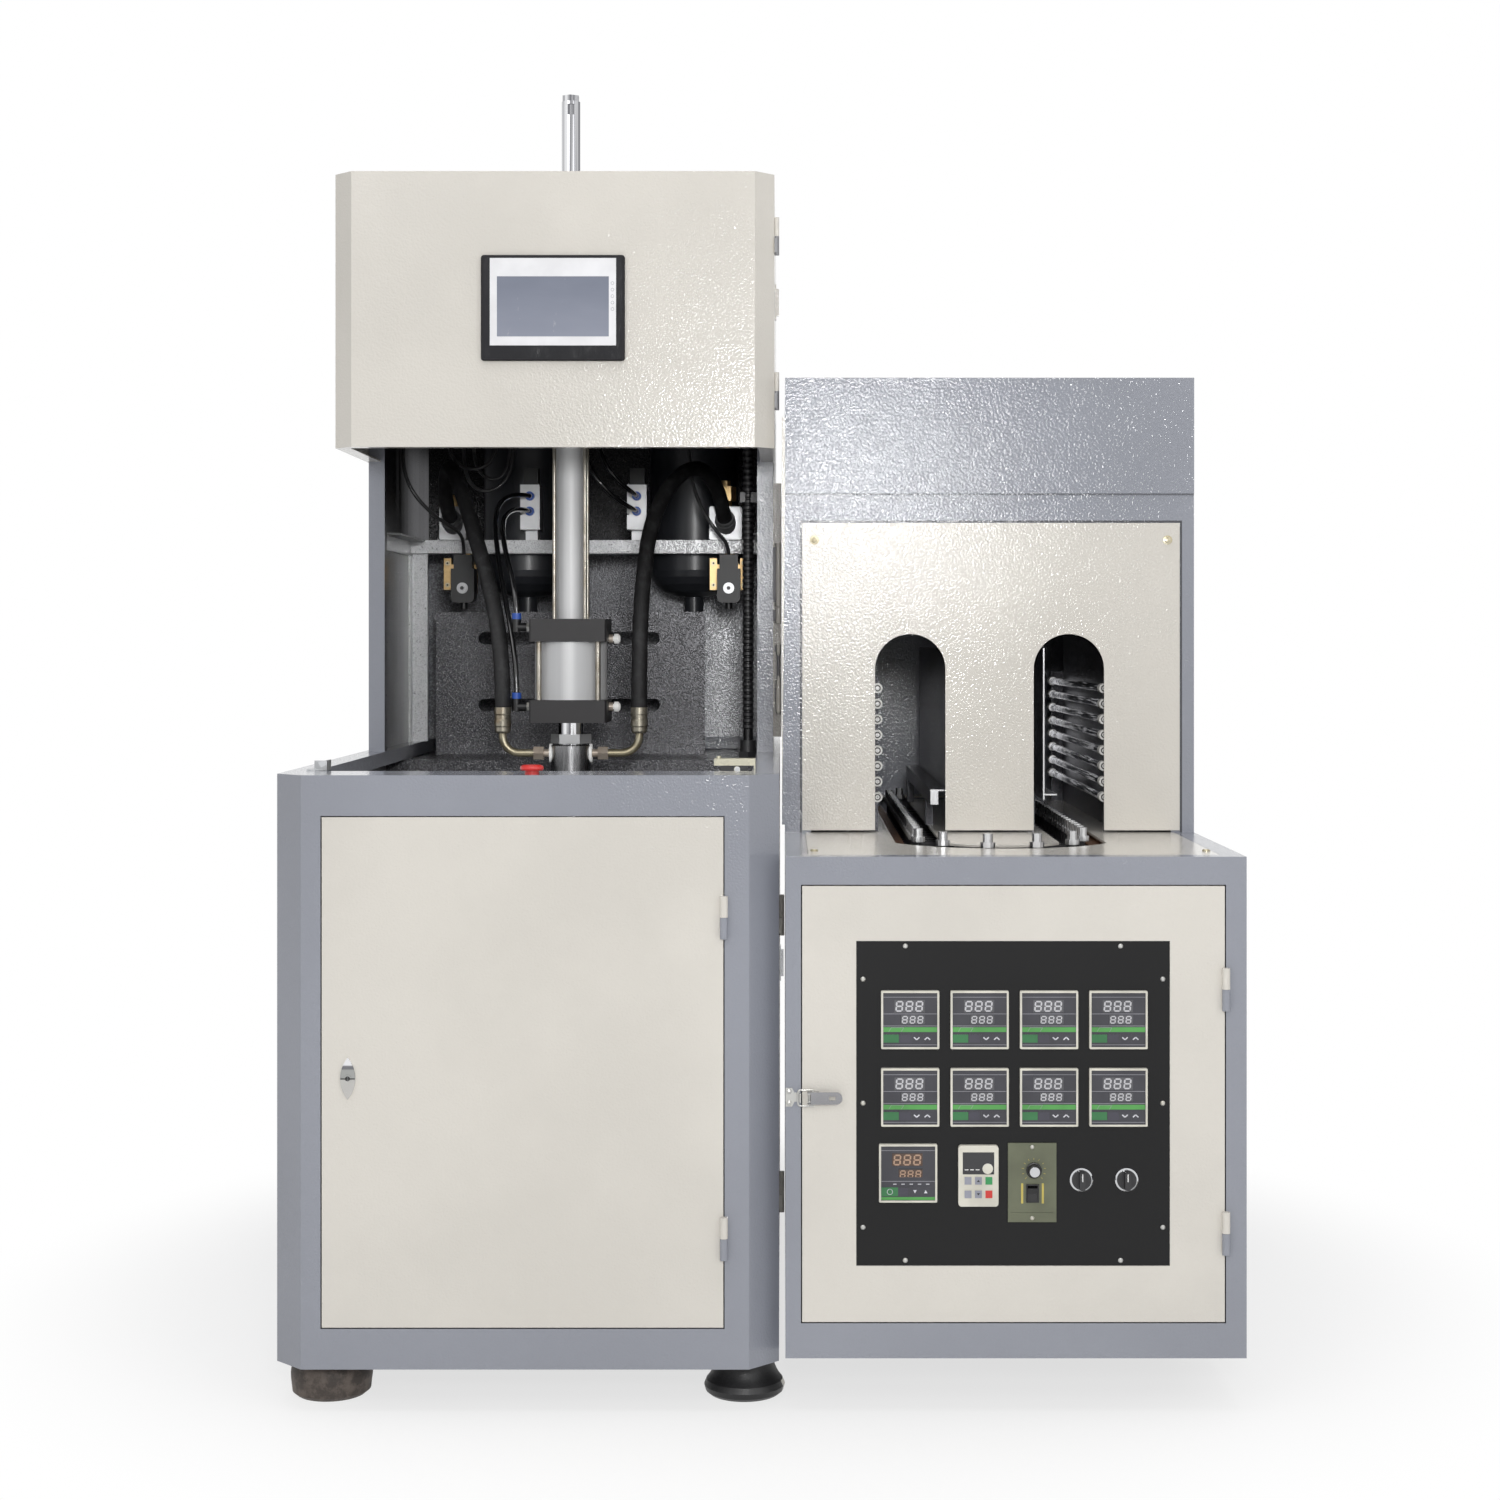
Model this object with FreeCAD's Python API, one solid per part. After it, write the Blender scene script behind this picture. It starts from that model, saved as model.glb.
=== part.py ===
"""Two-station bottle blow moulding machine: a blowing station and, beside it, a preform heater.

Millimetres, +Z up, front towards -Y. The origin is on the floor, under the middle of the whole box.
Depths are measured back from the shared front plane of both cabinets.
"""
import FreeCAD, Part
import math
import os

os.makedirs("parts", exist_ok=True)
V = FreeCAD.Vector

# ---------------------------------------------------------------- driving dimensions
DEPTH = 1300.0            # both cabinets, front to back
BLOWER_W = 630.0          # blowing station, side to side
HEATER_W = 572.0          # preform heater, side to side
STATION_GAP = 8.0         # between the two cabinets
BLOWER_BOTTOM = 53.0      # underside of the blowing station's cabinet
BLOWER_TOP = 790.0        # its table height
HEATER_BOTTOM = 67.0
HEATER_TOP = 689.0
SHEET = 3.0               # cabinet sheet
COVER_SHEET = 2.0         # doors, hood and other covers
HEAD_SHEET = 2.5
CORNER = 37.0             # 45 degree cut of the blower's front corners
RUN = 0.05                # radial clearance of a running fit
FREE = 0.3                # gap between pieces that move past each other
DOOR_GAP = 1.5            # round a flush door
PROUD = 14.0              # how far the switch handles stand in front of the front plane

FRONT = (PROUD - DEPTH) / 2
LEFT = -(BLOWER_W + STATION_GAP + HEATER_W) / 2
BX = LEFT + BLOWER_W / 2                               # blower's middle plane
HX = LEFT + BLOWER_W + STATION_GAP + HEATER_W / 2      # heater's middle plane
BLOWER_HALF = BLOWER_W / 2
HEATER_HALF = HEATER_W / 2


def at_depth(depth):
    """Y of a place so far behind the front plane."""
    return FRONT + depth


# ---------------------------------------------------------------- solids
def box(x0, x1, y0, y1, z0, z1):
    return Part.makeBox(x1 - x0, y1 - y0, z1 - z0, V(x0, y0, z0))


def slab(mid_x, half_x, depth0, depth1, z0, z1):
    """A box centred on mid_x, between two depths."""
    return box(mid_x - half_x, mid_x + half_x, at_depth(depth0), at_depth(depth1), z0, z1)


def rod(radius, start, end):
    along = end.sub(start)
    return Part.makeCylinder(radius, along.Length, start, along)


def pipe(outer, inner, start, end):
    return rod(outer, start, end).cut(rod(inner, start, end))


def face_of(points):
    return Part.Face(Part.makePolygon(points + [points[0]]))


def prism(points, along):
    return face_of(points).extrude(along)


def polygon_bar(radius, sides, start, end, turn=0.0):
    """A regular bar, such as a hexagon nut: radius reaches its corners."""
    along = end.sub(start)
    side = V(0, 0, 1).cross(along)
    side = V(1, 0, 0) if side.Length < 1e-9 else side.normalize()
    other = along.cross(side).normalize()
    points = []
    for k in range(sides):
        angle = math.radians(turn) + 2 * math.pi * k / sides
        points.append(start + side * (radius * math.cos(angle)) + other * (radius * math.sin(angle)))
    return prism(points, along)


def hexagon(flats, start, end, turn=0.0):
    return polygon_bar(flats / math.sqrt(3), 6, start, end, turn)


def lathe(profile, base, axis=V(0, 0, 1)):
    """Turns (radius, height) points about an axis through base."""
    points = [V(r, 0, h) for r, h in profile]
    solid = face_of(points).revolve(V(0, 0, 0), V(0, 0, 1), 360)
    solid.Placement = FreeCAD.Placement(base, FreeCAD.Rotation(V(0, 0, 1), axis))
    return solid


def rounded_plate(mid_x, mid_z, width, height, corner, y0, y1):
    """A plate that faces -Y, with round corners."""
    blank = box(mid_x - width / 2, mid_x + width / 2, y0, y1, mid_z - height / 2, mid_z + height / 2)
    edges = [e for e in blank.Edges if abs(e.Vertexes[0].Y - e.Vertexes[-1].Y) > 1e-6]
    return blank.makeFillet(corner, edges)


def fuse(first, *others):
    return first.fuse(list(others)).removeSplitter()


def cut(first, *others):
    return first.cut(list(others))


def mirror_x(shape, mid_x):
    return shape.mirror(V(mid_x, 0, 0), V(1, 0, 0))


def save(name, *shapes):
    solids = [s for shape in shapes for s in shape.Solids]
    whole = Part.makeCompound(solids) if len(solids) > 1 else solids[0]
    whole.exportStep("parts/" + name + ".step")
    print("%-22s %3d solids  %10.1f cm3" % (name, len(solids), sum(s.Volume for s in solids) / 1000))


# ---------------------------------------------------------------- cords
def cord_tube(name, points, diameter, bore=0.0, overrun=0.0):
    """A tube along straight runs joined by tangent arcs, each as large as its two runs allow.

    overrun lengthens it past both ends, to be trimmed flush with what it goes into.
    """
    points = [V(*p) for p in points]
    points[0] = points[0] + (points[0] - points[1]).normalize() * overrun
    points[-1] = points[-1] + (points[-1] - points[-2]).normalize() * overrun
    edges = []
    radii = []
    turns = []
    here = points[0]
    for before, corner, after in zip(points, points[1:], points[2:]):
        back = before.sub(corner)
        on = after.sub(corner)
        reach = 0.45 * min(back.Length, on.Length)
        back.normalize()
        on.normalize()
        turn = math.pi - back.getAngle(on)
        radius = reach / math.tan(turn / 2)
        radii.append(radius)
        turns.append(math.degrees(turn))
        enter = corner + back * reach
        leave = corner + on * reach
        inward = (back + on).normalize()
        middle = corner + inward * (radius / math.cos(turn / 2) - radius)
        edges.append(Part.LineSegment(here, enter).toShape())
        edges.append(Part.Arc(enter, middle, leave).toShape())
        here = leave
    edges.append(Part.LineSegment(here, points[-1]).toShape())
    path = Part.Wire(edges)
    start = Part.Circle(points[0], points[1].sub(points[0]), diameter / 2).toShape()
    tube = path.makePipeShell([Part.Wire(start)], True, False)
    if bore:
        hollow = Part.Circle(points[0], points[1].sub(points[0]), bore / 2).toShape()
        tube = tube.cut(path.makePipeShell([Part.Wire(hollow)], True, False))
    solid = tube.Solids[0]
    wanted = math.pi / 4 * (diameter ** 2 - bore ** 2) * path.Length
    print("%-14s length %7.1f  radii %s  turns %s  volume ratio %.3f" % (
        name, path.Length, [round(r) for r in radii], [round(t) for t in turns], solid.Volume / wanted))
    return solid


# ---------------------------------------------------------------- barrel hinges
BARREL_R = 5.0
BARREL_H = 26.5           # each half
HINGE_PIN_R = 2.5
BARREL_STANDOFF = BARREL_R + FREE     # its axis in front of the door's face


def hinge_halves(axis_x, mid_z, face_y=FRONT, towards=1):
    """Upper half for the door (on the -X side), lower half with its pin for the frame."""
    y = face_y - BARREL_STANDOFF
    low = V(axis_x, y, mid_z - BARREL_H)
    mid = V(axis_x, y, mid_z)
    top = V(axis_x, y, mid_z + BARREL_H)
    upper_weld = box(axis_x - 4.5, axis_x - 1.6, y, face_y, mid_z + 3, mid_z + BARREL_H - 3)
    lower_weld = box(axis_x + 1.6, axis_x + 4.5, y, face_y, mid_z - BARREL_H + 3, mid_z - 3)
    if towards < 0:
        upper_weld = mirror_x(upper_weld, axis_x)
        lower_weld = mirror_x(lower_weld, axis_x)
    bore = rod(HINGE_PIN_R + RUN, mid, top)
    upper = cut(fuse(rod(BARREL_R, mid + V(0, 0, FREE), top), upper_weld), bore)
    lower = fuse(rod(BARREL_R, low, mid), lower_weld, rod(HINGE_PIN_R, mid, top - V(0, 0, 1)))
    return upper, lower


# ---------------------------------------------------------------- blowing station: cabinet
FRONT_FLANGE = 100.0      # table surface in front of the recess
SIDE_FLANGE = 35.0
FLANGE_LIP = 18.0
MOUTH_REAR = 1235.0       # depth at which the table's opening ends, under the tower's rear wall
DOOR_W = 498.0
DOOR_H = 633.0
DOOR_MID_X = BX - 3.0
DOOR_BOTTOM = 105.0
DOOR_DEPTH = 18.0
DOOR_TURN_IN = 12.0       # folded edge behind the door's rim
FRAME_RETURN = 26.0       # folded edge inside the door opening
SIDE_DOOR_W = 470.0
SIDE_DOOR_H = 540.0
SIDE_DOOR_FRONT = 150.0   # depth of its front edge
SIDE_DOOR_BOTTOM = 150.0
BUTTON_X = BX + 6.0
BUTTON_DEPTH = 26.0
BUTTON_STEM_R = 9.0


def cabinet_outline(inset, z, depth1=DEPTH, depth0=0.0, half=BLOWER_HALF, corner=CORNER):
    """Plan of a cabinet with both front corners cut at 45 degrees."""
    leg = corner - inset * (2 - math.sqrt(2))
    x = half - inset
    y0 = at_depth(depth0 + inset)
    y1 = at_depth(depth1 - inset)
    return [V(BX - x + leg, y0, z), V(BX + x - leg, y0, z), V(BX + x, y0 + leg, z),
            V(BX + x, y1, z), V(BX - x, y1, z), V(BX - x, y0 + leg, z)]


def door_opening(mid_x, bottom, width, height, depth0, depth1, gap=DOOR_GAP):
    return slab(mid_x, width / 2 + gap, depth0, depth1, bottom - gap, bottom + height + gap)


def blower_base():
    shell = prism(cabinet_outline(0, BLOWER_BOTTOM), V(0, 0, BLOWER_TOP - BLOWER_BOTTOM))
    inside = prism(cabinet_outline(SHEET, BLOWER_BOTTOM + SHEET),
                   V(0, 0, BLOWER_TOP - BLOWER_BOTTOM - 2 * SHEET))
    mouth_half = BLOWER_HALF - SIDE_FLANGE
    mouth = slab(BX, mouth_half, FRONT_FLANGE, MOUTH_REAR, BLOWER_TOP - 2 * SHEET,
                 BLOWER_TOP + 1)
    shell = cut(shell, inside, mouth)
    lip_z = BLOWER_TOP - SHEET
    lip = cut(slab(BX, mouth_half + SHEET, FRONT_FLANGE - SHEET, MOUTH_REAR + SHEET,
                   lip_z - FLANGE_LIP, lip_z),
              slab(BX, mouth_half, FRONT_FLANGE, MOUTH_REAR, lip_z - FLANGE_LIP, lip_z))
    opening = door_opening(DOOR_MID_X, DOOR_BOTTOM, DOOR_W, DOOR_H, 0, FRAME_RETURN + 1)
    frame = door_opening(DOOR_MID_X, DOOR_BOTTOM, DOOR_W, DOOR_H, SHEET, FRAME_RETURN,
                         DOOR_GAP + SHEET)
    side_low = SIDE_DOOR_BOTTOM - DOOR_GAP
    side_mouth = box(BX + BLOWER_HALF - SHEET - 1, BX + BLOWER_HALF + 1,
                     at_depth(SIDE_DOOR_FRONT - DOOR_GAP),
                     at_depth(SIDE_DOOR_FRONT + SIDE_DOOR_W + DOOR_GAP),
                     side_low, SIDE_DOOR_BOTTOM + SIDE_DOOR_H + DOOR_GAP)
    stem = rod(BUTTON_STEM_R + RUN, V(BUTTON_X, at_depth(BUTTON_DEPTH), BLOWER_TOP - 2 * SHEET),
               V(BUTTON_X, at_depth(BUTTON_DEPTH), BLOWER_TOP + 1))
    return cut(fuse(shell, lip, frame), opening, side_mouth, stem)


FOOT_H = BLOWER_BOTTOM
FOOT_R = 51.5
FOOT_NECK_R = 36.5
FOOT_IN = 52.0            # from the cabinet's side to the foot's middle
FOOT_SHIFT = 8.0          # the blowing station's feet, to the right of its middle
FOOT_BACK = 85.0
HEATER_FOOT_BACK = 260.0
HEATER_FOOT_R = 30.0


def flared_foot(x, y):
    """Rubber machine foot with a waisted neck."""
    profile = [V(0, 0, 0), V(FOOT_R - 7, 0, 0), V(FOOT_R - 2, 0, 4), V(FOOT_R, 0, 11),
               V(FOOT_R - 3, 0, 18)]
    neck = V(FOOT_NECK_R, 0, FOOT_H - 8)
    waist = Part.Arc(profile[-1], V(FOOT_NECK_R + 3.5, 0, 31), neck).toShape()
    line = Part.makePolygon(profile).Edges + [waist]
    line += Part.makePolygon([neck, V(FOOT_NECK_R, 0, FOOT_H), V(0, 0, FOOT_H), V(0, 0, 0)]).Edges
    solid = Part.Face(Part.Wire(line)).revolve(V(0, 0, 0), V(0, 0, 1), 360)
    return solid.translate(V(x, y, 0))


def domed_foot(x, y):
    """Rubber machine foot with a rounded shoulder."""
    rim = V(FOOT_R, 0, 22)
    line = Part.makePolygon([V(0, 0, 0), V(FOOT_R - 8, 0, 0), V(FOOT_R - 2, 0, 5), rim]).Edges
    neck = V(FOOT_NECK_R + 4, 0, FOOT_H)
    line += [Part.Arc(rim, V(FOOT_R - 2.5, 0, 40), neck).toShape()]
    line += Part.makePolygon([neck, V(0, 0, FOOT_H), V(0, 0, 0)]).Edges
    solid = Part.Face(Part.Wire(line)).revolve(V(0, 0, 0), V(0, 0, 1), 360)
    return solid.translate(V(x, y, 0))


def levelling_foot(x, y):
    """Plain turned foot with its stud, under the heater."""
    return lathe([(0, 0), (HEATER_FOOT_R - 3, 0), (HEATER_FOOT_R, 3), (HEATER_FOOT_R, 12),
                  (14, 20), (14, 26), (9, 26), (9, HEATER_BOTTOM), (0, HEATER_BOTTOM)], V(x, y, 0))


def machine_feet():
    left = BX - BLOWER_HALF + FOOT_IN + FOOT_SHIFT
    right = BX + BLOWER_HALF - FOOT_IN + FOOT_SHIFT
    near = at_depth(FOOT_BACK)
    far = at_depth(DEPTH - FOOT_BACK)
    feet = [domed_foot(left, near), flared_foot(right, near), flared_foot(left, far),
            flared_foot(right, far)]
    for side in (-1, 1):
        for depth in (HEATER_FOOT_BACK, DEPTH - FOOT_BACK):
            feet.append(levelling_foot(HX + side * (HEATER_HALF - FOOT_IN), at_depth(depth)))
    return feet


def tray(mid_x, bottom, width, height, depth, turn_in, sheet):
    """A door leaf: flat sheet with folded edges and a second fold behind."""
    leaf = slab(mid_x, width / 2, 0, depth, bottom, bottom + height)
    hollow = slab(mid_x, width / 2 - sheet, sheet, depth - sheet, bottom + sheet,
                  bottom + height - sheet)
    back = slab(mid_x, width / 2 - turn_in, depth - sheet, depth, bottom + turn_in,
                bottom + height - turn_in)
    return cut(leaf, hollow, back)


LOCK_X = DOOR_MID_X - DOOR_W / 2 + 32.5
LOCK_Z = 414.0
LOCK_BARREL_R = 8.0
DOOR_HINGES = (614.0, 216.5)          # heights of the barrel joints' middles
HINGE_SIDE = 0.8                      # hinge axis beyond the leaf's edge


def oval_plate(x, z, width, height, y0, y1):
    """An oval lock plate, pointed at neither end: two wide arcs."""
    top = V(x, y0, z + height / 2)
    low = V(x, y0, z - height / 2)
    right = Part.Arc(top, V(x + width / 2, y0, z), low).toShape()
    left = Part.Arc(low, V(x - width / 2, y0, z), top).toShape()
    return Part.Face(Part.Wire([right, left])).extrude(V(0, y1 - y0, 0))


def blower_door_parts():
    axis_x = DOOR_MID_X + DOOR_W / 2 + HINGE_SIDE
    leaf = tray(DOOR_MID_X, DOOR_BOTTOM, DOOR_W, DOOR_H, DOOR_DEPTH, DOOR_TURN_IN, COVER_SHEET)
    lock_at = V(LOCK_X, at_depth(-1), LOCK_Z)
    leaf = cut(leaf, rod(LOCK_BARREL_R + 0.5, lock_at, lock_at + V(0, COVER_SHEET + 2, 0)))
    halves = [hinge_halves(axis_x, z) for z in DOOR_HINGES]
    door = fuse(leaf, *[h[0] for h in halves])
    plate = oval_plate(LOCK_X, LOCK_Z, 18.6, 52, at_depth(-2.5), FRONT)
    case = rod(LOCK_BARREL_R, V(LOCK_X, FRONT, LOCK_Z), V(LOCK_X, at_depth(14), LOCK_Z))
    bore = rod(5 + RUN, V(LOCK_X, at_depth(-5), LOCK_Z), V(LOCK_X, at_depth(15), LOCK_Z))
    escutcheon = cut(fuse(plate, case), bore)
    plug = rod(5, V(LOCK_X, at_depth(-3), LOCK_Z), V(LOCK_X, at_depth(DOOR_DEPTH + 2), LOCK_Z))
    key_slot = box(LOCK_X - 0.8, LOCK_X + 0.8, at_depth(-4), at_depth(2), LOCK_Z - 3, LOCK_Z + 3)
    tongue = box(LOCK_X - 7, LOCK_X + 7, at_depth(FRAME_RETURN + 1.5), at_depth(FRAME_RETURN + 4.5),
                 LOCK_Z - 9, LOCK_Z + 45)
    stem = rod(4, V(LOCK_X, at_depth(DOOR_DEPTH + 2), LOCK_Z),
               V(LOCK_X, at_depth(FRAME_RETURN + 1.5), LOCK_Z))
    cam = fuse(cut(plug, key_slot), stem, tongue)
    return door, [h[1] for h in halves], escutcheon, cam


def red_button():
    """Mushroom stop button that stands on the table flange."""
    seat = BLOWER_TOP
    return lathe([(0, -14), (BUTTON_STEM_R, -14), (BUTTON_STEM_R, 4.5), (14, 5), (15, 7), (14.4, 10),
                  (11, 11.6), (0, 12)], V(BUTTON_X, at_depth(BUTTON_DEPTH), seat))


BRIDGE_LIP = 9.0          # turned-down front edge of the switch's bridge


def limit_switch():
    """Galvanised bridge with a roller switch under it, and the guide tab at the other side."""
    y0 = at_depth(FRONT_FLANGE + 60)
    y1 = y0 + 18
    right = BX + BLOWER_HALF - SIDE_FLANGE
    top = BLOWER_TOP + 13
    strip = fuse(box(right - 50, right + 4, y0, y1, top - 2, top),
                 box(right - 50, right + 4, y0 - 2, y0, top - BRIDGE_LIP, top))
    leg = box(right + 2, right + 4, y0, y1, BLOWER_TOP, top - 2)
    head = polygon_bar(3, 6, V(right - 44, (y0 + y1) / 2, top), V(right - 44, (y0 + y1) / 2, top + 3))
    bridge = fuse(strip, leg, head)
    body = box(right - 42, right - 6, y0 + 1, y1 - 1, top - 20, top - 2)
    roller = rod(4, V(right - 20, y0 - 4, top - 14), V(right - 20, y0 + 1, top - 14))
    tab_x = BX - BLOWER_HALF + SIDE_FLANGE
    tab_y = at_depth(FRONT_FLANGE + 8)
    tab = fuse(box(tab_x - 2, tab_x + 14, tab_y, tab_y + 2, BLOWER_TOP, BLOWER_TOP + 13),
               box(tab_x + 11, tab_x + 14, tab_y, tab_y + 30, BLOWER_TOP, BLOWER_TOP + 13),
               box(tab_x - 12, tab_x + 14, tab_y, tab_y + 30, BLOWER_TOP, BLOWER_TOP + 1.5))
    return bridge, fuse(body, roller), tab


# ---------------------------------------------------------------- tower, head and shelf
TOWER_FRONT = 650.0
TOWER_REAR = 1250.0
HEAD_FRONT = 368.0
HEAD_HALF = 308.0
HEAD_BOTTOM = 1227.0
HEAD_TOP = 1611.0
HEAD_CORNER = 27.0
TOWER_HALF = HEAD_HALF - HEAD_SHEET - 0.5
TOWER_TOP = HEAD_TOP - HEAD_SHEET
POST_FACE = 24.0
POST_RETURN = 22.0
CYL_DEPTH = 652.0                      # axis of both cylinders
CYL = V(BX, at_depth(CYL_DEPTH), 0)
SCREEN_W = 200.0
SCREEN_H = 147.0
SCREEN_Z = 1420.0
SCREEN_STEP = 6.0                      # bezel in front of the head
HEAD_DOOR_FRONT = 398.0
HEAD_DOOR_W = 225.0
HEAD_DOOR_LOW = 1262.0
HEAD_DOOR_TOP = 1578.0
SIDE_BARREL_R = 3.3


def tower_shell():
    z0 = BLOWER_TOP
    wall = cut(slab(BX, TOWER_HALF, TOWER_FRONT, TOWER_REAR, z0, TOWER_TOP),
               slab(BX, TOWER_HALF - SHEET, TOWER_FRONT + SHEET, TOWER_REAR - SHEET, z0,
                    TOWER_TOP - SHEET),
               slab(BX, TOWER_HALF - POST_FACE, TOWER_FRONT, TOWER_FRONT + SHEET, z0,
                    TOWER_TOP - SHEET))
    inner = TOWER_HALF - POST_FACE
    returns = [box(BX + min(s * inner, s * (inner + SHEET)), BX + max(s * inner, s * (inner + SHEET)),
                   at_depth(TOWER_FRONT + SHEET), at_depth(TOWER_FRONT + POST_RETURN), z0,
                   TOWER_TOP - SHEET) for s in (-1, 1)]
    notch = rod(60, CYL + V(0, 0, TOWER_TOP - SHEET - 1), CYL + V(0, 0, TOWER_TOP + 1))
    return cut(fuse(wall, *returns), notch)


def head_outline(inset, z):
    return cabinet_outline(inset, z, TOWER_REAR + HEAD_SHEET + 0.5, HEAD_FRONT, HEAD_HALF, HEAD_CORNER)


def head_shell():
    """Folded cover with an open underside, over the top of the tower."""
    height = HEAD_TOP - HEAD_BOTTOM
    shell = prism(head_outline(0, HEAD_BOTTOM), V(0, 0, height))
    inside = prism(head_outline(HEAD_SHEET, HEAD_BOTTOM), V(0, 0, height - HEAD_SHEET))
    rim_end = TOWER_FRONT - 4
    rim = prism(cabinet_outline(HEAD_SHEET, HEAD_BOTTOM, rim_end + HEAD_SHEET, HEAD_FRONT, HEAD_HALF,
                                HEAD_CORNER), V(0, 0, HEAD_SHEET))
    rim = cut(rim, slab(BX, HEAD_HALF - 22, HEAD_FRONT + 22, rim_end + 1, HEAD_BOTTOM,
                        HEAD_BOTTOM + HEAD_SHEET))
    window = slab(BX, SCREEN_W / 2 - 4, HEAD_FRONT - 1, HEAD_FRONT + HEAD_SHEET + 1,
                  SCREEN_Z - SCREEN_H / 2 + 4, SCREEN_Z + SCREEN_H / 2 - 4)
    rod_hole = rod(18, CYL + V(0, 0, HEAD_TOP - HEAD_SHEET - 1), CYL + V(0, 0, HEAD_TOP + 1))
    side = box(BX + HEAD_HALF - HEAD_SHEET - 1, BX + HEAD_HALF + 1,
               at_depth(HEAD_DOOR_FRONT - DOOR_GAP), at_depth(HEAD_DOOR_FRONT + HEAD_DOOR_W + DOOR_GAP),
               HEAD_DOOR_LOW - DOOR_GAP, HEAD_DOOR_TOP + DOOR_GAP)
    return cut(fuse(cut(shell, inside), rim), window, rod_hole, side)


def side_door(face_x, depth0, width, z0, z1, barrels, hinge_depth, latch_depth, latch_z):
    """A flush access door in a right-hand wall, with its barrels and a turn latch outside."""
    y0 = at_depth(depth0)
    leaf = cut(box(face_x - 14, face_x, y0, y0 + width, z0, z1),
               box(face_x - 15, face_x - COVER_SHEET, y0 + COVER_SHEET, y0 + width - COVER_SHEET,
                   z0 + COVER_SHEET, z1 - COVER_SHEET))
    off = SIDE_BARREL_R + 0.1
    pieces = []
    for z in barrels:
        y = at_depth(hinge_depth)
        upper = rod(SIDE_BARREL_R, V(face_x + off, y, z), V(face_x + off, y, z + BARREL_H))
        lower = rod(SIDE_BARREL_R, V(face_x + off, y, z - BARREL_H), V(face_x + off, y, z))
        in_door = 1 if latch_depth > hinge_depth else -1
        pad = box(face_x, face_x + off, min(y, y + in_door * 6), max(y, y + in_door * 6), z + 3,
                  z + BARREL_H - 3)
        foot = box(face_x, face_x + off, min(y - in_door * 6, y), max(y - in_door * 6, y),
                   z - BARREL_H + 3, z - 3)
        leaf = fuse(leaf, upper, pad)
        pieces.append(fuse(lower, foot))
    y = at_depth(latch_depth)
    knob = fuse(box(face_x, face_x + 2, y - 9, y + 9, latch_z - 26, latch_z + 26),
                box(face_x + 2, face_x + 6, y - 3, y + 3, latch_z - 20, latch_z + 20))
    return [leaf, knob] + pieces


TOWER_DOOR = (668.0, 1225.0, 812.0, 1196.0)      # its depths and heights
TOWER_DOOR_T = 12.5
KNUCKLE_R = 4.5
HINGE_LOW = 1010.0
HINGE_L = 95.0
LATCH_LOW = 846.0
LATCH_L = 106.0


def tower_door():
    """Proud cover on the tower's right wall, with its hinge, catch and toggle latch in front."""
    face = BX + TOWER_HALF
    front, rear, low, top = TOWER_DOOR
    t = COVER_SHEET
    leaf = cut(box(face, face + TOWER_DOOR_T, at_depth(front), at_depth(rear), low, top),
               box(face - 1, face + TOWER_DOOR_T - t, at_depth(front + t), at_depth(rear - t), low + t,
                   top - t))
    x = face + TOWER_DOOR_T - KNUCKLE_R
    y = at_depth(front - KNUCKLE_R - 1)
    hinge = fuse(rod(KNUCKLE_R, V(x, y, HINGE_LOW), V(x, y, HINGE_LOW + HINGE_L)),
                 box(face, x, y - 2, y, HINGE_LOW + 6, HINGE_LOW + HINGE_L - 6),
                 box(x - 2, x, y, at_depth(front), HINGE_LOW + 6, HINGE_LOW + HINGE_L - 6))
    catch = fuse(rod(KNUCKLE_R, V(x, y, HINGE_LOW - 26), V(x, y, HINGE_LOW - 3)),
                 box(face, x, y - 2, y + 2, HINGE_LOW - 23, HINGE_LOW - 6))
    lever = lathe([(0, 0), (2.5, 0), (4.2, 4), (KNUCKLE_R, 30), (4.0, 48), (2.4, 60), (2.4, 88),
                   (3.8, 94), (3.8, LATCH_L), (0, LATCH_L)], V(x, y, LATCH_LOW), V(0, 0, 1))
    latch = fuse(lever, box(face, x, y - 1.5, y + 1.5, LATCH_LOW + 24, LATCH_LOW + 40),
                 box(face, x, y - 1.5, y + 1.5, LATCH_LOW + 95, LATCH_LOW + 104),
                 box(face, face + 2, y - 4, y + 4, LATCH_LOW + 10, LATCH_LOW + LATCH_L))
    return [leaf, hinge, catch, latch]


def side_doors():
    head_face = BX + HEAD_HALF
    base_face = BX + BLOWER_HALF
    head = side_door(head_face, HEAD_DOOR_FRONT, HEAD_DOOR_W, HEAD_DOOR_LOW, HEAD_DOOR_TOP,
                     (1525.0, 1307.5), HEAD_DOOR_FRONT - DOOR_GAP / 2,
                     HEAD_DOOR_FRONT + HEAD_DOOR_W - 25, 1460.0)
    base = side_door(base_face, SIDE_DOOR_FRONT, SIDE_DOOR_W, SIDE_DOOR_BOTTOM,
                     SIDE_DOOR_BOTTOM + SIDE_DOOR_H,
                     (SIDE_DOOR_BOTTOM + SIDE_DOOR_H - 90, SIDE_DOOR_BOTTOM + 90),
                     SIDE_DOOR_FRONT - DOOR_GAP / 2, SIDE_DOOR_FRONT + SIDE_DOOR_W - 30, 480.0)
    return head + base + tower_door()


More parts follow.
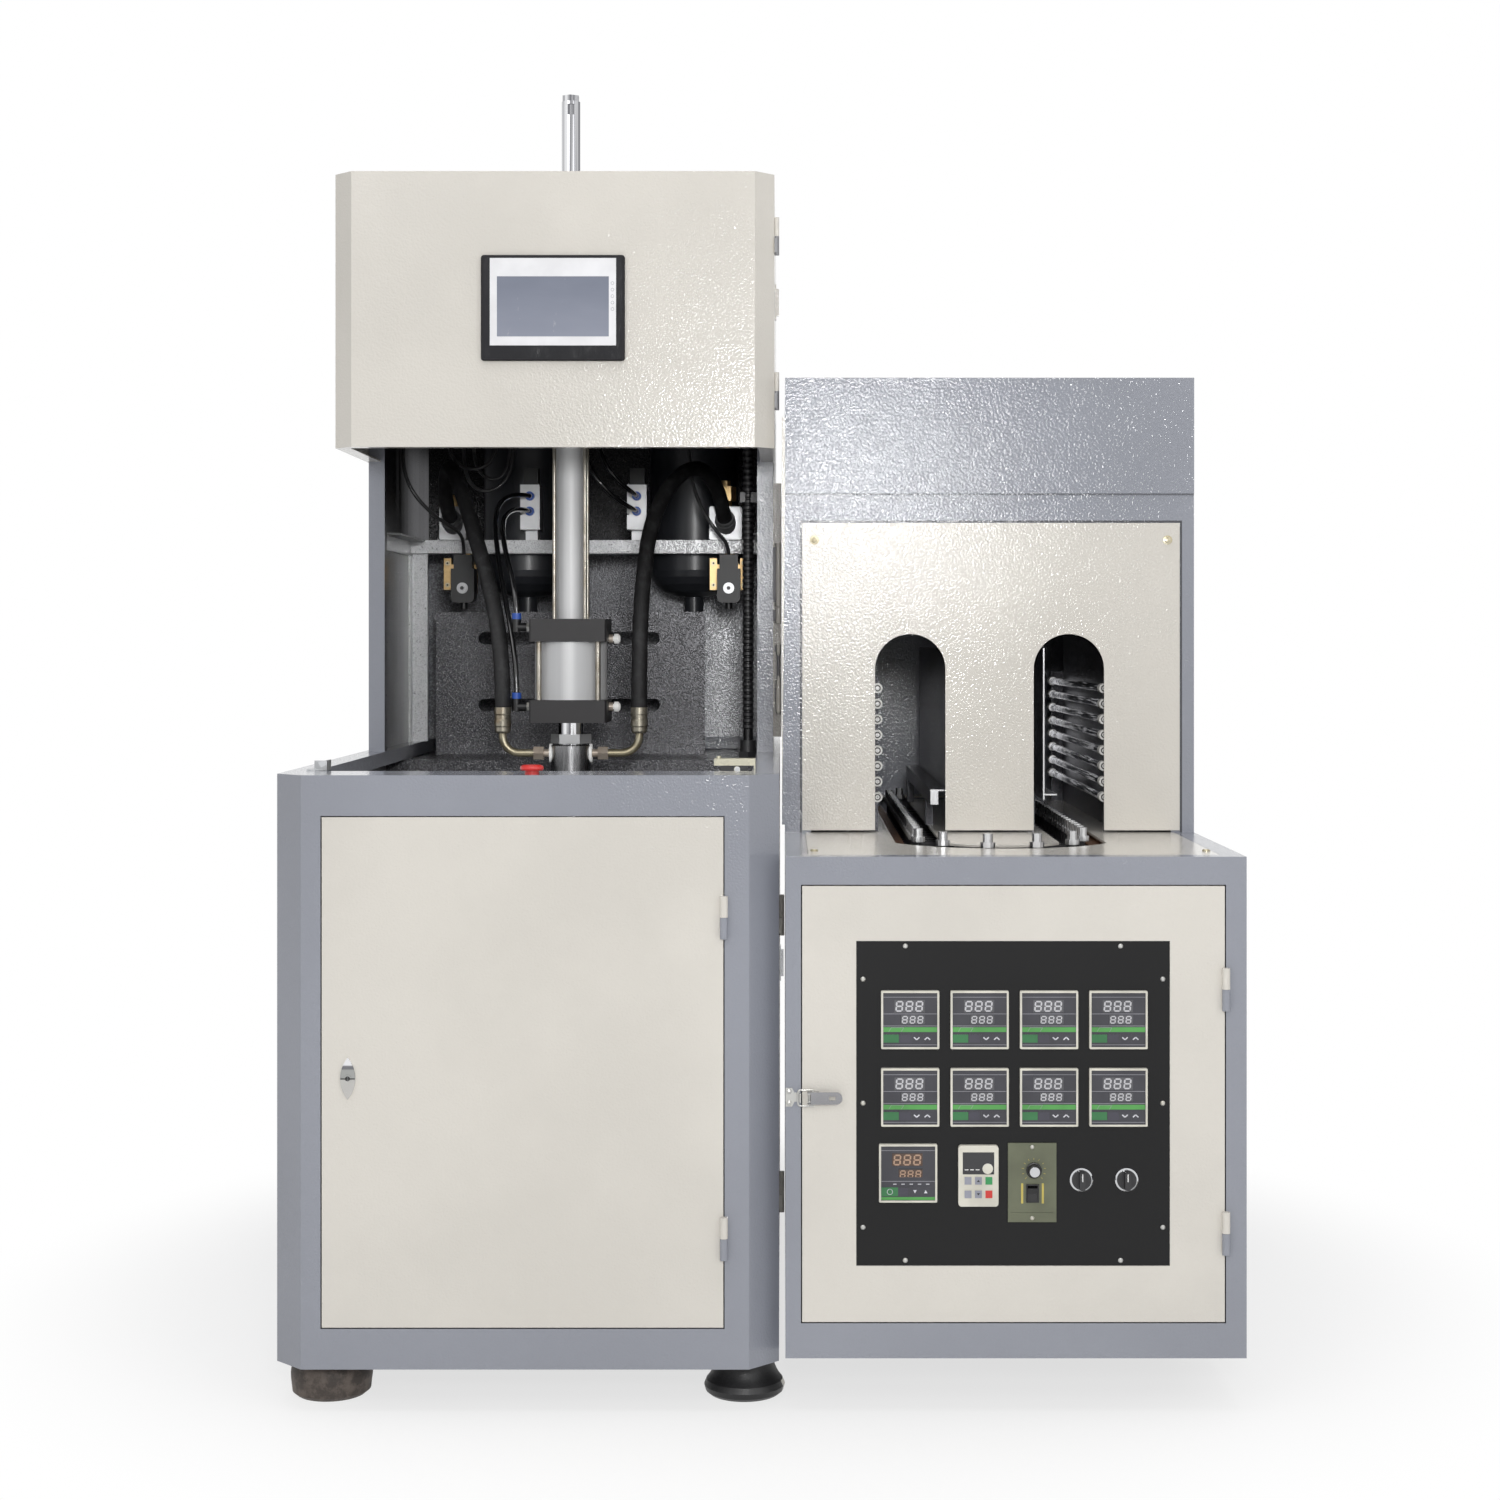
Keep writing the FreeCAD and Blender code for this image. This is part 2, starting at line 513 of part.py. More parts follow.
def touch_panel():
    face = at_depth(HEAD_FRONT)
    bezel = rounded_plate(BX, SCREEN_Z, SCREEN_W, SCREEN_H, 4, face - SCREEN_STEP, face)
    bezel = bezel.makeChamfer(1.2, [e for e in bezel.Edges
                                    if all(abs(v.Y - (face - SCREEN_STEP)) < 1e-6 for v in e.Vertexes)])
    pane = rounded_plate(BX + 1, SCREEN_Z - 1, 172, 119, 1, face - SCREEN_STEP - 1,
                         face - SCREEN_STEP + 0.6)
    body = slab(BX, SCREEN_W / 2 - 4 - FREE, HEAD_FRONT, HEAD_FRONT + 34,
                SCREEN_Z - SCREEN_H / 2 + 4 + FREE, SCREEN_Z + SCREEN_H / 2 - 4 - FREE)
    return fuse(cut(bezel, pane), body)


SHELF_DEPTH = 1020.0
SHELF_TOP = 1125.0
SHELF_H = 22.0
SHELF_W = 44.0
ARM_FRONT = 736.0
ANGLE = 28.0
DUCT_DEPTH = 960.0        # closed cable duct across the tower, above the head's lower edge
DUCT_LOW = 1285.0


def shelf_frame():
    """Cross beam that carries the valves, on an arm along each wall, and the rear left angle."""
    inner = TOWER_HALF - SHEET
    z0 = SHELF_TOP - SHELF_H
    beam = cut(slab(BX, inner, SHELF_DEPTH, SHELF_DEPTH + SHELF_W, z0, SHELF_TOP),
               slab(BX, inner + 1, SHELF_DEPTH + 2, SHELF_DEPTH + SHELF_W - 2, z0 + 2, SHELF_TOP - 2))
    arm = fuse(box(BX - inner, BX - inner + 3, at_depth(ARM_FRONT), at_depth(SHELF_DEPTH), z0 - 4,
                   SHELF_TOP),
               box(BX - inner, BX - inner + ANGLE, at_depth(ARM_FRONT), at_depth(SHELF_DEPTH),
                   SHELF_TOP - 3, SHELF_TOP))
    arm = cut(arm, prism([V(BX - inner + 3, at_depth(ARM_FRONT), SHELF_TOP - 4),
                          V(BX - inner + ANGLE + 1, at_depth(ARM_FRONT), SHELF_TOP - 4),
                          V(BX - inner + ANGLE + 1, at_depth(ARM_FRONT + 26), SHELF_TOP - 4)],
                         V(0, 0, 5)))
    duct = slab(BX, inner, DUCT_DEPTH, DUCT_DEPTH + 40, DUCT_LOW, DUCT_LOW + 40)
    duct = cut(duct, slab(BX, inner + 1, DUCT_DEPTH + 2, DUCT_DEPTH + 38, DUCT_LOW + 2,
                          DUCT_LOW + 38))
    post_y = at_depth(SHELF_DEPTH)
    post = fuse(box(BX - inner, BX - inner + 3, post_y, post_y + ANGLE, BLOWER_TOP, z0),
                box(BX - inner, BX - inner + ANGLE, post_y + ANGLE - 3, post_y + ANGLE, BLOWER_TOP, z0))
    return [beam, arm, mirror_x(arm, BX), duct, post]


# ---------------------------------------------------------------- rear deck and cylinder mount
DECK_TOP = 768.0
DECK_FRONT = 850.0
DECK_FOLD = 60.0
PLATE_DEPTH = 1050.0
PLATE_T = 8.0
PLATE_LEFT = BX - 261.0
PLATE_RIGHT = BX + 189.0
PLATE_TOP = 1006.0
SLOT_MID = BX - 38.0
SLOT_L = 304.0
SLOT_H = 21.0
SLOT_HEIGHTS = (962.0, 850.5)
CAP = 115.0                            # square end caps of the sealing cylinder
ARM_W = 50.0


def slot_cutter(mid_x, z, length, height, depth0, depth1):
    y0 = at_depth(depth0)
    y1 = at_depth(depth1)
    half = length / 2 - height / 2
    bar = box(mid_x - half, mid_x + half, y0, y1, z - height / 2, z + height / 2)
    ends = [rod(height / 2, V(mid_x + s * half, y0, z), V(mid_x + s * half, y1, z)) for s in (-1, 1)]
    return fuse(bar, *ends)


def mount_plate():
    inner = BLOWER_HALF - SHEET
    deck = fuse(slab(BX, inner, DECK_FRONT, DEPTH - SHEET, DECK_TOP - SHEET, DECK_TOP),
                slab(BX, inner, DECK_FRONT, DECK_FRONT + SHEET, DECK_TOP - DECK_FOLD,
                     DECK_TOP - SHEET))
    plate = box(PLATE_LEFT, PLATE_RIGHT, at_depth(PLATE_DEPTH), at_depth(PLATE_DEPTH + PLATE_T),
                DECK_TOP, PLATE_TOP)
    slots = [slot_cutter(SLOT_MID, z, SLOT_L, SLOT_H, PLATE_DEPTH - 1, PLATE_DEPTH + PLATE_T + 1)
             for z in SLOT_HEIGHTS]
    return deck, cut(plate, *slots)


def cylinder_bracket():
    """Two arms from the caps back to the slotted plate, tied by a web, with clamping studs."""
    front = CYL_DEPTH + CAP / 2
    arms = []
    studs = []
    for z in SLOT_HEIGHTS:
        arms.append(slab(BX, ARM_W / 2, front, PLATE_DEPTH, z - 10, z + 12))
        a = V(BX, at_depth(PLATE_DEPTH), z)
        b = V(BX, at_depth(PLATE_DEPTH + PLATE_T), z)
        studs.append(rod(8, a, b + V(0, 22, 0)))
        studs.append(hexagon(30, b, b + V(0, 13, 0)))
    web = slab(BX, 5, front + 45, PLATE_DEPTH, SLOT_HEIGHTS[1] + 12, SLOT_HEIGHTS[0] - 10)
    return fuse(arms[0], arms[1], web, *studs)


# ---------------------------------------------------------------- sealing and stretching cylinders
CAP_T = 34.0
TOP_CAP_Z = 956.0
LOW_CAP_Z = 835.0
BARREL_OUT = 54.0
BARREL_BORE = 50.0
TIE_AT = 44.0
TIE_R = 4.0
SEAL_ROD_R = 19.0
SEAL_STROKE = 45.0
SEAL_PISTON_T = 25.0
ELBOW_AT = 24.5                        # upright leg of an elbow, out from its cap
STRETCH_OUT = 23.0
STRETCH_BORE = 20.0
STRETCH_TOP = 1500.0                   # top of the stretching barrel
STRETCH_CAP_T = 25.0
STRETCH_TIE_AT = 23.0
STRETCH_TIE_R = 3.0
UPPER_ROD_R = 14.0
LOWER_ROD_R = 7.0
STRETCH_PISTON_T = 30.0
STRETCH_STROKE = 240.0
ROD_TOP = 1779.0
ROD_TIP = 752.0


def corners(at):
    return [(sx * at, sy * at) for sx in (-1, 1) for sy in (-1, 1)]


def square_cap(size, z0, z1, bore):
    cap = box(CYL.x - size / 2, CYL.x + size / 2, CYL.y - size / 2, CYL.y + size / 2, z0, z1)
    upright = [e for e in cap.Edges if abs(e.Vertexes[0].Z - e.Vertexes[-1].Z) > 1]
    cap = cap.makeChamfer(2.5, upright)
    return cut(cap, rod(bore, CYL + V(0, 0, z0 - 1), CYL + V(0, 0, z1 + 1)))


def cylinder_caps():
    low_top = LOW_CAP_Z + CAP_T
    low = square_cap(CAP, LOW_CAP_Z, low_top, SEAL_ROD_R + RUN)
    top = square_cap(CAP, TOP_CAP_Z, TOP_CAP_Z + CAP_T, LOWER_ROD_R + RUN)
    for x, y in corners(TIE_AT):
        at = CYL + V(x, y, 0)
        low = cut(low, rod(TIE_R + 0.1, at + V(0, 0, low_top - 28), at + V(0, 0, low_top + 1)))
        top = cut(top, rod(TIE_R + 0.1, at + V(0, 0, TOP_CAP_Z - 1), at + V(0, 0, TOP_CAP_Z + 28)))
    crown = square_cap(62, STRETCH_TOP, STRETCH_TOP + STRETCH_CAP_T, UPPER_ROD_R + RUN)
    for x, y in corners(STRETCH_TIE_AT):
        at = CYL + V(x, y, STRETCH_TOP)
        crown = cut(crown, rod(STRETCH_TIE_R + 0.1, at - V(0, 0, 1), at + V(0, 0, STRETCH_CAP_T + 1)))
    return low, top, crown


def cylinder_barrels():
    z0 = CYL + V(0, 0, LOW_CAP_Z + CAP_T)
    seal = pipe(BARREL_OUT, BARREL_BORE, z0, CYL + V(0, 0, TOP_CAP_Z))
    stretch = pipe(STRETCH_OUT, STRETCH_BORE, CYL + V(0, 0, TOP_CAP_Z + CAP_T),
                   CYL + V(0, 0, STRETCH_TOP))
    return seal, stretch


def cylinder_tie_rods():
    rods = []
    for x, y in corners(TIE_AT):
        rods.append(rod(TIE_R, CYL + V(x, y, LOW_CAP_Z + CAP_T - 28), CYL + V(x, y, TOP_CAP_Z + 28)))
    for x, y in corners(STRETCH_TIE_AT):
        top = CYL + V(x, y, STRETCH_TOP + STRETCH_CAP_T)
        shank = rod(STRETCH_TIE_R, CYL + V(x, y, TOP_CAP_Z + CAP_T), top + V(0, 0, 9))
        rods.append(fuse(shank, hexagon(10, top, top + V(0, 0, 6))))
    return rods


def cylinder_fittings():
    """Nipples and push-in elbows at the left, plugs at the right, of both end caps."""
    pieces = []
    face = CAP / 2
    for z in (978.0, 858.0):
        a = CYL + V(-face, 0, z)
        b = a - V(9, 0, 0)
        corner = a - V(ELBOW_AT, 0, 0)
        pieces.append(hexagon(12, a, b))
        pieces.append(fuse(rod(6.5, b, corner), rod(6.5, corner - V(0, 0, 7), corner + V(0, 0, 12))))
        pieces.append(pipe(7.0, 4.2, corner + V(0, 0, 12), corner + V(0, 0, 21)))
    for z in (960.5, 858.0):
        a = CYL + V(face, 0, z)
        plug = lathe([(0, 0), (6.5, 0), (6.5, 6), (4, 6), (4, 8), (7.5, 8), (7.5, 14), (4, 17),
                      (0, 17)], a, V(1, 0, 0))
        pieces.append(plug)
    return pieces


BLOCK_R = 30.75
BLOCK_TOP = 801.0
BLOCK_LOW = 757.0
MOULD_TOP = 700.0
NOZZLE_LOW = MOULD_TOP + SEAL_STROKE + FREE
NOZZLE_R = 19.0
BLOW_BORE = 10.0
PORT_Z = 788.0
FLAT = 28.0                            # spot face for the side fittings
FERRULE_AT = 103.0
FERRULE_LOW = 818.0
FERRULE_TOP = 857.0
FERRULE_R = 12.9
HOSE_D = 24.0
BEND_R = 26.0
PIPE_R = 6.0


def seal_rod():
    """Hollow piston rod with its piston and lock nut."""
    piston_top = TOP_CAP_Z - 2
    piston_low = piston_top - SEAL_PISTON_T
    piston = pipe(BARREL_BORE - RUN, LOWER_ROD_R + RUN, CYL + V(0, 0, piston_low),
                  CYL + V(0, 0, piston_top))
    shaft = pipe(SEAL_ROD_R, BLOW_BORE, CYL + V(0, 0, BLOCK_TOP), CYL + V(0, 0, piston_low))
    nut = hexagon(53, CYL + V(0, 0, BLOCK_TOP + 2), CYL + V(0, 0, BLOCK_TOP + 16))
    nut = cut(nut, rod(SEAL_ROD_R - 1, CYL + V(0, 0, BLOCK_TOP), CYL + V(0, 0, BLOCK_TOP + 20)))
    return fuse(piston, shaft, nut)


def blow_block():
    body = lathe([(BLOW_BORE, NOZZLE_LOW), (NOZZLE_R - 3, NOZZLE_LOW), (NOZZLE_R, NOZZLE_LOW + 4),
                  (NOZZLE_R, BLOCK_LOW), (BLOCK_R - 2, BLOCK_LOW), (BLOCK_R, BLOCK_LOW + 2),
                  (BLOCK_R, BLOCK_TOP - 1.5), (BLOCK_R - 1.5, BLOCK_TOP), (BLOW_BORE, BLOCK_TOP)], CYL)
    port = CYL + V(0, 0, PORT_Z)
    for side in (-1, 1):
        body = cut(body, rod(15, port + V(side * FLAT, 0, 0), port + V(side * 40, 0, 0)),
                   rod(4, port + V(side * 5, 0, 0), port + V(side * 40, 0, 0)))
    return body


def blow_fittings():
    """Washer, neck, union nut, bent pipe and hose ferrule at each side of the blow block."""
    port = CYL + V(0, 0, PORT_Z)
    pieces = []
    for side in (-1, 1):
        def along(x, z=0.0):
            return port + V(side * x, 0, z)
        neck = fuse(rod(14, along(FLAT), along(FLAT + 4)), rod(6, along(FLAT + 4), along(FLAT + 13)))
        nut = fuse(hexagon(19, along(FLAT + 13), along(FLAT + 16)),
                   hexagon(19, along(FLAT + 16), along(FLAT + 28)))
        turn_x = FERRULE_AT - BEND_R
        straight = rod(PIPE_R, along(FLAT + 28), along(turn_x))
        centre = along(turn_x, BEND_R)
        ring = Part.makeTorus(BEND_R, PIPE_R, centre, V(0, 1, 0))
        quarter = box(min(centre.x, centre.x + side * 60), max(centre.x, centre.x + side * 60),
                      CYL.y - 20, CYL.y + 20, centre.z - 60, centre.z)
        rise = rod(PIPE_R, along(FERRULE_AT, BEND_R), CYL + V(side * FERRULE_AT, 0, FERRULE_LOW))
        bend = fuse(straight, ring.common(quarter), rise)
        ferrule = lathe([(0, 0), (FERRULE_R - 3, 0), (FERRULE_R - 1, 3), (FERRULE_R - 1, 9),
                         (FERRULE_R, 11), (FERRULE_R, 19), (FERRULE_R - 0.8, 21),
                         (FERRULE_R - 0.8, 27), (FERRULE_R, 29),
                         (FERRULE_R, FERRULE_TOP - FERRULE_LOW), (0, FERRULE_TOP - FERRULE_LOW)],
                        CYL + V(side * FERRULE_AT, 0, FERRULE_LOW))
        pieces += [neck, nut, bend, ferrule]
    return pieces


def stretch_rod():
    """Through rod: polished upper end with flats and a nut, piston, and slim lower rod."""
    piston_top = STRETCH_TOP - 2
    piston_low = piston_top - STRETCH_PISTON_T
    upper = rod(UPPER_ROD_R, CYL + V(0, 0, piston_top), CYL + V(0, 0, ROD_TOP - 9))
    for side in (-1, 1):
        y0 = CYL.y + side * (UPPER_ROD_R - 2.5)
        y1 = CYL.y + side * (UPPER_ROD_R + 2)
        upper = cut(upper, box(CYL.x - 20, CYL.x + 20, min(y0, y1), max(y0, y1), ROD_TOP - 30,
                               ROD_TOP - 14))
    nut = hexagon(24, CYL + V(0, 0, ROD_TOP - 9), CYL + V(0, 0, ROD_TOP), 30)
    piston = rod(STRETCH_BORE - RUN, CYL + V(0, 0, piston_low), CYL + V(0, 0, piston_top))
    tip_r = LOWER_ROD_R
    lower = lathe([(0, ROD_TIP), (tip_r - 3, ROD_TIP), (tip_r, ROD_TIP + 4), (tip_r, piston_low),
                   (0, piston_low)], V(CYL.x, CYL.y, 0))
    return fuse(upper, nut, piston, lower)


# ---------------------------------------------------------------- valves, tanks and lines
BLOCK_DEPTH = 1005.0
BLOCK_Z = SHELF_TOP
LEFT_BLOCK_X = BX - 227.0
RIGHT_BLOCK_X = BX + 225.0
COIL_XS = (BX - 205.0, BX + 231.0)
COIL_TOP = 1099.0
SPOOL_XS = (BX - 97.0, BX + 79.0)
TANK_XS = (BX - 116.0, BX + 168.0)
TANK_R = 75.0
TANK_DEPTH = 1140.0
TANK_LOW = 1031.0
TANK_TOP = 1500.0
TANK_WALL = 4.0
TANK_DOME = 46.0
TANK_STUB = 25.0
TUBE_D = 8.0
CABLE_D = 6.0


def valve_blocks():
    """Two blowing blocks that take the hoses, and two upright spool valves."""
    y0 = at_depth(BLOCK_DEPTH)
    pieces = []
    for x, half in ((LEFT_BLOCK_X, 22.0), (RIGHT_BLOCK_X, 27.0)):
        block = box(x - half, x + half, y0, y0 + 44, BLOCK_Z, BLOCK_Z + 55)
        edges = [e for e in block.Edges if abs(e.Vertexes[0].Y - e.Vertexes[-1].Y) > 1]
        pieces.append(block.makeChamfer(2, edges))
    for x in SPOOL_XS:
        foot = box(x - 10, x + 10, y0 + 10, y0 + 40, SHELF_TOP, SHELF_TOP + 16)
        body = box(x - 16, x + 16, y0 - 18, y0 + 44, SHELF_TOP + 16, SHELF_TOP + 90)
        body = cut(body, box(x - 17, x - 12, y0 - 19, y0 + 45, SHELF_TOP + 40, SHELF_TOP + 43))
        stack = fuse(foot, body)
        for z in (SHELF_TOP + 46, SHELF_TOP + 71):
            a = V(x, y0 - 18, z)
            stack = fuse(stack, pipe(7.5, 4.2, a - V(0, 9, 0), a))
        pieces.append(stack)
    return pieces


def solenoid_coils():
    """Moulded coils with their plugs and nuts, hung under the shelf, and the spool valves' coils."""
    pieces = []
    for x in COIL_XS:
        y1 = at_depth(1000)
        y0 = y1 - 38
        coil = box(x - 19, x + 19, y0, y1, 1020, 1076)
        edges = [e for e in coil.Edges if abs(e.Vertexes[0].Y - e.Vertexes[-1].Y) > 1
                 and e.Vertexes[0].Z < 1021]
        coil = coil.makeFillet(9, edges)
        plug = box(x - 15, x + 15, y0 + 4, y1 - 2, 1076, COIL_TOP)
        gland = rod(6, V(x, y0 + 18, 1010), V(x, y0 + 18, 1020))
        nut = fuse(rod(9, V(x, y0 - 3, 1044), V(x, y0, 1044)), hexagon(11, V(x, y0 - 7, 1044),
                                                                       V(x, y0 - 3, 1044)))
        pieces.append(fuse(coil, plug, gland, nut))
    for x in SPOOL_XS:
        y0 = at_depth(BLOCK_DEPTH) - 4
        pieces.append(box(x - 12, x + 12, y0, y0 + 30, SHELF_TOP + 90, SHELF_TOP + 118))
    return pieces


def brass_valves():
    """Brass valve bodies behind the coils, and the brass valve over the right block."""
    pieces = []
    for x in COIL_XS:
        y0 = at_depth(1000)
        body = box(x - 15, x + 15, y0, y0 + 42, 1036, 1090)
        sides = (-26, 24) if x > BX else (-30,)
        flange = [box(x + at - 6, x + at + 6, y0 + 2, y0 + 22, 1042, 1094) for at in sides]
        bridge = box(x + sides[0] + 4, x + 18, y0 + 2, y0 + 22, 1050, 1084)
        neck = rod(9, V(x, y0 + 32, 1090), V(x, y0 + 32, SHELF_TOP - SHELF_H))
        pieces.append(fuse(body, bridge, neck, *flange))
    y0 = at_depth(BLOCK_DEPTH)
    top = BLOCK_Z + 55
    stem = V(RIGHT_BLOCK_X, y0 + 24, top)
    valve = fuse(rod(10, stem, stem + V(0, 0, 10)), hexagon(30, stem + V(0, 0, 10), stem + V(0, 0, 34)),
                 rod(8, stem + V(0, 0, 34), stem + V(0, 0, 44)))
    stub = V(LEFT_BLOCK_X, y0 + 24, top)
    pieces += [hose_collar(LEFT_BLOCK_X, -1), hose_collar(RIGHT_BLOCK_X, 1)]
    return pieces + [valve, fuse(rod(8, stub, stub + V(0, 0, 8)), hexagon(18, stub + V(0, 0, 8),
                                                                      stub + V(0, 0, 20)))]


def air_tank(x):
    """Upright receiver with domed ends, a bored drain stub and two lugs to the rear wall."""
    dome = [(0.40, 0.06), (0.68, 0.22), (0.88, 0.50), (0.97, 0.76), (1.0, 1.0)]
    outer = [(TANK_R * r, TANK_DOME * h) for r, h in dome]
    inner = [(r - TANK_WALL * r / TANK_R, h + TANK_WALL * (1 - h / TANK_DOME)) for r, h in outer]
    low = TANK_LOW
    top = TANK_TOP
    profile = [(6, low - TANK_STUB), (16, low - TANK_STUB), (16, low + 1)]
    profile += [(r, low + h) for r, h in outer] + [(r, top - h) for r, h in reversed(outer)]
    profile += [(0, top), (0, top - TANK_WALL)]
    profile += [(r, top - h) for r, h in inner] + [(r, low + h) for r, h in reversed(inner)]
    profile += [(6, low + TANK_WALL)]
    centre = V(x, at_depth(TANK_DEPTH), 0)
    lugs = [slab(x, 20, TANK_DEPTH + TANK_R - 3.5, TOWER_REAR - SHEET, z, z + 40)
            for z in (1110, 1400)]
    lugs = [cut(lug, rod(TANK_R - 1, centre, centre + V(0, 0, ROD_TOP))) for lug in lugs]
    return fuse(lathe(profile, centre), *lugs)


def hose_collar(x, side):
    """Swivel collar round the hose's end, against the block's slanting entry."""
    end = V(*hose_route(side)[-1])
    before = V(*hose_route(side)[-2])
    unit = (end - before).normalize()
    ring = fuse(pipe(15.5, HOSE_D / 2 + FREE, end - unit * 16, end + unit * 12),
                pipe(17.0, HOSE_D / 2 + FREE, end - unit * 9, end + unit * 12))
    return cut(ring, box(x - 60, x + 60, end.y, end.y + 60, end.z - 60, end.z + 60))


def flush(tube, *walls):
    """The tube trimmed by what its ends go into."""
    return max(cut(tube, *walls).Solids, key=lambda solid: solid.Volume)


def hose_solid(name, side):
    end = hose_route(side)[-1]
    start = hose_route(side)[0]
    block = box(end[0] - 60, end[0] + 60, end[1], end[1] + 60, end[2] - 60, end[2] + 60)
    ferrule = box(start[0] - 30, start[0] + 30, start[1] - 30, start[1] + 30, start[2] - 30, start[2])
    return flush(cord_tube(name, hose_route(side), HOSE_D, overrun=9.0), block, ferrule)


def air_tube_solids():
    duct = slab(BX, TOWER_HALF, DUCT_DEPTH, DUCT_DEPTH + 40, DUCT_LOW, DUCT_LOW + 40)
    face = at_depth(BLOCK_DEPTH) - 27
    spools = [box(x - 16, x + 16, face, face + 27, SHELF_TOP + 30, SHELF_TOP + 90) for x in SPOOL_XS]
    return [flush(cord_tube(name, route, TUBE_D, overrun=1.0), duct, *spools)
            for name, route in air_tube_routes().items()]


def cable_solids():
    duct = slab(BX, TOWER_HALF, DUCT_DEPTH, DUCT_DEPTH + 40, DUCT_LOW, DUCT_LOW + 40)
    plugs = [box(x - 16, x + 16, at_depth(960), at_depth(1000), 1070, COIL_TOP) for x in COIL_XS]
    return [flush(cord_tube(name, route, CABLE_D, overrun=2.0), duct, *plugs)
            for name, route in cable_routes().items()]


def ribbed_conduit(start, end, ribs, outer, inner, bore):
    """Corrugated conduit: straight, with square ends, its ribs a ruled loft of circles."""
    along = end.sub(start)
    unit = V(along).normalize()
    lead = 2 * outer
    pitch = (along.Length - 2 * lead) / ribs
    stations = [(0.0, inner)]
    for k in range(ribs):
        s = lead + k * pitch
        stations += [(s, inner), (s + pitch * 0.2, outer), (s + pitch * 0.6, outer),
                     (s + pitch * 0.8, inner)]
    stations.append((along.Length, inner))
    rings = [Part.Wire(Part.Circle(start + unit * s, unit, r).toShape()) for s, r in stations]
    skin = Part.makeLoft(rings, True, True)
    return cut(skin, rod(bore, start, end))


CONDUIT_X = BX + 264.0
CONDUIT_DEPTH = 890.0
CONDUIT_TOP = 1420.0
CONDUIT_R = 9.0
CONDUIT_RIBS = 60


def conduit():
    foot_top = DECK_TOP + 30
    base = V(CONDUIT_X, at_depth(CONDUIT_DEPTH), DECK_TOP)
    foot = cut(fuse(hexagon(30, base, base + V(0, 0, 12), 30),
                    rod(12.5, base + V(0, 0, 12), base + V(0, 0, 30))),
               rod(CONDUIT_R - 2.5, base, base + V(0, 0, 30)))
    hose = ribbed_conduit(V(base.x, base.y, foot_top), V(base.x, base.y, CONDUIT_TOP), CONDUIT_RIBS,
                          CONDUIT_R, CONDUIT_R - 1.2, CONDUIT_R - 2.5)
    clip_z = 1188.0
    wall = BX + TOWER_HALF - SHEET
    clip = cut(box(base.x - CONDUIT_R - 4, wall, base.y - 8, base.y + 8, clip_z - 8, clip_z + 8),
               rod(CONDUIT_R + 0.2, V(base.x, base.y, clip_z - 9), V(base.x, base.y, clip_z + 9)))
    return foot, hose, clip


def hose_route(side):
    """Blowing hose, from its ferrule over an arch under the head and into its block."""
    start = (CYL.x + side * FERRULE_AT, CYL.y, FERRULE_TOP)
    if side < 0:
        seen = [(-103, 652, 907), (-112, 664, 985), (-132, 694, 1058), (-158, 734, 1128),
                (-180, 778, 1186), (-202, 832, 1229), (-220, 896, 1238), (-233, 950, 1207),
                (-231, 978, 1168)]
        end = (LEFT_BLOCK_X, at_depth(BLOCK_DEPTH), BLOCK_Z + 28)
    else:
        seen = [(103, 652, 907), (104, 664, 985), (107, 694, 1058), (114, 736, 1130),
                (134, 784, 1190), (164, 838, 1229), (193, 898, 1236), (214, 950, 1205),
                (222, 978, 1168)]
        end = (RIGHT_BLOCK_X, at_depth(BLOCK_DEPTH), BLOCK_Z + 28)
    return [start] + [(BX + x, at_depth(d), z) for x, d, z in seen] + [end]


def air_tube_routes():
    """Thin lines from the two push-in elbows, up behind the left hose to the spool valves."""
    x = CYL.x - CAP / 2 - ELBOW_AT
    spool = at_depth(BLOCK_DEPTH) - 27
    left = SPOOL_XS[0]
    right = SPOOL_XS[1]
    upper = [(x, CYL.y, 999)] + [(BX + a, at_depth(d), z) for a, d, z in (
        (-84, 652, 1024), (-90, 664, 1054), (-101, 690, 1084), (-111, 730, 1112),
        (-119, 785, 1138), (-121, 845, 1158), (-114, 905, 1170), (-102, 948, 1172))] + [
        (left, spool, SHELF_TOP + 46)]
    lower = [(x, CYL.y, 879)] + [(BX + a, at_depth(d), z) for a, d, z in (
        (-83, 654, 915), (-90, 663, 960), (-99, 678, 1003), (-109, 702, 1043),
        (-120, 740, 1085), (-131, 790, 1130), (-136, 848, 1168), (-128, 908, 1190),
        (-110, 952, 1197))] + [(left, spool, SHELF_TOP + 71)]
    cross = [(right, spool, SHELF_TOP + 71)] + [(BX + a, at_depth(d), z) for a, d, z in (
        (78, 948, 1197), (66, 916, 1205), (44, 900, 1226), (28, 908, 1254), (22, 938, 1276))] + [
        (BX + 21, at_depth(DUCT_DEPTH), DUCT_LOW + 8)]
    low_cross = [(right, spool, SHELF_TOP + 46)] + [(BX + a, at_depth(d), z) for a, d, z in (
        (77, 946, 1172), (64, 910, 1178), (40, 886, 1196), (16, 882, 1224), (2, 898, 1256),
        (-4, 928, 1280))] + [(BX - 5, at_depth(DUCT_DEPTH), DUCT_LOW + 14)]
    return {"upper_tube": upper, "lower_tube": lower, "cross_tube": cross, "low_cross_tube": low_cross}


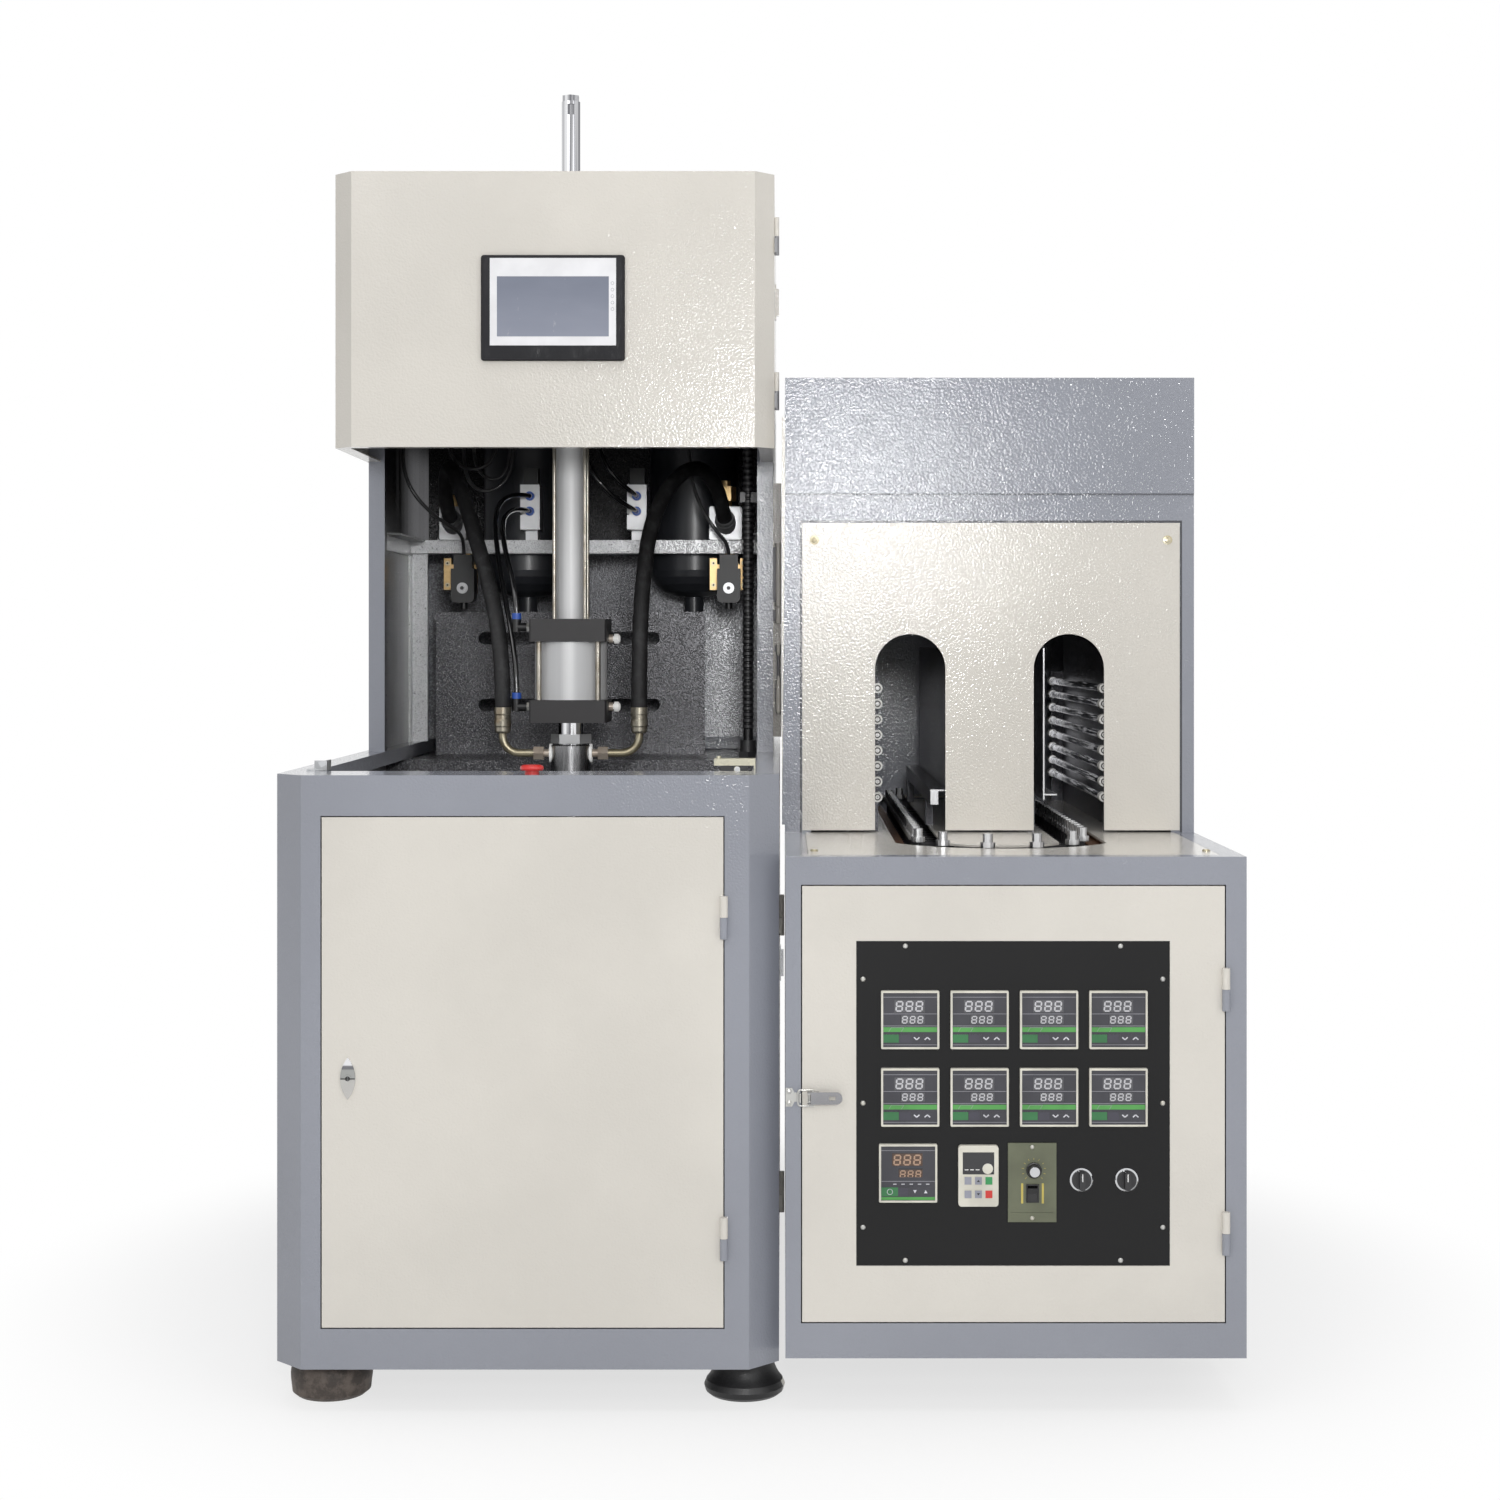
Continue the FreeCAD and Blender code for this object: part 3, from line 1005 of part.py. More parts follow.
def cable_routes():
    """Slack loops under the duct and the leads of the two hanging coils."""
    low = DUCT_LOW
    plug = at_depth(982)
    routes = {
        "first_loop": [(-205, 975, low), (-204, 973, 1245), (-193, 969, 1213), (-168, 966, 1200),
                       (-140, 968, 1212), (-124, 972, 1243), (-120, 975, low)],
        "second_loop": [(-190, 986, low), (-188, 985, 1254), (-176, 983, 1230), (-156, 982, 1221),
                        (-138, 983, 1231), (-130, 985, 1256), (-128, 986, low)],
        "third_loop": [(-228, 966, low), (-224, 958, 1262), (-208, 953, 1243), (-184, 951, 1236),
                       (-162, 954, 1245), (-150, 960, 1264), (-148, 966, low)],
        "left_lead": [(-270, DUCT_DEPTH, 1305), (-276, 915, 1303), (-282, 872, 1288),
                      (-284, 838, 1256), (-277, 820, 1218), (-262, 818, 1188), (-243, 836, 1165),
                      (-226, 872, 1149), (-213, 915, 1140), (-206, 953, 1131), (-205, 980, 1117)],
        "right_lead": [(165, 975, low), (166, 972, 1250), (172, 966, 1215), (184, 958, 1180),
                       (200, 952, 1152), (216, 956, 1131), (229, 972, 1117)]}
    placed = {name: [(BX + x, at_depth(d), z) for x, d, z in route] for name, route in routes.items()}
    placed["left_lead"].append((COIL_XS[0], plug, COIL_TOP))
    placed["right_lead"].append((COIL_XS[1], plug, COIL_TOP))
    return placed


# ---------------------------------------------------------------- mould and clamp
MOULD_HALF_W = 120.0
MOULD_T = 95.0                         # each half
MOULD_LOW = 490.0
MOULD_OPEN = 100.0                     # each half, from the middle plane
CLAMP_TRAVEL = MOULD_OPEN - FREE / 2
PLATEN_T = 30.0
PLATEN_HALF_W = 170.0
PLATEN_LOW = 430.0
FIXED_T = 30.0
FIXED_GAP = 75.0                       # open platen to fixed plate
BAR_R = 15.0
BAR_X = 145.0
BAR_ZS = (455.0, 675.0)
CLAMP_Z = 565.0
CLAMP_BORE = 80.0
CLAMP_WALL = 5.0
CLAMP_CAP = 180.0
CLAMP_CAP_T = 25.0
CLAMP_BARREL_L = min(CYL_DEPTH, DEPTH - CYL_DEPTH) - 498.0
CLAMP_ROD_R = 22.0
RAIL_H = 44.0
BODY_R = 50.0                          # bottle's body
NECK_R = 13.5
BOTTLE_LOW = ROD_TIP - STRETCH_STROKE - 5


def toward_mould(side, offset):
    """Y at an offset outwards from the mould's middle plane; side -1 is the front half."""
    return CYL.y + side * offset


def y_box(x0, x1, side, a, b, z0, z1):
    ya = toward_mould(side, a)
    yb = toward_mould(side, b)
    return box(x0, x1, min(ya, yb), max(ya, yb), z0, z1)


def mould_half(side):
    """Aluminium half mould with a turned bottle cavity, a neck ring and cooling ports."""
    inner = MOULD_OPEN
    block = y_box(BX - MOULD_HALF_W, BX + MOULD_HALF_W, side, inner, inner + MOULD_T, MOULD_LOW,
                  MOULD_TOP)
    shoulder = MOULD_TOP - 70
    cavity = lathe([(0, BOTTLE_LOW), (BODY_R - 8, BOTTLE_LOW), (BODY_R, BOTTLE_LOW + 8),
                    (BODY_R, shoulder - 60), (BODY_R - 3, shoulder - 55), (BODY_R - 3, shoulder - 48),
                    (BODY_R, shoulder - 43), (BODY_R, shoulder), (NECK_R, MOULD_TOP - 22),
                    (NECK_R, MOULD_TOP + 1), (0, MOULD_TOP + 1)],
                   V(BX, toward_mould(side, inner), 0))
    ports = [rod(5, V(BX + MOULD_HALF_W - 20, toward_mould(side, inner + 60), z),
                 V(BX + MOULD_HALF_W + 1, toward_mould(side, inner + 60), z)) for z in (540, 640)]
    return cut(block, cavity, *ports)


def moving_platen(side):
    """Platen that slides on the tie bars, with the clamp cylinder's rod and piston."""
    a = MOULD_OPEN + MOULD_T
    b = a + PLATEN_T
    plate = y_box(BX - PLATEN_HALF_W, BX + PLATEN_HALF_W, side, a, b, PLATEN_LOW, MOULD_TOP)
    for x in (-BAR_X, BAR_X):
        for z in BAR_ZS:
            plate = cut(plate, rod(BAR_R + RUN, V(BX + x, toward_mould(side, a - 1), z),
                                   V(BX + x, toward_mould(side, b + 1), z)))
    barrel_end = b + FIXED_GAP + FIXED_T + CLAMP_CAP_T + CLAMP_BARREL_L
    piston_out = barrel_end - 2
    shaft = rod(CLAMP_ROD_R, V(BX, toward_mould(side, b), CLAMP_Z),
                V(BX, toward_mould(side, piston_out - 30), CLAMP_Z))
    piston = rod(CLAMP_BORE - RUN, V(BX, toward_mould(side, piston_out - 30), CLAMP_Z),
                 V(BX, toward_mould(side, piston_out), CLAMP_Z))
    return fuse(plate, shaft, piston)


def clamp_frame():
    """Two fixed plates on rails, joined by four tie bars."""
    a = MOULD_OPEN + MOULD_T + PLATEN_T + FIXED_GAP
    b = a + FIXED_T
    rail_top = BLOWER_BOTTOM + SHEET + RAIL_H
    pieces = []
    for side in (-1, 1):
        plate = y_box(BX - 185, BX + 185, side, a, b, rail_top, 712)
        bores = [rod(BAR_R, V(BX + x, toward_mould(side, a - 1), z),
                     V(BX + x, toward_mould(side, b + 1), z)) for x in (-BAR_X, BAR_X) for z in BAR_ZS]
        shaft = rod(CLAMP_ROD_R + RUN, V(BX, toward_mould(side, a - 1), CLAMP_Z),
                    V(BX, toward_mould(side, b + 1), CLAMP_Z))
        window = y_box(BX - 110, BX + 110, side, a - 1, b + 1, rail_top + 60, 400)
        pieces.append(cut(plate, shaft, window, *bores))
    for x in (-BAR_X, BAR_X):
        for z in BAR_ZS:
            pieces.append(rod(BAR_R, V(BX + x, toward_mould(-1, b), z), V(BX + x, toward_mould(1, b), z)))
        rail = box(BX + x - 30, BX + x + 30, toward_mould(-1, b + 40), toward_mould(1, b + 40),
                   BLOWER_BOTTOM + SHEET, rail_top)
        hollow = box(BX + x - 25, BX + x + 25, toward_mould(-1, b + 41), toward_mould(1, b + 41),
                     BLOWER_BOTTOM + SHEET, rail_top - 6)
        pieces.append(cut(rail, hollow))
    return pieces


def clamp_cylinders():
    """Front and rear clamp cylinders: caps, barrel and tie rods behind each fixed plate."""
    a = MOULD_OPEN + MOULD_T + PLATEN_T + FIXED_GAP + FIXED_T
    pieces = []
    half = CLAMP_CAP / 2
    for side in (-1, 1):
        near = y_box(BX - half, BX + half, side, a, a + CLAMP_CAP_T, CLAMP_Z - half, CLAMP_Z + half)
        far_at = a + CLAMP_CAP_T + CLAMP_BARREL_L
        far = y_box(BX - half, BX + half, side, far_at, far_at + CLAMP_CAP_T, CLAMP_Z - half,
                    CLAMP_Z + half)
        near = cut(near, rod(CLAMP_ROD_R + RUN, V(BX, toward_mould(side, a - 1), CLAMP_Z),
                             V(BX, toward_mould(side, a + CLAMP_CAP_T + 1), CLAMP_Z)))
        barrel = pipe(CLAMP_BORE + CLAMP_WALL, CLAMP_BORE,
                      V(BX, toward_mould(side, a + CLAMP_CAP_T), CLAMP_Z),
                      V(BX, toward_mould(side, far_at), CLAMP_Z))
        pieces += [near, barrel, far]
        for x, z in corners(half - 15):
            pieces.append(rod(6, V(BX + x, toward_mould(side, a + CLAMP_CAP_T), CLAMP_Z + z),
                              V(BX + x, toward_mould(side, far_at), CLAMP_Z + z)))
    return pieces


# ---------------------------------------------------------------- heater: cabinet and door
HDOOR_W = 524.0
HDOOR_H = 540.7
HDOOR_MID = HX - 3.2
HDOOR_BOTTOM = 112.0
PANEL_W = 389.0
PANEL_H = 403.0
PANEL_X = HX - 3.7
PANEL_Z = 383.0
PANEL_T = 3.0
PANEL_LAP = 7.0
STRIP = 28.0                           # grey frame round the table plate
LEDGE = 12.0
HDOOR_HINGES = (525.0, 223.0)
COLUMN = 86.0                          # instrument spacing
ROW = 96.0
METER = 72.0
METER_STEP = 6.0


def heater_base():
    z1 = HEATER_TOP - SHEET
    shell = cut(slab(HX, HEATER_HALF, 0, DEPTH, HEATER_BOTTOM, HEATER_TOP),
                slab(HX, HEATER_HALF - SHEET, SHEET, DEPTH - SHEET, HEATER_BOTTOM + SHEET, z1),
                slab(HX, HEATER_HALF - STRIP, STRIP, DEPTH - STRIP, z1 - 1, HEATER_TOP + 1))
    ledge = cut(slab(HX, HEATER_HALF - STRIP + 6, STRIP - 6, DEPTH - STRIP + 6, z1 - SHEET, z1),
                slab(HX, HEATER_HALF - STRIP - LEDGE, STRIP + LEDGE, DEPTH - STRIP - LEDGE,
                     z1 - SHEET, z1))
    opening = door_opening(HDOOR_MID, HDOOR_BOTTOM, HDOOR_W, HDOOR_H, 0, FRAME_RETURN + 1)
    frame = door_opening(HDOOR_MID, HDOOR_BOTTOM, HDOOR_W, HDOOR_H, SHEET, FRAME_RETURN,
                         DOOR_GAP + SHEET)
    return cut(fuse(shell, ledge, frame), opening)


def heater_door():
    axis_x = HDOOR_MID + HDOOR_W / 2 + HINGE_SIDE
    leaf = tray(HDOOR_MID, HDOOR_BOTTOM, HDOOR_W, HDOOR_H, DOOR_DEPTH, DOOR_TURN_IN, COVER_SHEET)
    leaf = cut(leaf, slab(PANEL_X, PANEL_W / 2, -1, COVER_SHEET + 1, PANEL_Z - PANEL_H / 2,
                          PANEL_Z + PANEL_H / 2))
    halves = [hinge_halves(axis_x, z) for z in HDOOR_HINGES]
    return fuse(leaf, *[h[0] for h in halves]), [h[1] for h in halves]


METERS = [(PANEL_X + 1.3 + (k - 1.5) * COLUMN, PANEL_Z + 104.0 - row * ROW) for row in (0, 1)
          for k in range(4)]
METERS.append((PANEL_X - 130.3, PANEL_Z - 86.0))
KEYPAD_X = PANEL_X - 43.3
KEYPAD_Z = PANEL_Z - 89.0
KEYPAD_W = 49.6
KEYPAD_H = 75.6
SPEED_X = PANEL_X + 23.7
SPEED_Z = PANEL_Z - 98.0
SPEED_W = 60.0
SPEED_H = 98.0
SPEED_T = 2.5
KNOB_X = SPEED_X + 2.0
KNOB_Z = SPEED_Z + 15.5
KNOB_R = 9.7
ROCKER_X = SPEED_X + 0.3
ROCKER_Z = SPEED_Z - 13.2
ROCKER_W = 12.0
ROCKER_H = 18.5
ROCKER_CASE = 7.9
ROCKER_PIN_R = 1.0
ROCKER_FRAME = 2.0
SELECTORS = (PANEL_X + 84.7, PANEL_X + 140.7)
SELECTOR_Z = PANEL_Z - 94.5
SELECTOR_R = 15.0
SELECTOR_BORE = 12.2
PANEL_FACE = FRONT + COVER_SHEET
PANEL_BACK = PANEL_FACE + PANEL_T
ROCKER_AXIS_Y = PANEL_FACE + 2.0
ROCKER_TILT = 9.0


def instrument_panel():
    half_w = PANEL_W / 2 + PANEL_LAP
    half_h = PANEL_H / 2 + PANEL_LAP
    sheet = box(PANEL_X - half_w, PANEL_X + half_w, PANEL_FACE, PANEL_BACK, PANEL_Z - half_h,
                PANEL_Z + half_h)
    holes = [box(x - 33, x + 33, PANEL_FACE - 1, PANEL_BACK + 1, z - 33, z + 33) for x, z in METERS]
    holes.append(rod(3, V(KNOB_X, PANEL_FACE - 1, KNOB_Z), V(KNOB_X, PANEL_BACK + 1, KNOB_Z)))
    half = ROCKER_CASE + 0.1
    holes.append(box(ROCKER_X - half, ROCKER_X + half, PANEL_FACE - 1, PANEL_BACK + 1,
                     ROCKER_Z - 10.5, ROCKER_Z + 10.5))
    holes += [rod(11.2, V(x, PANEL_FACE - 1, SELECTOR_Z), V(x, PANEL_BACK + 1, SELECTOR_Z))
              for x in SELECTORS]
    return cut(sheet, *holes)


def meter(x, z):
    """Panel instrument: bezel, sunk face, two display windows and its case behind the panel."""
    front = PANEL_FACE - METER_STEP
    bezel = rounded_plate(x, z, METER, METER, 1.5, front, PANEL_FACE)
    face = box(x - 33.5, x + 33.5, front - 1, front + 1.2, z - 33.5, z + 33.5)
    big = box(x - 20, x + 18, front, front + 2.2, z + 9, z + 25)
    small = box(x - 12, x + 18, front, front + 2.2, z - 5, z + 6)
    case = box(x - 32.8, x + 32.8, PANEL_FACE, PANEL_FACE + 64, z - 32.8, z + 32.8)
    keys = [box(x + k - 7, x + k + 7, front + 0.7, front + 1.2, z - 28.5, z - 17)
            for k in (-22.5, -6, 9, 23.5)]
    return fuse(cut(bezel, face, big, small), case, *keys)


def inverter_keypad():
    front = PANEL_FACE - 7
    plate = rounded_plate(KEYPAD_X, KEYPAD_Z, KEYPAD_W, KEYPAD_H, 4, front, PANEL_FACE)
    screen = box(KEYPAD_X - 19.5, KEYPAD_X + 19.5, front - 1, front + 1, KEYPAD_Z + 2,
                 KEYPAD_Z + 29.5)
    dial = rod(6.3, V(KEYPAD_X + 11.5, front - 0.5, KEYPAD_Z + 9), V(KEYPAD_X + 11.5, front + 1,
                                                                KEYPAD_Z + 9))
    keys = [rounded_plate(KEYPAD_X + dx, KEYPAD_Z + dz, 9.6, 10.5, 1.5, front - 1.2, front)
            for dx in (-13, -0.2, 12.8) for dz in (-5.5, -22.3)]
    return fuse(cut(plate, screen), dial, *keys)


def speed_plate():
    front = PANEL_FACE - SPEED_T
    plate = box(SPEED_X - SPEED_W / 2, SPEED_X + SPEED_W / 2, front, PANEL_FACE,
                SPEED_Z - SPEED_H / 2, SPEED_Z + SPEED_H / 2)
    groove = box(SPEED_X - 26, SPEED_X + 26, front - 1, front + 0.6, SPEED_Z - 37.6, SPEED_Z - 36.6)
    rim_w = ROCKER_W / 2 + ROCKER_FRAME
    rim_h = ROCKER_H / 2 + ROCKER_FRAME
    rim = box(ROCKER_X - rim_w, ROCKER_X + rim_w, front - 2, front, ROCKER_Z - rim_h, ROCKER_Z + rim_h)
    well = box(ROCKER_X - ROCKER_W / 2 - FREE, ROCKER_X + ROCKER_W / 2 + FREE, front - 3,
               PANEL_FACE + 1, ROCKER_Z - ROCKER_H / 2 - FREE, ROCKER_Z + ROCKER_H / 2 + FREE)
    hole = rod(3, V(KNOB_X, front - 1, KNOB_Z), V(KNOB_X, PANEL_FACE + 1, KNOB_Z))
    case = cut(box(ROCKER_X - ROCKER_CASE, ROCKER_X + ROCKER_CASE, PANEL_FACE, PANEL_BACK + 16,
                   ROCKER_Z - 10.4, ROCKER_Z + 10.4),
               box(ROCKER_X - ROCKER_W / 2 - FREE, ROCKER_X + ROCKER_W / 2 + FREE, PANEL_FACE - 1,
                   PANEL_BACK + 14, ROCKER_Z - ROCKER_H / 2 - FREE, ROCKER_Z + ROCKER_H / 2 + FREE),
               rod(ROCKER_PIN_R + RUN, V(ROCKER_X - 7, ROCKER_AXIS_Y, ROCKER_Z),
                   V(ROCKER_X + 7, ROCKER_AXIS_Y, ROCKER_Z)))
    return fuse(cut(fuse(plate, rim), groove, well, hole), case)


def rocker_switch():
    """Rocker key, at rest with its lower end pressed."""
    front = PANEL_FACE - SPEED_T - 2
    w = ROCKER_W / 2
    h = ROCKER_H / 2 - 1.0
    points = [V(ROCKER_X - w, front - 1.6, ROCKER_Z - h), V(ROCKER_X - w, front + 0.2, ROCKER_Z),
              V(ROCKER_X - w, front - 1.6, ROCKER_Z + h), V(ROCKER_X - w, front + 3, ROCKER_Z + h),
              V(ROCKER_X - w, front + 8, ROCKER_Z), V(ROCKER_X - w, front + 3, ROCKER_Z - h)]
    key = prism(points, V(ROCKER_W, 0, 0))
    key.rotate(V(ROCKER_X, ROCKER_AXIS_Y, ROCKER_Z), V(1, 0, 0), ROCKER_TILT)
    pin = rod(ROCKER_PIN_R, V(ROCKER_X - 6.9, ROCKER_AXIS_Y, ROCKER_Z),
              V(ROCKER_X + 6.9, ROCKER_AXIS_Y, ROCKER_Z))
    return fuse(key, pin)


def speed_knob():
    front = PANEL_FACE - SPEED_T
    body = lathe([(0, 0), (KNOB_R, 0), (KNOB_R, 2.5), (KNOB_R - 1.4, 3), (KNOB_R - 2, 11),
                  (KNOB_R - 3, 12), (6.2, 12), (6.2, 12.6), (0, 12.6)],
                 V(KNOB_X, front - FREE, KNOB_Z), V(0, -1, 0))
    mark = box(KNOB_X - 0.5, KNOB_X + 0.5, front - 16, front - FREE - 11, KNOB_Z + 4, KNOB_Z + 9)
    shaft = rod(3 - RUN, V(KNOB_X, front - FREE, KNOB_Z), V(KNOB_X, PANEL_BACK + 8, KNOB_Z))
    return fuse(cut(body, mark), shaft)


def selector_knob(x):
    """Handle of a 22 mm selector: a disc with a raised bar, on a stem through the panel."""
    front = PANEL_FACE - 4
    disc = rod(SELECTOR_BORE - RUN, V(x, front - 2, SELECTOR_Z), V(x, PANEL_FACE - FREE, SELECTOR_Z))
    bar = box(x - 3.6, x + 3.6, front - 12, front - 2, SELECTOR_Z - 11, SELECTOR_Z + 11)
    upright = [e for e in bar.Edges if abs(e.Vertexes[0].Y - e.Vertexes[-1].Y) > 1]
    bar = bar.makeFillet(2.5, upright)
    mark = box(x - 0.6, x + 0.6, front - 13, front - 11.4, SELECTOR_Z, SELECTOR_Z + 10)
    stem = rod(8, V(x, PANEL_FACE - FREE, SELECTOR_Z), V(x, PANEL_BACK + 20, SELECTOR_Z))
    return fuse(disc, cut(bar, mark), stem)


PANEL_SCREWS = [(-133.5, 195), (133.5, 195), (-186, 154), (186, 154), (-186, 0), (186, 0),
                (-186, -154), (186, -154), (-133.5, -195), (133.5, -195)]


def screw_head(x, z, face, radius=3.2, height=2.2):
    return lathe([(0, 0), (radius, 0), (radius - 0.3, height * 0.5), (radius * 0.55, height),
                  (0, height)], V(x, face, z), V(0, -1, 0))


def panel_trim():
    pieces = [screw_head(PANEL_X + x, PANEL_Z + z, PANEL_FACE) for x, z in PANEL_SCREWS]
    for x in SELECTORS:
        pieces.append(lathe([(SELECTOR_BORE, 0), (SELECTOR_R, 0), (SELECTOR_R - 0.6, 3),
                             (SELECTOR_BORE + 0.8, 4.2), (SELECTOR_BORE, 4.2)],
                            V(x, PANEL_FACE, SELECTOR_Z), V(0, -1, 0)))
    plate_face = PANEL_FACE - SPEED_T
    for z in (SPEED_Z - 44, SPEED_Z + 44):
        pieces.append(screw_head(SPEED_X, z, plate_face, 2.7, 1.8))
    return pieces


# ---------------------------------------------------------------- toggle latch on the heater's door
LATCH_Z = 391.0
LEVER_PIVOT = V(HX - 256.0, FRONT - 5.0, LATCH_Z)
BAIL_PIVOT = V(HX - 252.0, FRONT - 6.5, LATCH_Z)
LEVER_L = 41.0
LEVER_H = 15.0
BAIL_H = 22.0
BAIL_REACH = 18.5
WIRE_R = 1.1
CATCH_X = HX - HEATER_HALF + 0.3
CATCH_EDGE = 1.5
CATCH_PLAY = 1.0                       # between the wire and the catch's edge
CATCH_END = BAIL_PIVOT.x - BAIL_REACH + WIRE_R + CATCH_PLAY + CATCH_EDGE
CATCH_HALF = 5.5


def latch_bracket():
    """Catch plate on the frame: two rivets and an upturned edge that holds the wire."""
    wide = CATCH_X + 8
    narrow = CATCH_X + 11
    plate = prism([V(CATCH_X, FRONT, LATCH_Z - 11.5), V(wide, FRONT, LATCH_Z - 11.5),
                   V(narrow, FRONT, LATCH_Z - CATCH_HALF), V(CATCH_END, FRONT, LATCH_Z - CATCH_HALF),
                   V(CATCH_END, FRONT, LATCH_Z + CATCH_HALF), V(narrow, FRONT, LATCH_Z + CATCH_HALF),
                   V(wide, FRONT, LATCH_Z + 11.5), V(CATCH_X, FRONT, LATCH_Z + 11.5)],
                  V(0, -1.5, 0))
    edge = box(CATCH_END - CATCH_EDGE, CATCH_END, FRONT - 8.5, FRONT - 1.5, LATCH_Z - CATCH_HALF,
               LATCH_Z + CATCH_HALF)
    rivets = [lathe([(0, 0), (3.2, 0), (2.6, 1.1), (0, 1.6)],
                    V(CATCH_X + 4, FRONT - 1.5, LATCH_Z + z), V(0, -1, 0)) for z in (-7, 7)]
    return fuse(plate, edge, *rivets)


def latch_base():
    """Plate with two ears, riveted to the door, that carries the lever."""
    foot = box(LEVER_PIVOT.x - 2.6, LEVER_PIVOT.x + 24, FRONT - 1.2, FRONT, LATCH_Z - 5.7,
               LATCH_Z + 5.7)
    ears = [box(LEVER_PIVOT.x - 2.6, LEVER_PIVOT.x + 2.6, FRONT - 7.4, FRONT - 1.2,
                LATCH_Z + s * 4.9 - 0.8, LATCH_Z + s * 4.9 + 0.8) for s in (-1, 1)]
    reach = LEVER_H / 2 + 0.4
    pin = rod(1.5, LEVER_PIVOT - V(0, 0, reach), LEVER_PIVOT + V(0, 0, reach))
    return fuse(foot, *ears, pin)


def latch_lever():
    """Channel lever with a rounded end, its cheeks on the base's pin."""
    x0 = LEVER_PIVOT.x - 2.6
    x1 = LEVER_PIVOT.x + LEVER_L
    top_y = FRONT - 10.0
    plate = box(x0 + 4, x1 - 8, top_y, top_y + 1.2, LATCH_Z - LEVER_H / 2, LATCH_Z + LEVER_H / 2)
    end = rod(LEVER_H / 2, V(x1 - 8, top_y, LATCH_Z), V(x1 - 8, top_y + 1.2, LATCH_Z))
    slot = box(x1 - 17, x1 - 9, top_y - 1, top_y + 2, LATCH_Z - 2.5, LATCH_Z + 2.5)
    cheeks = []
    for s in (-1, 1):
        z = LATCH_Z + s * (LEVER_H / 2 - 0.6)
        cheek = box(x0, x0 + 14, top_y, FRONT - 2.2, z - 0.6, z + 0.6)
        hole = rod(1.5 + RUN, LEVER_PIVOT - V(0, 0, 20), LEVER_PIVOT + V(0, 0, 20))
        wire = rod(WIRE_R + 0.1, BAIL_PIVOT - V(0, 0, 20), BAIL_PIVOT + V(0, 0, 20))
        cheeks.append(cut(cheek, hole, wire))
    return fuse(cut(fuse(plate, end), slot), *cheeks)


def latch_bail():
    """Wire loop: hooked in the lever's cheeks, round the upturned edge of the catch."""
    x0 = BAIL_PIVOT.x - BAIL_REACH
    y = BAIL_PIVOT.y
    h = BAIL_H / 2 - WIRE_R
    r = 3.5
    tip = LEVER_H / 2 - 1.6
    low = [V(BAIL_PIVOT.x, y, LATCH_Z - tip), V(BAIL_PIVOT.x, y, LATCH_Z - h),
           V(x0, y, LATCH_Z - h), V(x0, y, LATCH_Z + h), V(BAIL_PIVOT.x, y, LATCH_Z + h),
           V(BAIL_PIVOT.x, y, LATCH_Z + tip)]
    bars = [rod(WIRE_R, low[0], low[1]), rod(WIRE_R, low[4], low[5]),
            rod(WIRE_R, low[1], low[2] + V(r, 0, 0)), rod(WIRE_R, low[3] + V(r, 0, 0), low[4]),
            rod(WIRE_R, low[2] + V(0, 0, r), low[3] - V(0, 0, r))]
    joints = [Part.makeSphere(WIRE_R, low[1]), Part.makeSphere(WIRE_R, low[4])]
    bends = []
    for s, corner in ((-1, low[2]), (1, low[3])):
        centre = corner + V(r, 0, -s * r)
        ring = Part.makeTorus(r, WIRE_R, centre, V(0, 1, 0))
        z0 = centre.z if s > 0 else centre.z - 2 * r
        bends.append(ring.common(box(centre.x - 2 * r, centre.x, y - 3, y + 3, z0, z0 + 2 * r)))
    return fuse(bars[0], *bars[1:], *joints, *bends)


# ---------------------------------------------------------------- heater: table, chain and oven
SPINDLE_R = 111.0                      # round which the spindles turn
CHAIN_R = 54.0
TURN_DEPTH = 239.0                     # centre of the front turn
CHAIN_PHASE = 0.7                      # of a link
LINK = 31.75
CHAIN_ROOM = 230.0                     # behind the centre of the rear turn
LINKS = 2 * int((DEPTH - TURN_DEPTH - CHAIN_ROOM + math.pi * CHAIN_R) / LINK)
LANE_L = (LINKS * LINK - 2 * math.pi * CHAIN_R) / 2
REAR_TURN = TURN_DEPTH + LANE_L
MOUTH_HALF = 140.0
MOUTH_FRONT = 119.0
MOUTH_R = 155.0
INNER_HALF = 78.0
INNER_FRONT = 167.0
INNER_R = 87.0
SPINDLE_TOP = 707.5
FLANGE_R = 9.5
POST_R = 6.4
HOOD_FRONT = 385.0
HOOD_REAR = DEPTH - 60.0
HOOD_TOP = 1325.0
FASCIA_LOW = 1163.0                    # the hood's upper front stands proud from here up
FASCIA_STEP = 2.0
COVER_FRONT = 385.0                    # beige cover on the hood's left side
COVER_LOW = 700.0
COVER_TOP = 1270.0
COVER_T = 4.5
OVEN_FACE_W = 528.0
OVEN_FACE_X = HX + 2.0
OVEN_FACE_TOP = 1122.0
ARCH_W = 98.5
ARCH_TOP = 966.5
LAMP_X = {-1: 156.0, 1: 163.0}         # lamp banks from the heater's middle, left and right
LAMP_LOW = 737.0
LAMP_PITCH = 21.9
LAMPS = 8
LAMP_FRONT = 405.0
LAMP_REAR = DEPTH - 225.0
LAMP_R = 5.5
LAMP_END_R = 7.0
LAMP_END_L = 22.0
BED_Z = 636.0
BED_T = 6.0
CHAIN_Z = 656.0
LINK_H = 10.0
LINK_T = 9.0
STRIP_T = 3.0                          # the chain's side plates under the links
ARM_Z = CHAIN_Z + LINK_H
ARM_T = 4.0


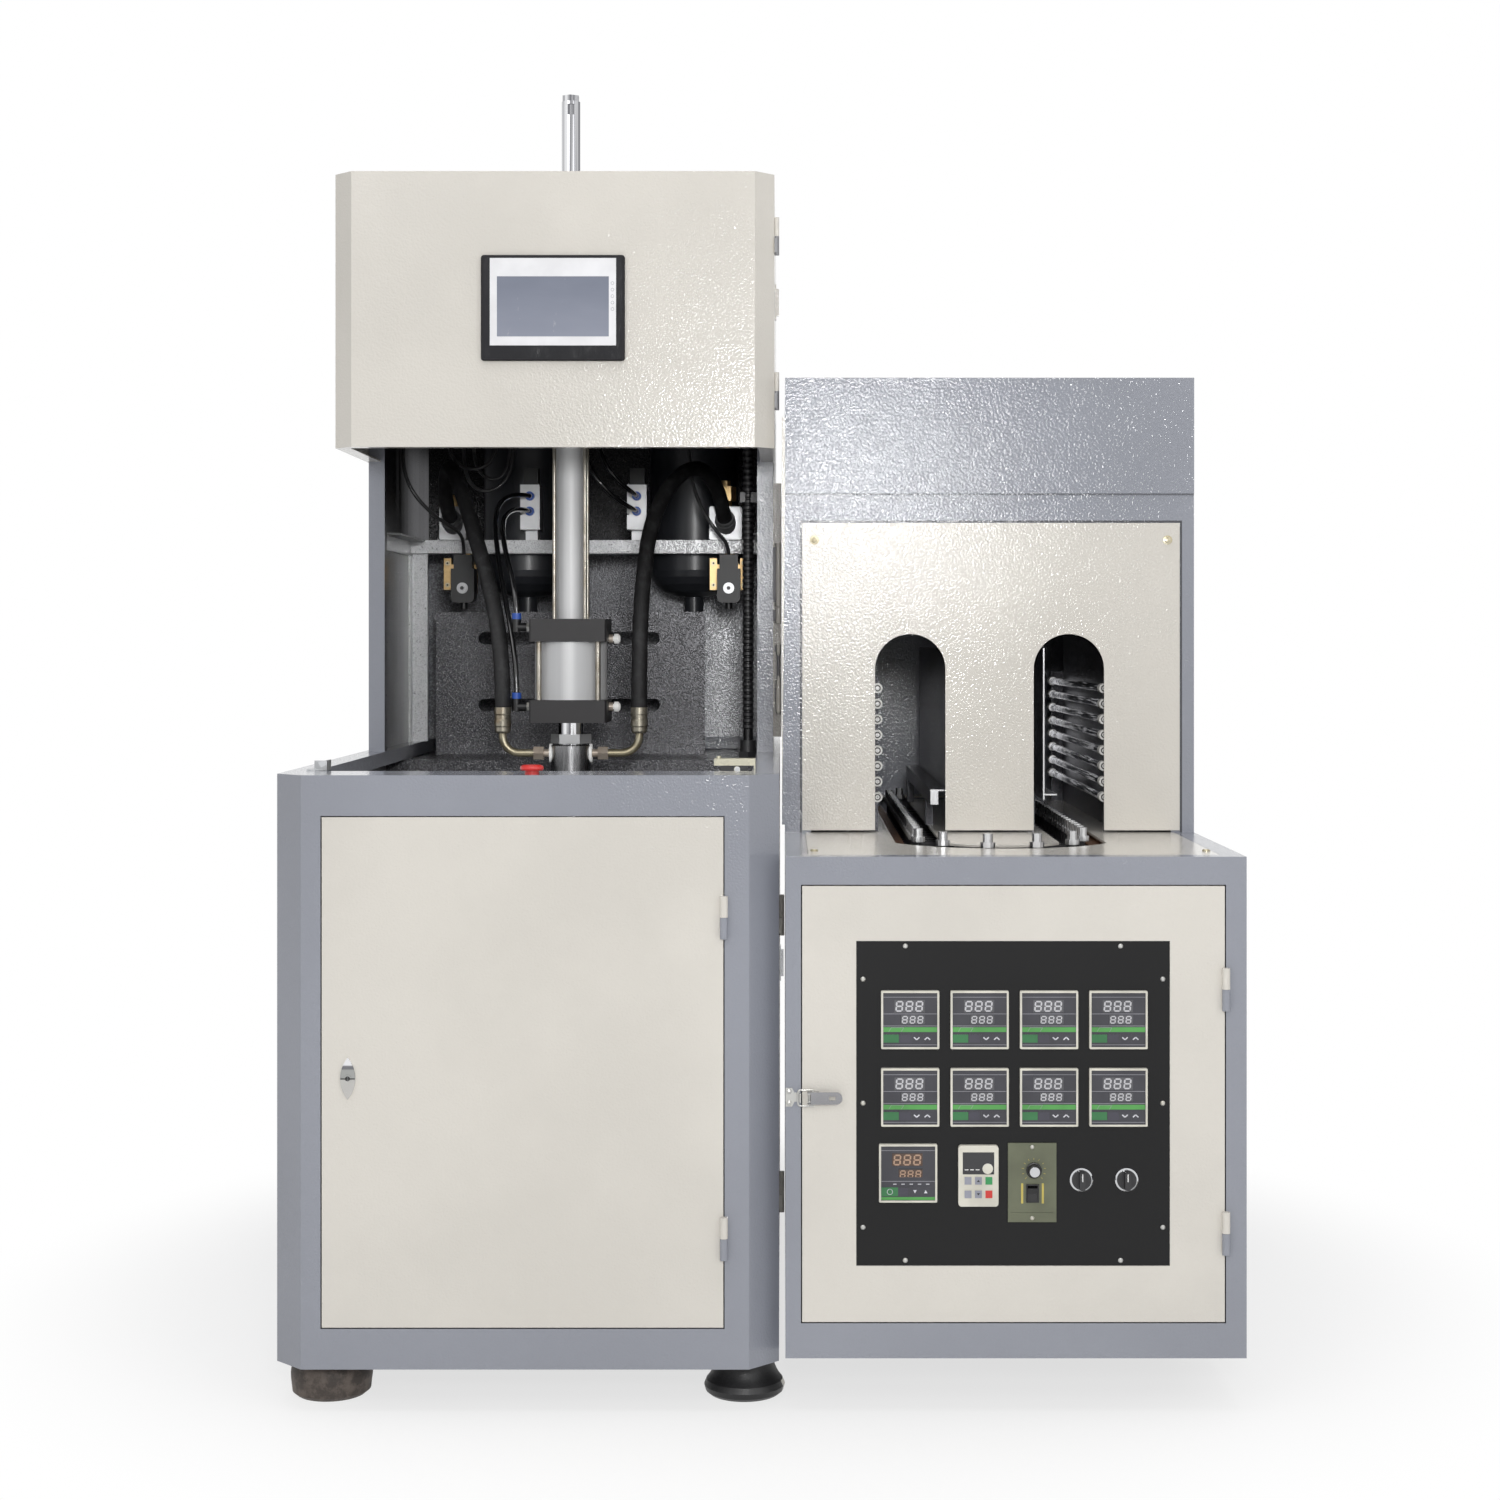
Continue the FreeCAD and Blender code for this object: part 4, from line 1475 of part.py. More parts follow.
def mouth_outline(half, arc_front, arc_r, rear, z):
    """A plate or opening with straight sides and an arc across its front."""
    centre = arc_front + arc_r
    drop = centre - math.sqrt(arc_r ** 2 - half ** 2)
    a = V(HX - half, at_depth(drop), z)
    m = V(HX, at_depth(arc_front), z)
    b = V(HX + half, at_depth(drop), z)
    c = V(HX + half, at_depth(rear), z)
    d = V(HX - half, at_depth(rear), z)
    return Part.Face(Part.Wire([Part.Arc(a, m, b).toShape()] + Part.makePolygon([b, c, d, a]).Edges))


def heater_table():
    """Beige table plate with its opening, and the island plate on legs inside the chain."""
    z0 = HEATER_TOP - SHEET
    plate = slab(HX, HEATER_HALF - STRIP - 0.5, STRIP + 0.5, DEPTH - STRIP - 0.5, z0, HEATER_TOP)
    mouth = mouth_outline(MOUTH_HALF, MOUTH_FRONT, MOUTH_R, REAR_TURN + MOUTH_HALF, z0 - 1)
    plate = cut(plate, mouth.extrude(V(0, 0, SHEET + 2)))
    clear = SPINDLE_R - FLANGE_R - 1
    rear = REAR_TURN + math.sqrt(clear ** 2 - INNER_HALF ** 2)
    island = mouth_outline(INNER_HALF, INNER_FRONT, INNER_R, rear, z0).extrude(V(0, 0, SHEET))
    legs = [rod(9, V(HX, at_depth(d), BED_Z + BED_T), V(HX, at_depth(d), z0))
            for d in (TURN_DEPTH + 160, (TURN_DEPTH + REAR_TURN) / 2, REAR_TURN - 160)]
    return plate, fuse(island, *legs)


def on_loop(step):
    """Centre, tangent angle and outward direction of a chain link, counted round the loop."""
    s = step * LINK
    arc = math.pi * CHAIN_R
    if s < LANE_L:
        return HX - CHAIN_R, TURN_DEPTH + s, V(-1, 0, 0)
    s -= LANE_L
    if s < arc:
        angle = math.pi - s / CHAIN_R
        out = V(math.cos(angle), math.sin(angle), 0)
        return HX + CHAIN_R * out.x, REAR_TURN + CHAIN_R * out.y, out
    s -= arc
    if s < LANE_L:
        return HX + CHAIN_R, REAR_TURN - s, V(1, 0, 0)
    angle = -(s - LANE_L) / CHAIN_R
    out = V(math.cos(angle), math.sin(angle), 0)
    return HX + CHAIN_R * out.x, TURN_DEPTH + CHAIN_R * out.y, out


def spindle_chain():
    """Links round both turns, each with an outrigger arm and a preform spindle."""
    pieces = []
    reach = SPINDLE_R - CHAIN_R
    for k in range(LINKS):
        x, depth, out = on_loop(k + CHAIN_PHASE)
        link = box(-LINK_T / 2, LINK_T / 2, -LINK / 2 + 2, LINK / 2 - 2, CHAIN_Z, CHAIN_Z + LINK_H)
        arm = box(-LINK_T / 2, reach, -6, 6, ARM_Z, ARM_Z + ARM_T)
        z = ARM_Z + ARM_T
        seat = HEATER_TOP + 0.5
        spindle = [polygon_bar(4, 8, V(reach, 0, z), V(reach, 0, seat)),
                   polygon_bar(FLANGE_R, 12, V(reach, 0, seat), V(reach, 0, seat + 7)),
                   polygon_bar(POST_R, 12, V(reach, 0, seat + 7), V(reach, 0, SPINDLE_TOP))]
        arm_end = polygon_bar(7, 8, V(reach, 0, ARM_Z), V(reach, 0, z))
        whole = fuse(link, arm, arm_end, *spindle)
        angle = math.degrees(math.atan2(out.y, out.x))
        whole.rotate(V(0, 0, 0), V(0, 0, 1), angle)
        pieces.append(whole.translate(V(x, at_depth(depth), 0)))
    return pieces


def chain_ring(z0, z1):
    """A band under the pitch line of the whole loop."""
    rings = []
    for r in (CHAIN_R + 5, CHAIN_R - 5):
        front = V(HX, at_depth(TURN_DEPTH), z0)
        rear = V(HX, at_depth(REAR_TURN), z0)
        lane = box(HX - r, HX + r, front.y, rear.y, z0, z1)
        up = V(0, 0, z1 - z0)
        rings.append(fuse(lane, rod(r, front, front + up), rod(r, rear, rear + up)))
    return cut(rings[0], rings[1])


SPROCKET_TEETH = 10
SPROCKET_TIP = CHAIN_R - LINK_T / 2 - 1.0
SHAFT_R = 12.0


def sprocket(depth):
    """Toothed wheel on its shaft, inside one turn of the chain."""
    centre = V(HX, at_depth(depth), CHAIN_Z + 1)
    root = SPROCKET_TIP - 8
    points = []
    for k in range(SPROCKET_TEETH):
        base = 2 * math.pi * k / SPROCKET_TEETH
        for part, r in ((0.0, root), (0.22, root), (0.38, SPROCKET_TIP), (0.62, SPROCKET_TIP),
                        (0.78, root)):
            a = base + 2 * math.pi * part / SPROCKET_TEETH
            points.append(centre + V(r * math.cos(a), r * math.sin(a), 0))
    wheel = prism(points, V(0, 0, LINK_H - 2))
    shaft = rod(SHAFT_R, V(HX, centre.y, BED_Z - 30), V(HX, centre.y, CHAIN_Z + LINK_H + 6))
    hub = rod(22, V(HX, centre.y, BED_Z + BED_T + 4), centre)
    return fuse(wheel, hub, shaft)


def chain_bed():
    """Bed plate under the chain, with a bearing for each sprocket, and the geared motor."""
    bed = slab(HX, HEATER_HALF - SHEET, 60, DEPTH - 60, BED_Z, BED_Z + BED_T)
    bores = [rod(SHAFT_R + RUN, V(HX, at_depth(d), BED_Z - 40), V(HX, at_depth(d), BED_Z + BED_T + 4))
             for d in (TURN_DEPTH, REAR_TURN)]
    bearings = [rod(30, V(HX, at_depth(d), BED_Z - 22), V(HX, at_depth(d), BED_Z))
                for d in (TURN_DEPTH, REAR_TURN)]
    rail = chain_ring(BED_Z + BED_T, CHAIN_Z - STRIP_T)
    bed = cut(fuse(bed, rail, *bearings), *bores)
    y = at_depth(REAR_TURN)
    gearbox = cut(box(HX - 45, HX + 45, y - 45, y + 45, BED_Z - 102, BED_Z - 22),
                  rod(SHAFT_R + RUN, V(HX, y, BED_Z - 40), V(HX, y, BED_Z)))
    motor = rod(42, V(HX, y, BED_Z - 252), V(HX, y, BED_Z - 102))
    fan_cowl = rod(44, V(HX, y, BED_Z - 290), V(HX, y, BED_Z - 252))
    return bed, fuse(gearbox, motor, fan_cowl)


def heater_hood():
    """Oven hood: folded shell, open below, with a flanged opening for the front panel."""
    t = COVER_SHEET
    hood = cut(slab(HX, HEATER_HALF, HOOD_FRONT, HOOD_REAR, HEATER_TOP, HOOD_TOP),
               slab(HX, HEATER_HALF - t, HOOD_FRONT + t, HOOD_REAR - t, HEATER_TOP, HOOD_TOP - t))
    half = OVEN_FACE_W / 2
    mouth = slab(OVEN_FACE_X, half + 0.7, HOOD_FRONT - 1, HOOD_FRONT + t, HEATER_TOP,
                 OVEN_FACE_TOP + 0.7)
    lap = cut(slab(OVEN_FACE_X, half + 3, HOOD_FRONT + t, HOOD_FRONT + 2 * t, HEATER_TOP,
                   OVEN_FACE_TOP + 8),
              slab(OVEN_FACE_X, half - 12, HOOD_FRONT + t, HOOD_FRONT + 2 * t, HEATER_TOP,
                   OVEN_FACE_TOP - 14))
    fascia = slab(HX, HEATER_HALF, HOOD_FRONT - FASCIA_STEP, HOOD_FRONT, FASCIA_LOW, HOOD_TOP)
    left = HX - HEATER_HALF
    cover = cut(box(left - COVER_T, left, at_depth(COVER_FRONT), at_depth(HOOD_REAR), COVER_LOW,
                    COVER_TOP),
                box(left - COVER_T + t, left, at_depth(COVER_FRONT) + t, at_depth(HOOD_REAR) - t,
                    COVER_LOW + t, COVER_TOP - t))
    return fuse(cut(hood, mouth), lap, fascia, cover)


def arch(mid_x, depth0, depth1):
    r = ARCH_W / 2
    spring = ARCH_TOP - r
    y0 = at_depth(depth0)
    leg = box(mid_x - r, mid_x + r, y0, at_depth(depth1), HEATER_TOP, spring)
    return fuse(leg, rod(r, V(mid_x, y0, spring), V(mid_x, at_depth(depth1), spring)))


def hood_front_panel():
    t = COVER_SHEET
    panel = slab(OVEN_FACE_X, OVEN_FACE_W / 2, HOOD_FRONT, HOOD_FRONT + t, HEATER_TOP + 3,
                 OVEN_FACE_TOP)
    arches = [arch(HX + s * SPINDLE_R, HOOD_FRONT - 1, HOOD_FRONT + t + 1) for s in (-1, 1)]
    face = at_depth(HOOD_FRONT)
    screws = [lathe([(0, 0), (6.5, 0), (6.5, 1), (4, 1.2), (3.6, 3), (0, 3.6)],
                    V(OVEN_FACE_X + s * 247, face, OVEN_FACE_TOP - 24), V(0, -1, 0)) for s in (-1, 1)]
    return fuse(cut(panel, *arches), *screws)


def lamp_places():
    return [(HX + s * LAMP_X[s], LAMP_LOW + k * LAMP_PITCH) for s in (-1, 1) for k in range(LAMPS)]


def lamps():
    """Infrared tubes with ceramic ends, in two banks beside the lanes."""
    pieces = []
    for x, z in lamp_places():
        a = V(x, at_depth(LAMP_FRONT), z)
        b = V(x, at_depth(LAMP_REAR), z)
        end = V(0, LAMP_END_L, 0)
        pieces.append(fuse(rod(LAMP_END_R, a, a + end), rod(LAMP_R, a + end, b - end),
                           rod(LAMP_END_R, b - end, b)))
    return pieces


LAMP_STRIP = (-1.0, 19.0)              # from the lamps' axis outward
WALL_TOP = 947.0
LEFT_RAIL = ((-81.4, -70.6, 726.6, 746.0), (-81.4, -57.0, 745.6, 747.7), (-59.0, -57.0, 745.6, WALL_TOP))
RIGHT_RAIL = ((77.0, 79.0, 733.5, WALL_TOP), (78.5, 96.5, 739.6, 741.6))


def lamp_racks():
    """Per side: two lamp strips with open seats, the outer reflector, the inner one on its rail."""
    pieces = []
    low = HEATER_TOP
    top = LAMP_LOW + (LAMPS - 1) * LAMP_PITCH + 16
    for s in (-1, 1):
        x = HX + s * LAMP_X[s]
        ends = [x + s * side for side in LAMP_STRIP]
        for depth in (LAMP_FRONT + 6, LAMP_REAR - 8):
            strip = box(min(ends), max(ends), at_depth(depth), at_depth(depth + 2), low, top)
            seats = [rod(LAMP_END_R + 0.1, V(x, at_depth(depth - 1), LAMP_LOW + k * LAMP_PITCH),
                         V(x, at_depth(depth + 3), LAMP_LOW + k * LAMP_PITCH)) for k in range(LAMPS)]
            pieces.append(cut(strip, *seats))
        outer = slab(x + s * 20, 1, LAMP_FRONT + 10, LAMP_REAR - 10, low, top + 60)
        pieces.append(outer)
    for rail in (LEFT_RAIL, RIGHT_RAIL):
        run = [box(HX + x0, HX + x1, at_depth(LAMP_FRONT), at_depth(LAMP_REAR), z0, z1)
               for x0, x1, z0, z1 in rail]
        x0, x1 = (-81.4, -70.6) if rail is LEFT_RAIL else (68.0, 78.0)
        stands = [box(HX + x0, HX + x1, at_depth(d), at_depth(d + 20), low, rail[0][2] + 4)
                  for d in (LAMP_FRONT + 120, LAMP_REAR - 40)]
        pieces.append(fuse(*run, *stands))
    return pieces


def lane_guides():
    """Brown wear strips along the outer edges of both lanes, under the table plate."""
    pieces = []
    z0 = HEATER_TOP - SHEET - 8
    for s in (-1, 1):
        a = HX + s * 124
        b = HX + s * 150
        strip = box(min(a, b), max(a, b), at_depth(TURN_DEPTH + 10), at_depth(REAR_TURN), z0, z0 + 3)
        rib = box(min(HX + s * 144, b), max(HX + s * 144, b), at_depth(TURN_DEPTH + 10),
                  at_depth(REAR_TURN), z0 + 3, HEATER_TOP - SHEET)
        pieces.append(fuse(strip, rib))
    return pieces


# ---------------------------------------------------------------- write the sub-parts
door, door_barrels, escutcheon, lock_cam = blower_door_parts()
heater_leaf, heater_barrels = heater_door()
bridge, switch_body, guide_tab = limit_switch()
deck, plate = mount_plate()
bed, motor = chain_bed()
table, island = heater_table()

save("blower_base", blower_base())
save("machine_feet", *machine_feet())
save("blower_door", door)
save("hinge_barrels", *door_barrels, *heater_barrels)
save("lock_escutcheon", escutcheon)
save("lock_cam", lock_cam)
save("red_button", red_button())
save("limit_switch", bridge, switch_body, guide_tab)
save("mount_plate", deck, plate, cylinder_bracket())
save("tower_shell", tower_shell())
save("head_shell", head_shell())
save("side_doors", *side_doors())
save("touch_panel", touch_panel())
save("shelf_frame", *shelf_frame())
save("air_tanks", *[air_tank(x) for x in TANK_XS])
save("cylinder_caps", *cylinder_caps())
save("cylinder_barrels", *cylinder_barrels())
save("cylinder_tie_rods", *cylinder_tie_rods())
save("cylinder_fittings", *cylinder_fittings())
save("seal_rod", seal_rod())
save("blow_block", blow_block())
save("blow_fittings", *blow_fittings())
save("stretch_rod", stretch_rod())
save("valve_blocks", *valve_blocks())
save("solenoid_coils", *solenoid_coils())
save("brass_valves", *brass_valves())
save("hose_left", hose_solid("hose_left", -1))
save("hose_right", hose_solid("hose_right", 1))
save("air_tubes", *air_tube_solids())
save("cables", *cable_solids())
save("conduit", *conduit())
save("clamp_frame", *clamp_frame())
save("clamp_cylinders", *clamp_cylinders())
save("front_platen", moving_platen(-1))
save("rear_platen", moving_platen(1))
save("front_mould", mould_half(-1))
save("rear_mould", mould_half(1))
save("heater_base", heater_base())
save("heater_door", heater_leaf)
save("instrument_panel", instrument_panel())
save("controllers", *[meter(x, z) for x, z in METERS])
save("inverter_keypad", inverter_keypad())
save("speed_plate", speed_plate())
save("speed_knob", speed_knob())
save("rocker_switch", rocker_switch())
save("left_selector", selector_knob(SELECTORS[0]))
save("right_selector", selector_knob(SELECTORS[1]))
save("door_trim", *panel_trim(), latch_base())
save("latch_bracket", latch_bracket())
save("latch_lever", latch_lever())
save("latch_bail", latch_bail())
save("heater_table", table, island)
save("heater_hood", heater_hood())
save("hood_front_panel", hood_front_panel())
save("lamps", *lamps())
save("lamp_racks", *lamp_racks(), *lane_guides())
save("spindle_chain", *spindle_chain(), chain_ring(CHAIN_Z - STRIP_T, CHAIN_Z))
save("front_sprocket", sprocket(TURN_DEPTH))
save("rear_sprocket", sprocket(REAR_TURN))
save("chain_bed", bed, motor)
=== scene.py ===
"""Looks of the blow moulding machine: camera, light, finishes, cords and printed details. Metres."""

import math
import bmesh
import bpy
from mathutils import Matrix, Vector


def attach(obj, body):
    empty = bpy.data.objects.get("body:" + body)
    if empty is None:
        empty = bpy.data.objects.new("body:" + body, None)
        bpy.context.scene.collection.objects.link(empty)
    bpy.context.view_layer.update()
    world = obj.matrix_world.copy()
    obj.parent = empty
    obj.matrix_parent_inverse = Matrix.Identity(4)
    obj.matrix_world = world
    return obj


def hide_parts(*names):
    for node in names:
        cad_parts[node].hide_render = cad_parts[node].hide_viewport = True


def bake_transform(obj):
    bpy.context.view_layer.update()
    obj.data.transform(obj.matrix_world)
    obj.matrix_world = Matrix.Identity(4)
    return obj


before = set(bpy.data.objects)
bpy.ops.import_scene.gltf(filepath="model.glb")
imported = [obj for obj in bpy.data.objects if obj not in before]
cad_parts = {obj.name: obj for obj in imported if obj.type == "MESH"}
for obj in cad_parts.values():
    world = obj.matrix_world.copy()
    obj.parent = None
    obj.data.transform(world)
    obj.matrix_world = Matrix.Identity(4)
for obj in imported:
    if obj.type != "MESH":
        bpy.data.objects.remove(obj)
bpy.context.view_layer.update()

# ---------------------------------------- places, the same values as the part's
MM = 0.001
DEPTH, PROUD, BLOWER_W, HEATER_W, GAP = 1300.0, 14.0, 630.0, 572.0, 8.0
CORNER = 37.0
LEFT = -(BLOWER_W + GAP + HEATER_W) / 2
BX = LEFT + BLOWER_W / 2
HX = LEFT + BLOWER_W + GAP + HEATER_W / 2
FRONT = (PROUD - DEPTH) / 2
PANEL_X, PANEL_Z = HX - 3.7, 383.0
PANEL_FACE = FRONT + 2.0
FRAME_BODY = "machine_frame"


def at_depth(depth):
    return FRONT + depth


def metres(point):
    return Vector(point) * MM


def add_object(name, data):
    obj = bpy.data.objects.new(name, data)
    bpy.context.scene.collection.objects.link(obj)
    return obj


def add_mesh(name, verts, faces):
    """A mesh object from points in metres."""
    mesh = bpy.data.meshes.new(name)
    mesh.from_pydata([tuple(v) for v in verts], [], faces)
    return add_object(name, mesh)


# ---------------------------------------- camera
CAMERA_AWAY = 3000.0          # from the front plane
CAMERA_Z = 954.0
CAMERA_X = 30.0
PIXEL_MM = 1.24               # of the front plane
FRAME_PX = 1500.0
SENSOR = 36.0
VANISH = (783.0, 643.0)


def make_camera():
    data = bpy.data.cameras.new("camera")
    camera = add_object("camera", data)
    camera.location = metres((CAMERA_X, FRONT - CAMERA_AWAY, CAMERA_Z))
    camera.rotation_euler = (math.pi / 2, 0, 0)
    data.sensor_width = SENSOR
    data.lens = CAMERA_AWAY / PIXEL_MM / FRAME_PX * SENSOR
    data.shift_x = -(VANISH[0] - FRAME_PX / 2) / FRAME_PX
    data.shift_y = -(FRAME_PX / 2 - VANISH[1]) / FRAME_PX
    bpy.context.scene.camera = camera


make_camera()


# ---------------------------------------- shader expressions
def operator(operation):
    """A method of Wave that adds this node of Math."""
    def apply(self, other):
        return self.work(operation, self, other)
    return apply


class Wave:
    """A number that changes over a surface: a socket that Python arithmetic works on."""

    def __init__(self, paint, socket):
        self.paint = paint
        self.socket = socket

    def work(self, operation, *values):
        return self.paint.node("ShaderNodeMath", {"operation": operation}, dict(enumerate(values)))

    __add__ = __radd__ = operator("ADD")
    __sub__ = operator("SUBTRACT")
    __mul__ = operator("MULTIPLY")
    __pow__ = operator("POWER")
    __lt__ = operator("LESS_THAN")
    __gt__ = operator("GREATER_THAN")
    least = operator("MINIMUM")
    most = operator("MAXIMUM")

    def __rsub__(self, other):
        return self.work("SUBTRACT", other, self)

    def size(self):
        return self.work("ABSOLUTE", self)

    def rise(self, low, high):
        """0 below low, 1 above high, smooth between."""
        return self.paint.node("ShaderNodeMapRange", {"interpolation_type": "SMOOTHSTEP"},
                               {"Value": self, "From Min": low, "From Max": high})

    def within(self, low, high):
        return (self > low) * (self < high)


class Paint:
    """A procedural finish on a Principled shader, measured in metres of the row frame."""

    def __init__(self, name, color=(0.5, 0.5, 0.5), rough=0.5, metal=0.0, coat=0.0, **fixed):
        self.material = bpy.data.materials.new(name)
        self.material.use_nodes = True
        self.tree = self.material.node_tree
        self.shader = self.tree.nodes["Principled BSDF"]
        self.set("Base Color", color)
        self.set("Roughness", rough)
        self.set("Metallic", metal)
        self.set("Coat Weight", coat)
        for socket, value in fixed.items():
            self.set(socket.replace("_", " "), value)
        place = self.tree.nodes.new("ShaderNodeTexCoord").outputs["Object"]
        self.place = place
        self.x, self.y, self.z = [Wave(self, part) for part in
                                  self.node("ShaderNodeSeparateXYZ", {}, {0: place}, None)]

    def set(self, socket, value):
        """Gives a socket, or the shader's input of that name, a value or a link."""
        target = self.shader.inputs[socket] if isinstance(socket, str) else socket
        if isinstance(value, Wave):
            value = value.socket
        if isinstance(value, bpy.types.NodeSocket):
            self.tree.links.new(value, target)
        elif target.type == "RGBA" and len(value) == 3:
            target.default_value = (*value, 1.0)
        else:
            target.default_value = value

    def node(self, kind, settings, values, out=0):
        """Adds a node: its settings first, then the values or links of its sockets.

        Gives one output, as a Wave where it is a number, or all of them where out is None.
        """
        node = self.tree.nodes.new(kind)
        for key, value in settings.items():
            setattr(node, key, value)
        for key, value in values.items():
            self.set(node.inputs[key], value)
        if out is None:
            return list(node.outputs)
        socket = node.outputs[out]
        return Wave(self, socket) if socket.type == "VALUE" else socket

    def noise(self, scale, detail=2.0, rough=0.5, stretch=None):
        """Cloudy noise, about 0.5 on average; scale is in blobs per metre."""
        where = self.place
        if stretch:
            where = self.node("ShaderNodeVectorMath", {"operation": "MULTIPLY"},
                              {0: where, 1: stretch})
        return self.node("ShaderNodeTexNoise", {}, {"Vector": where, "Scale": scale, "Detail": detail,
                                                    "Roughness": rough})

    def cells(self, scale, out="Distance"):
        return self.node("ShaderNodeTexVoronoi", {}, {"Vector": self.place, "Scale": scale}, out)

    def blend(self, factor, first, second):
        """The first colour where factor is 0, the second where it is 1."""
        return self.node("ShaderNodeMix", {"data_type": "RGBA"}, {0: factor, 6: first, 7: second}, 2)

    def color(self, value):
        self.set("Base Color", value)

    def rough(self, value):
        self.set("Roughness", value)

    def glow(self, color, strength):
        self.set("Emission Color", color)
        self.set("Emission Strength", strength)

    def bump(self, height, distance):
        """A relief of height 0..1 and that many metres deep."""
        self.set("Normal", self.node("ShaderNodeBump", {}, {"Height": height, "Distance": distance,
                                                            "Strength": 1.0}))


def reach(across, up):
    return (across * across + up * up) ** 0.5


# ---------------------------------------- finishes
BEIGE = (0.685, 0.655, 0.600)
GREY = (0.290, 0.303, 0.345)
GREY_COAT = (0.05, 0.00046, 325, 0.4, 0.05, 0.46)     # rough, peel, scale, specks, gloss, shine
BEIGE_COAT = (0.05, 0.00044, 325, 0.8, 0.04, 0.44)
NO_LIGHT = (0.0, 0.0, 0.0)
OVEN_X, OVEN_HALF, OVEN_TOP = HX + 2.0, 264.0, 1122.0
OVEN_FACE = 386.0                                     # depth, in front of which the hood gets its painted shade lines
# heights of the painted shadow line under the fascia's edge, in mm
FASCIA_SHADOW = (1160.6, 1163.2)
LOCK_X, LOCK_Z = BX - 219.5, 414.0
CONDUIT_X, CONDUIT_Y = -26.0, 247.0


def powder_coat(name, color, rough=0.33, peel=0.00010, scale=260, specks=0.0, gloss=0.3, shine=0.5):
    paint = Paint(name, color, rough, coat=gloss, Coat_Roughness=0.24, Specular_IOR_Level=shine)
    cloud = paint.noise(3.1, 4)
    fine = paint.noise(900, 1)
    dark = [c * 0.95 for c in color]
    light = [min(1.0, c * 1.03) for c in color]
    shade = paint.blend(cloud.rise(0.35, 0.65), dark, light)
    if specks:
        spot = paint.cells(95).rise(0.0, 0.055)
        seldom = paint.noise(11, 2).rise(0.62, 0.66)
        shade = paint.blend((1 - spot) * seldom * specks, shade, [c * 0.45 for c in color])
    paint.shade = shade
    paint.color(shade)
    paint.rough(rough + fine * 0.06 + cloud * 0.04)
    paint.bump(paint.noise(scale, 1.5, 0.5) + fine * 0.06, peel)
    return paint


def hood_coat():
    """The hood's paint, with painted shade in the seam round its front panel and a painted shadow line
    under the fascia's edge.
    """
    paint = powder_coat("hood_coat", GREY, *GREY_COAT)
    side = (paint.x - OVEN_X * MM).size() - OVEN_HALF * MM
    away = side.most(paint.z - OVEN_TOP * MM)
    # painted shade in the seam round the front panel, and a painted shadow under the fascia
    seam = away.within(-0.001, 0.0034)
    line = paint.z.within(FASCIA_SHADOW[0] * MM, FASCIA_SHADOW[1] * MM)
    front = paint.y < at_depth(OVEN_FACE) * MM
    dark = (seam * 0.85).most(line * 0.55) * front
    paint.color(paint.blend(dark, paint.shade, (0.035, 0.035, 0.04)))
    return paint


def lock_plate():
    """Chromed cam lock: a painted reflection of the room in bands across its dished plate, and the
    dark keyhole.
    """
    paint = Paint("lock_plate", (0.5, 0.5, 0.5), 0.22, 0.25)
    up = paint.z - LOCK_Z * MM
    # painted reflection: light and dark bands of the room across the plate
    middle = paint.blend(up.rise(0.0105, 0.0125), (0.36, 0.365, 0.355), (0.17, 0.17, 0.185))
    upper = paint.blend(up.rise(0.0150, 0.0175), middle, (0.80, 0.80, 0.82))
    halves = paint.blend(up > 0.0, (0.52, 0.51, 0.49), upper)
    away = reach(paint.x - LOCK_X * MM, up)
    line = up.within(-0.0012, 0.0008) * (away < 0.0090)
    hole = 1 - away.rise(0.0028, 0.0034)
    paint.color(paint.blend((line * 0.8).most(hole), halves, (0.012, 0.012, 0.012)))
    paint.rough(0.20 + paint.noise(300, 2) * 0.10)
    return paint


def hammertone(name, color, light, rough=0.30, flake=0.35, scale=430, shine=0.9):
    """Hammered enamel: small dimples in a dark paint with metal flake."""
    paint = Paint(name, color, rough, flake, 0.15, Coat_Roughness=0.25, Specular_IOR_Level=shine)
    cell = paint.cells(scale)
    cloud = paint.noise(scale * 0.6, 3, 0.6)
    fleck = (cell * 0.7 + cloud * 0.8).rise(0.45, 0.95)
    wide = paint.noise(7, 3)
    paint.color(paint.blend(fleck * 0.5 + (wide - 0.5) * 0.3 + 0.1, color, light))
    paint.rough(rough + cloud * 0.10)
    paint.bump(cell.rise(0.05, 0.75) + cloud * 0.5, 0.00022)
    paint.fleck = fleck
    return paint


def bay_enamel():
    """The tower's inside, with painted light and shade: nearly black in the painted shade under the
    head, lighter low on the right with painted light.
    """
    paint = hammertone("hammered_bay", (0.05, 0.05, 0.054), (0.15, 0.152, 0.16), 0.22, 0.4, shine=0.25)
    # painted light low on the right
    lit = paint.x.rise(-0.17, -0.08) * (1 - paint.z.rise(0.98, 1.05))
    shade = paint.blend(lit, (0.075, 0.076, 0.083), (0.30, 0.303, 0.316))
    flake = paint.blend(lit, (0.27, 0.273, 0.288), (0.58, 0.585, 0.60))
    near = paint.blend(paint.fleck * 0.45, shade, flake)
    # painted shade under the head, above the shelf
    paint.color(paint.blend(paint.z.rise(1.085, 1.125), near, (0.007, 0.007, 0.008)))
    return paint


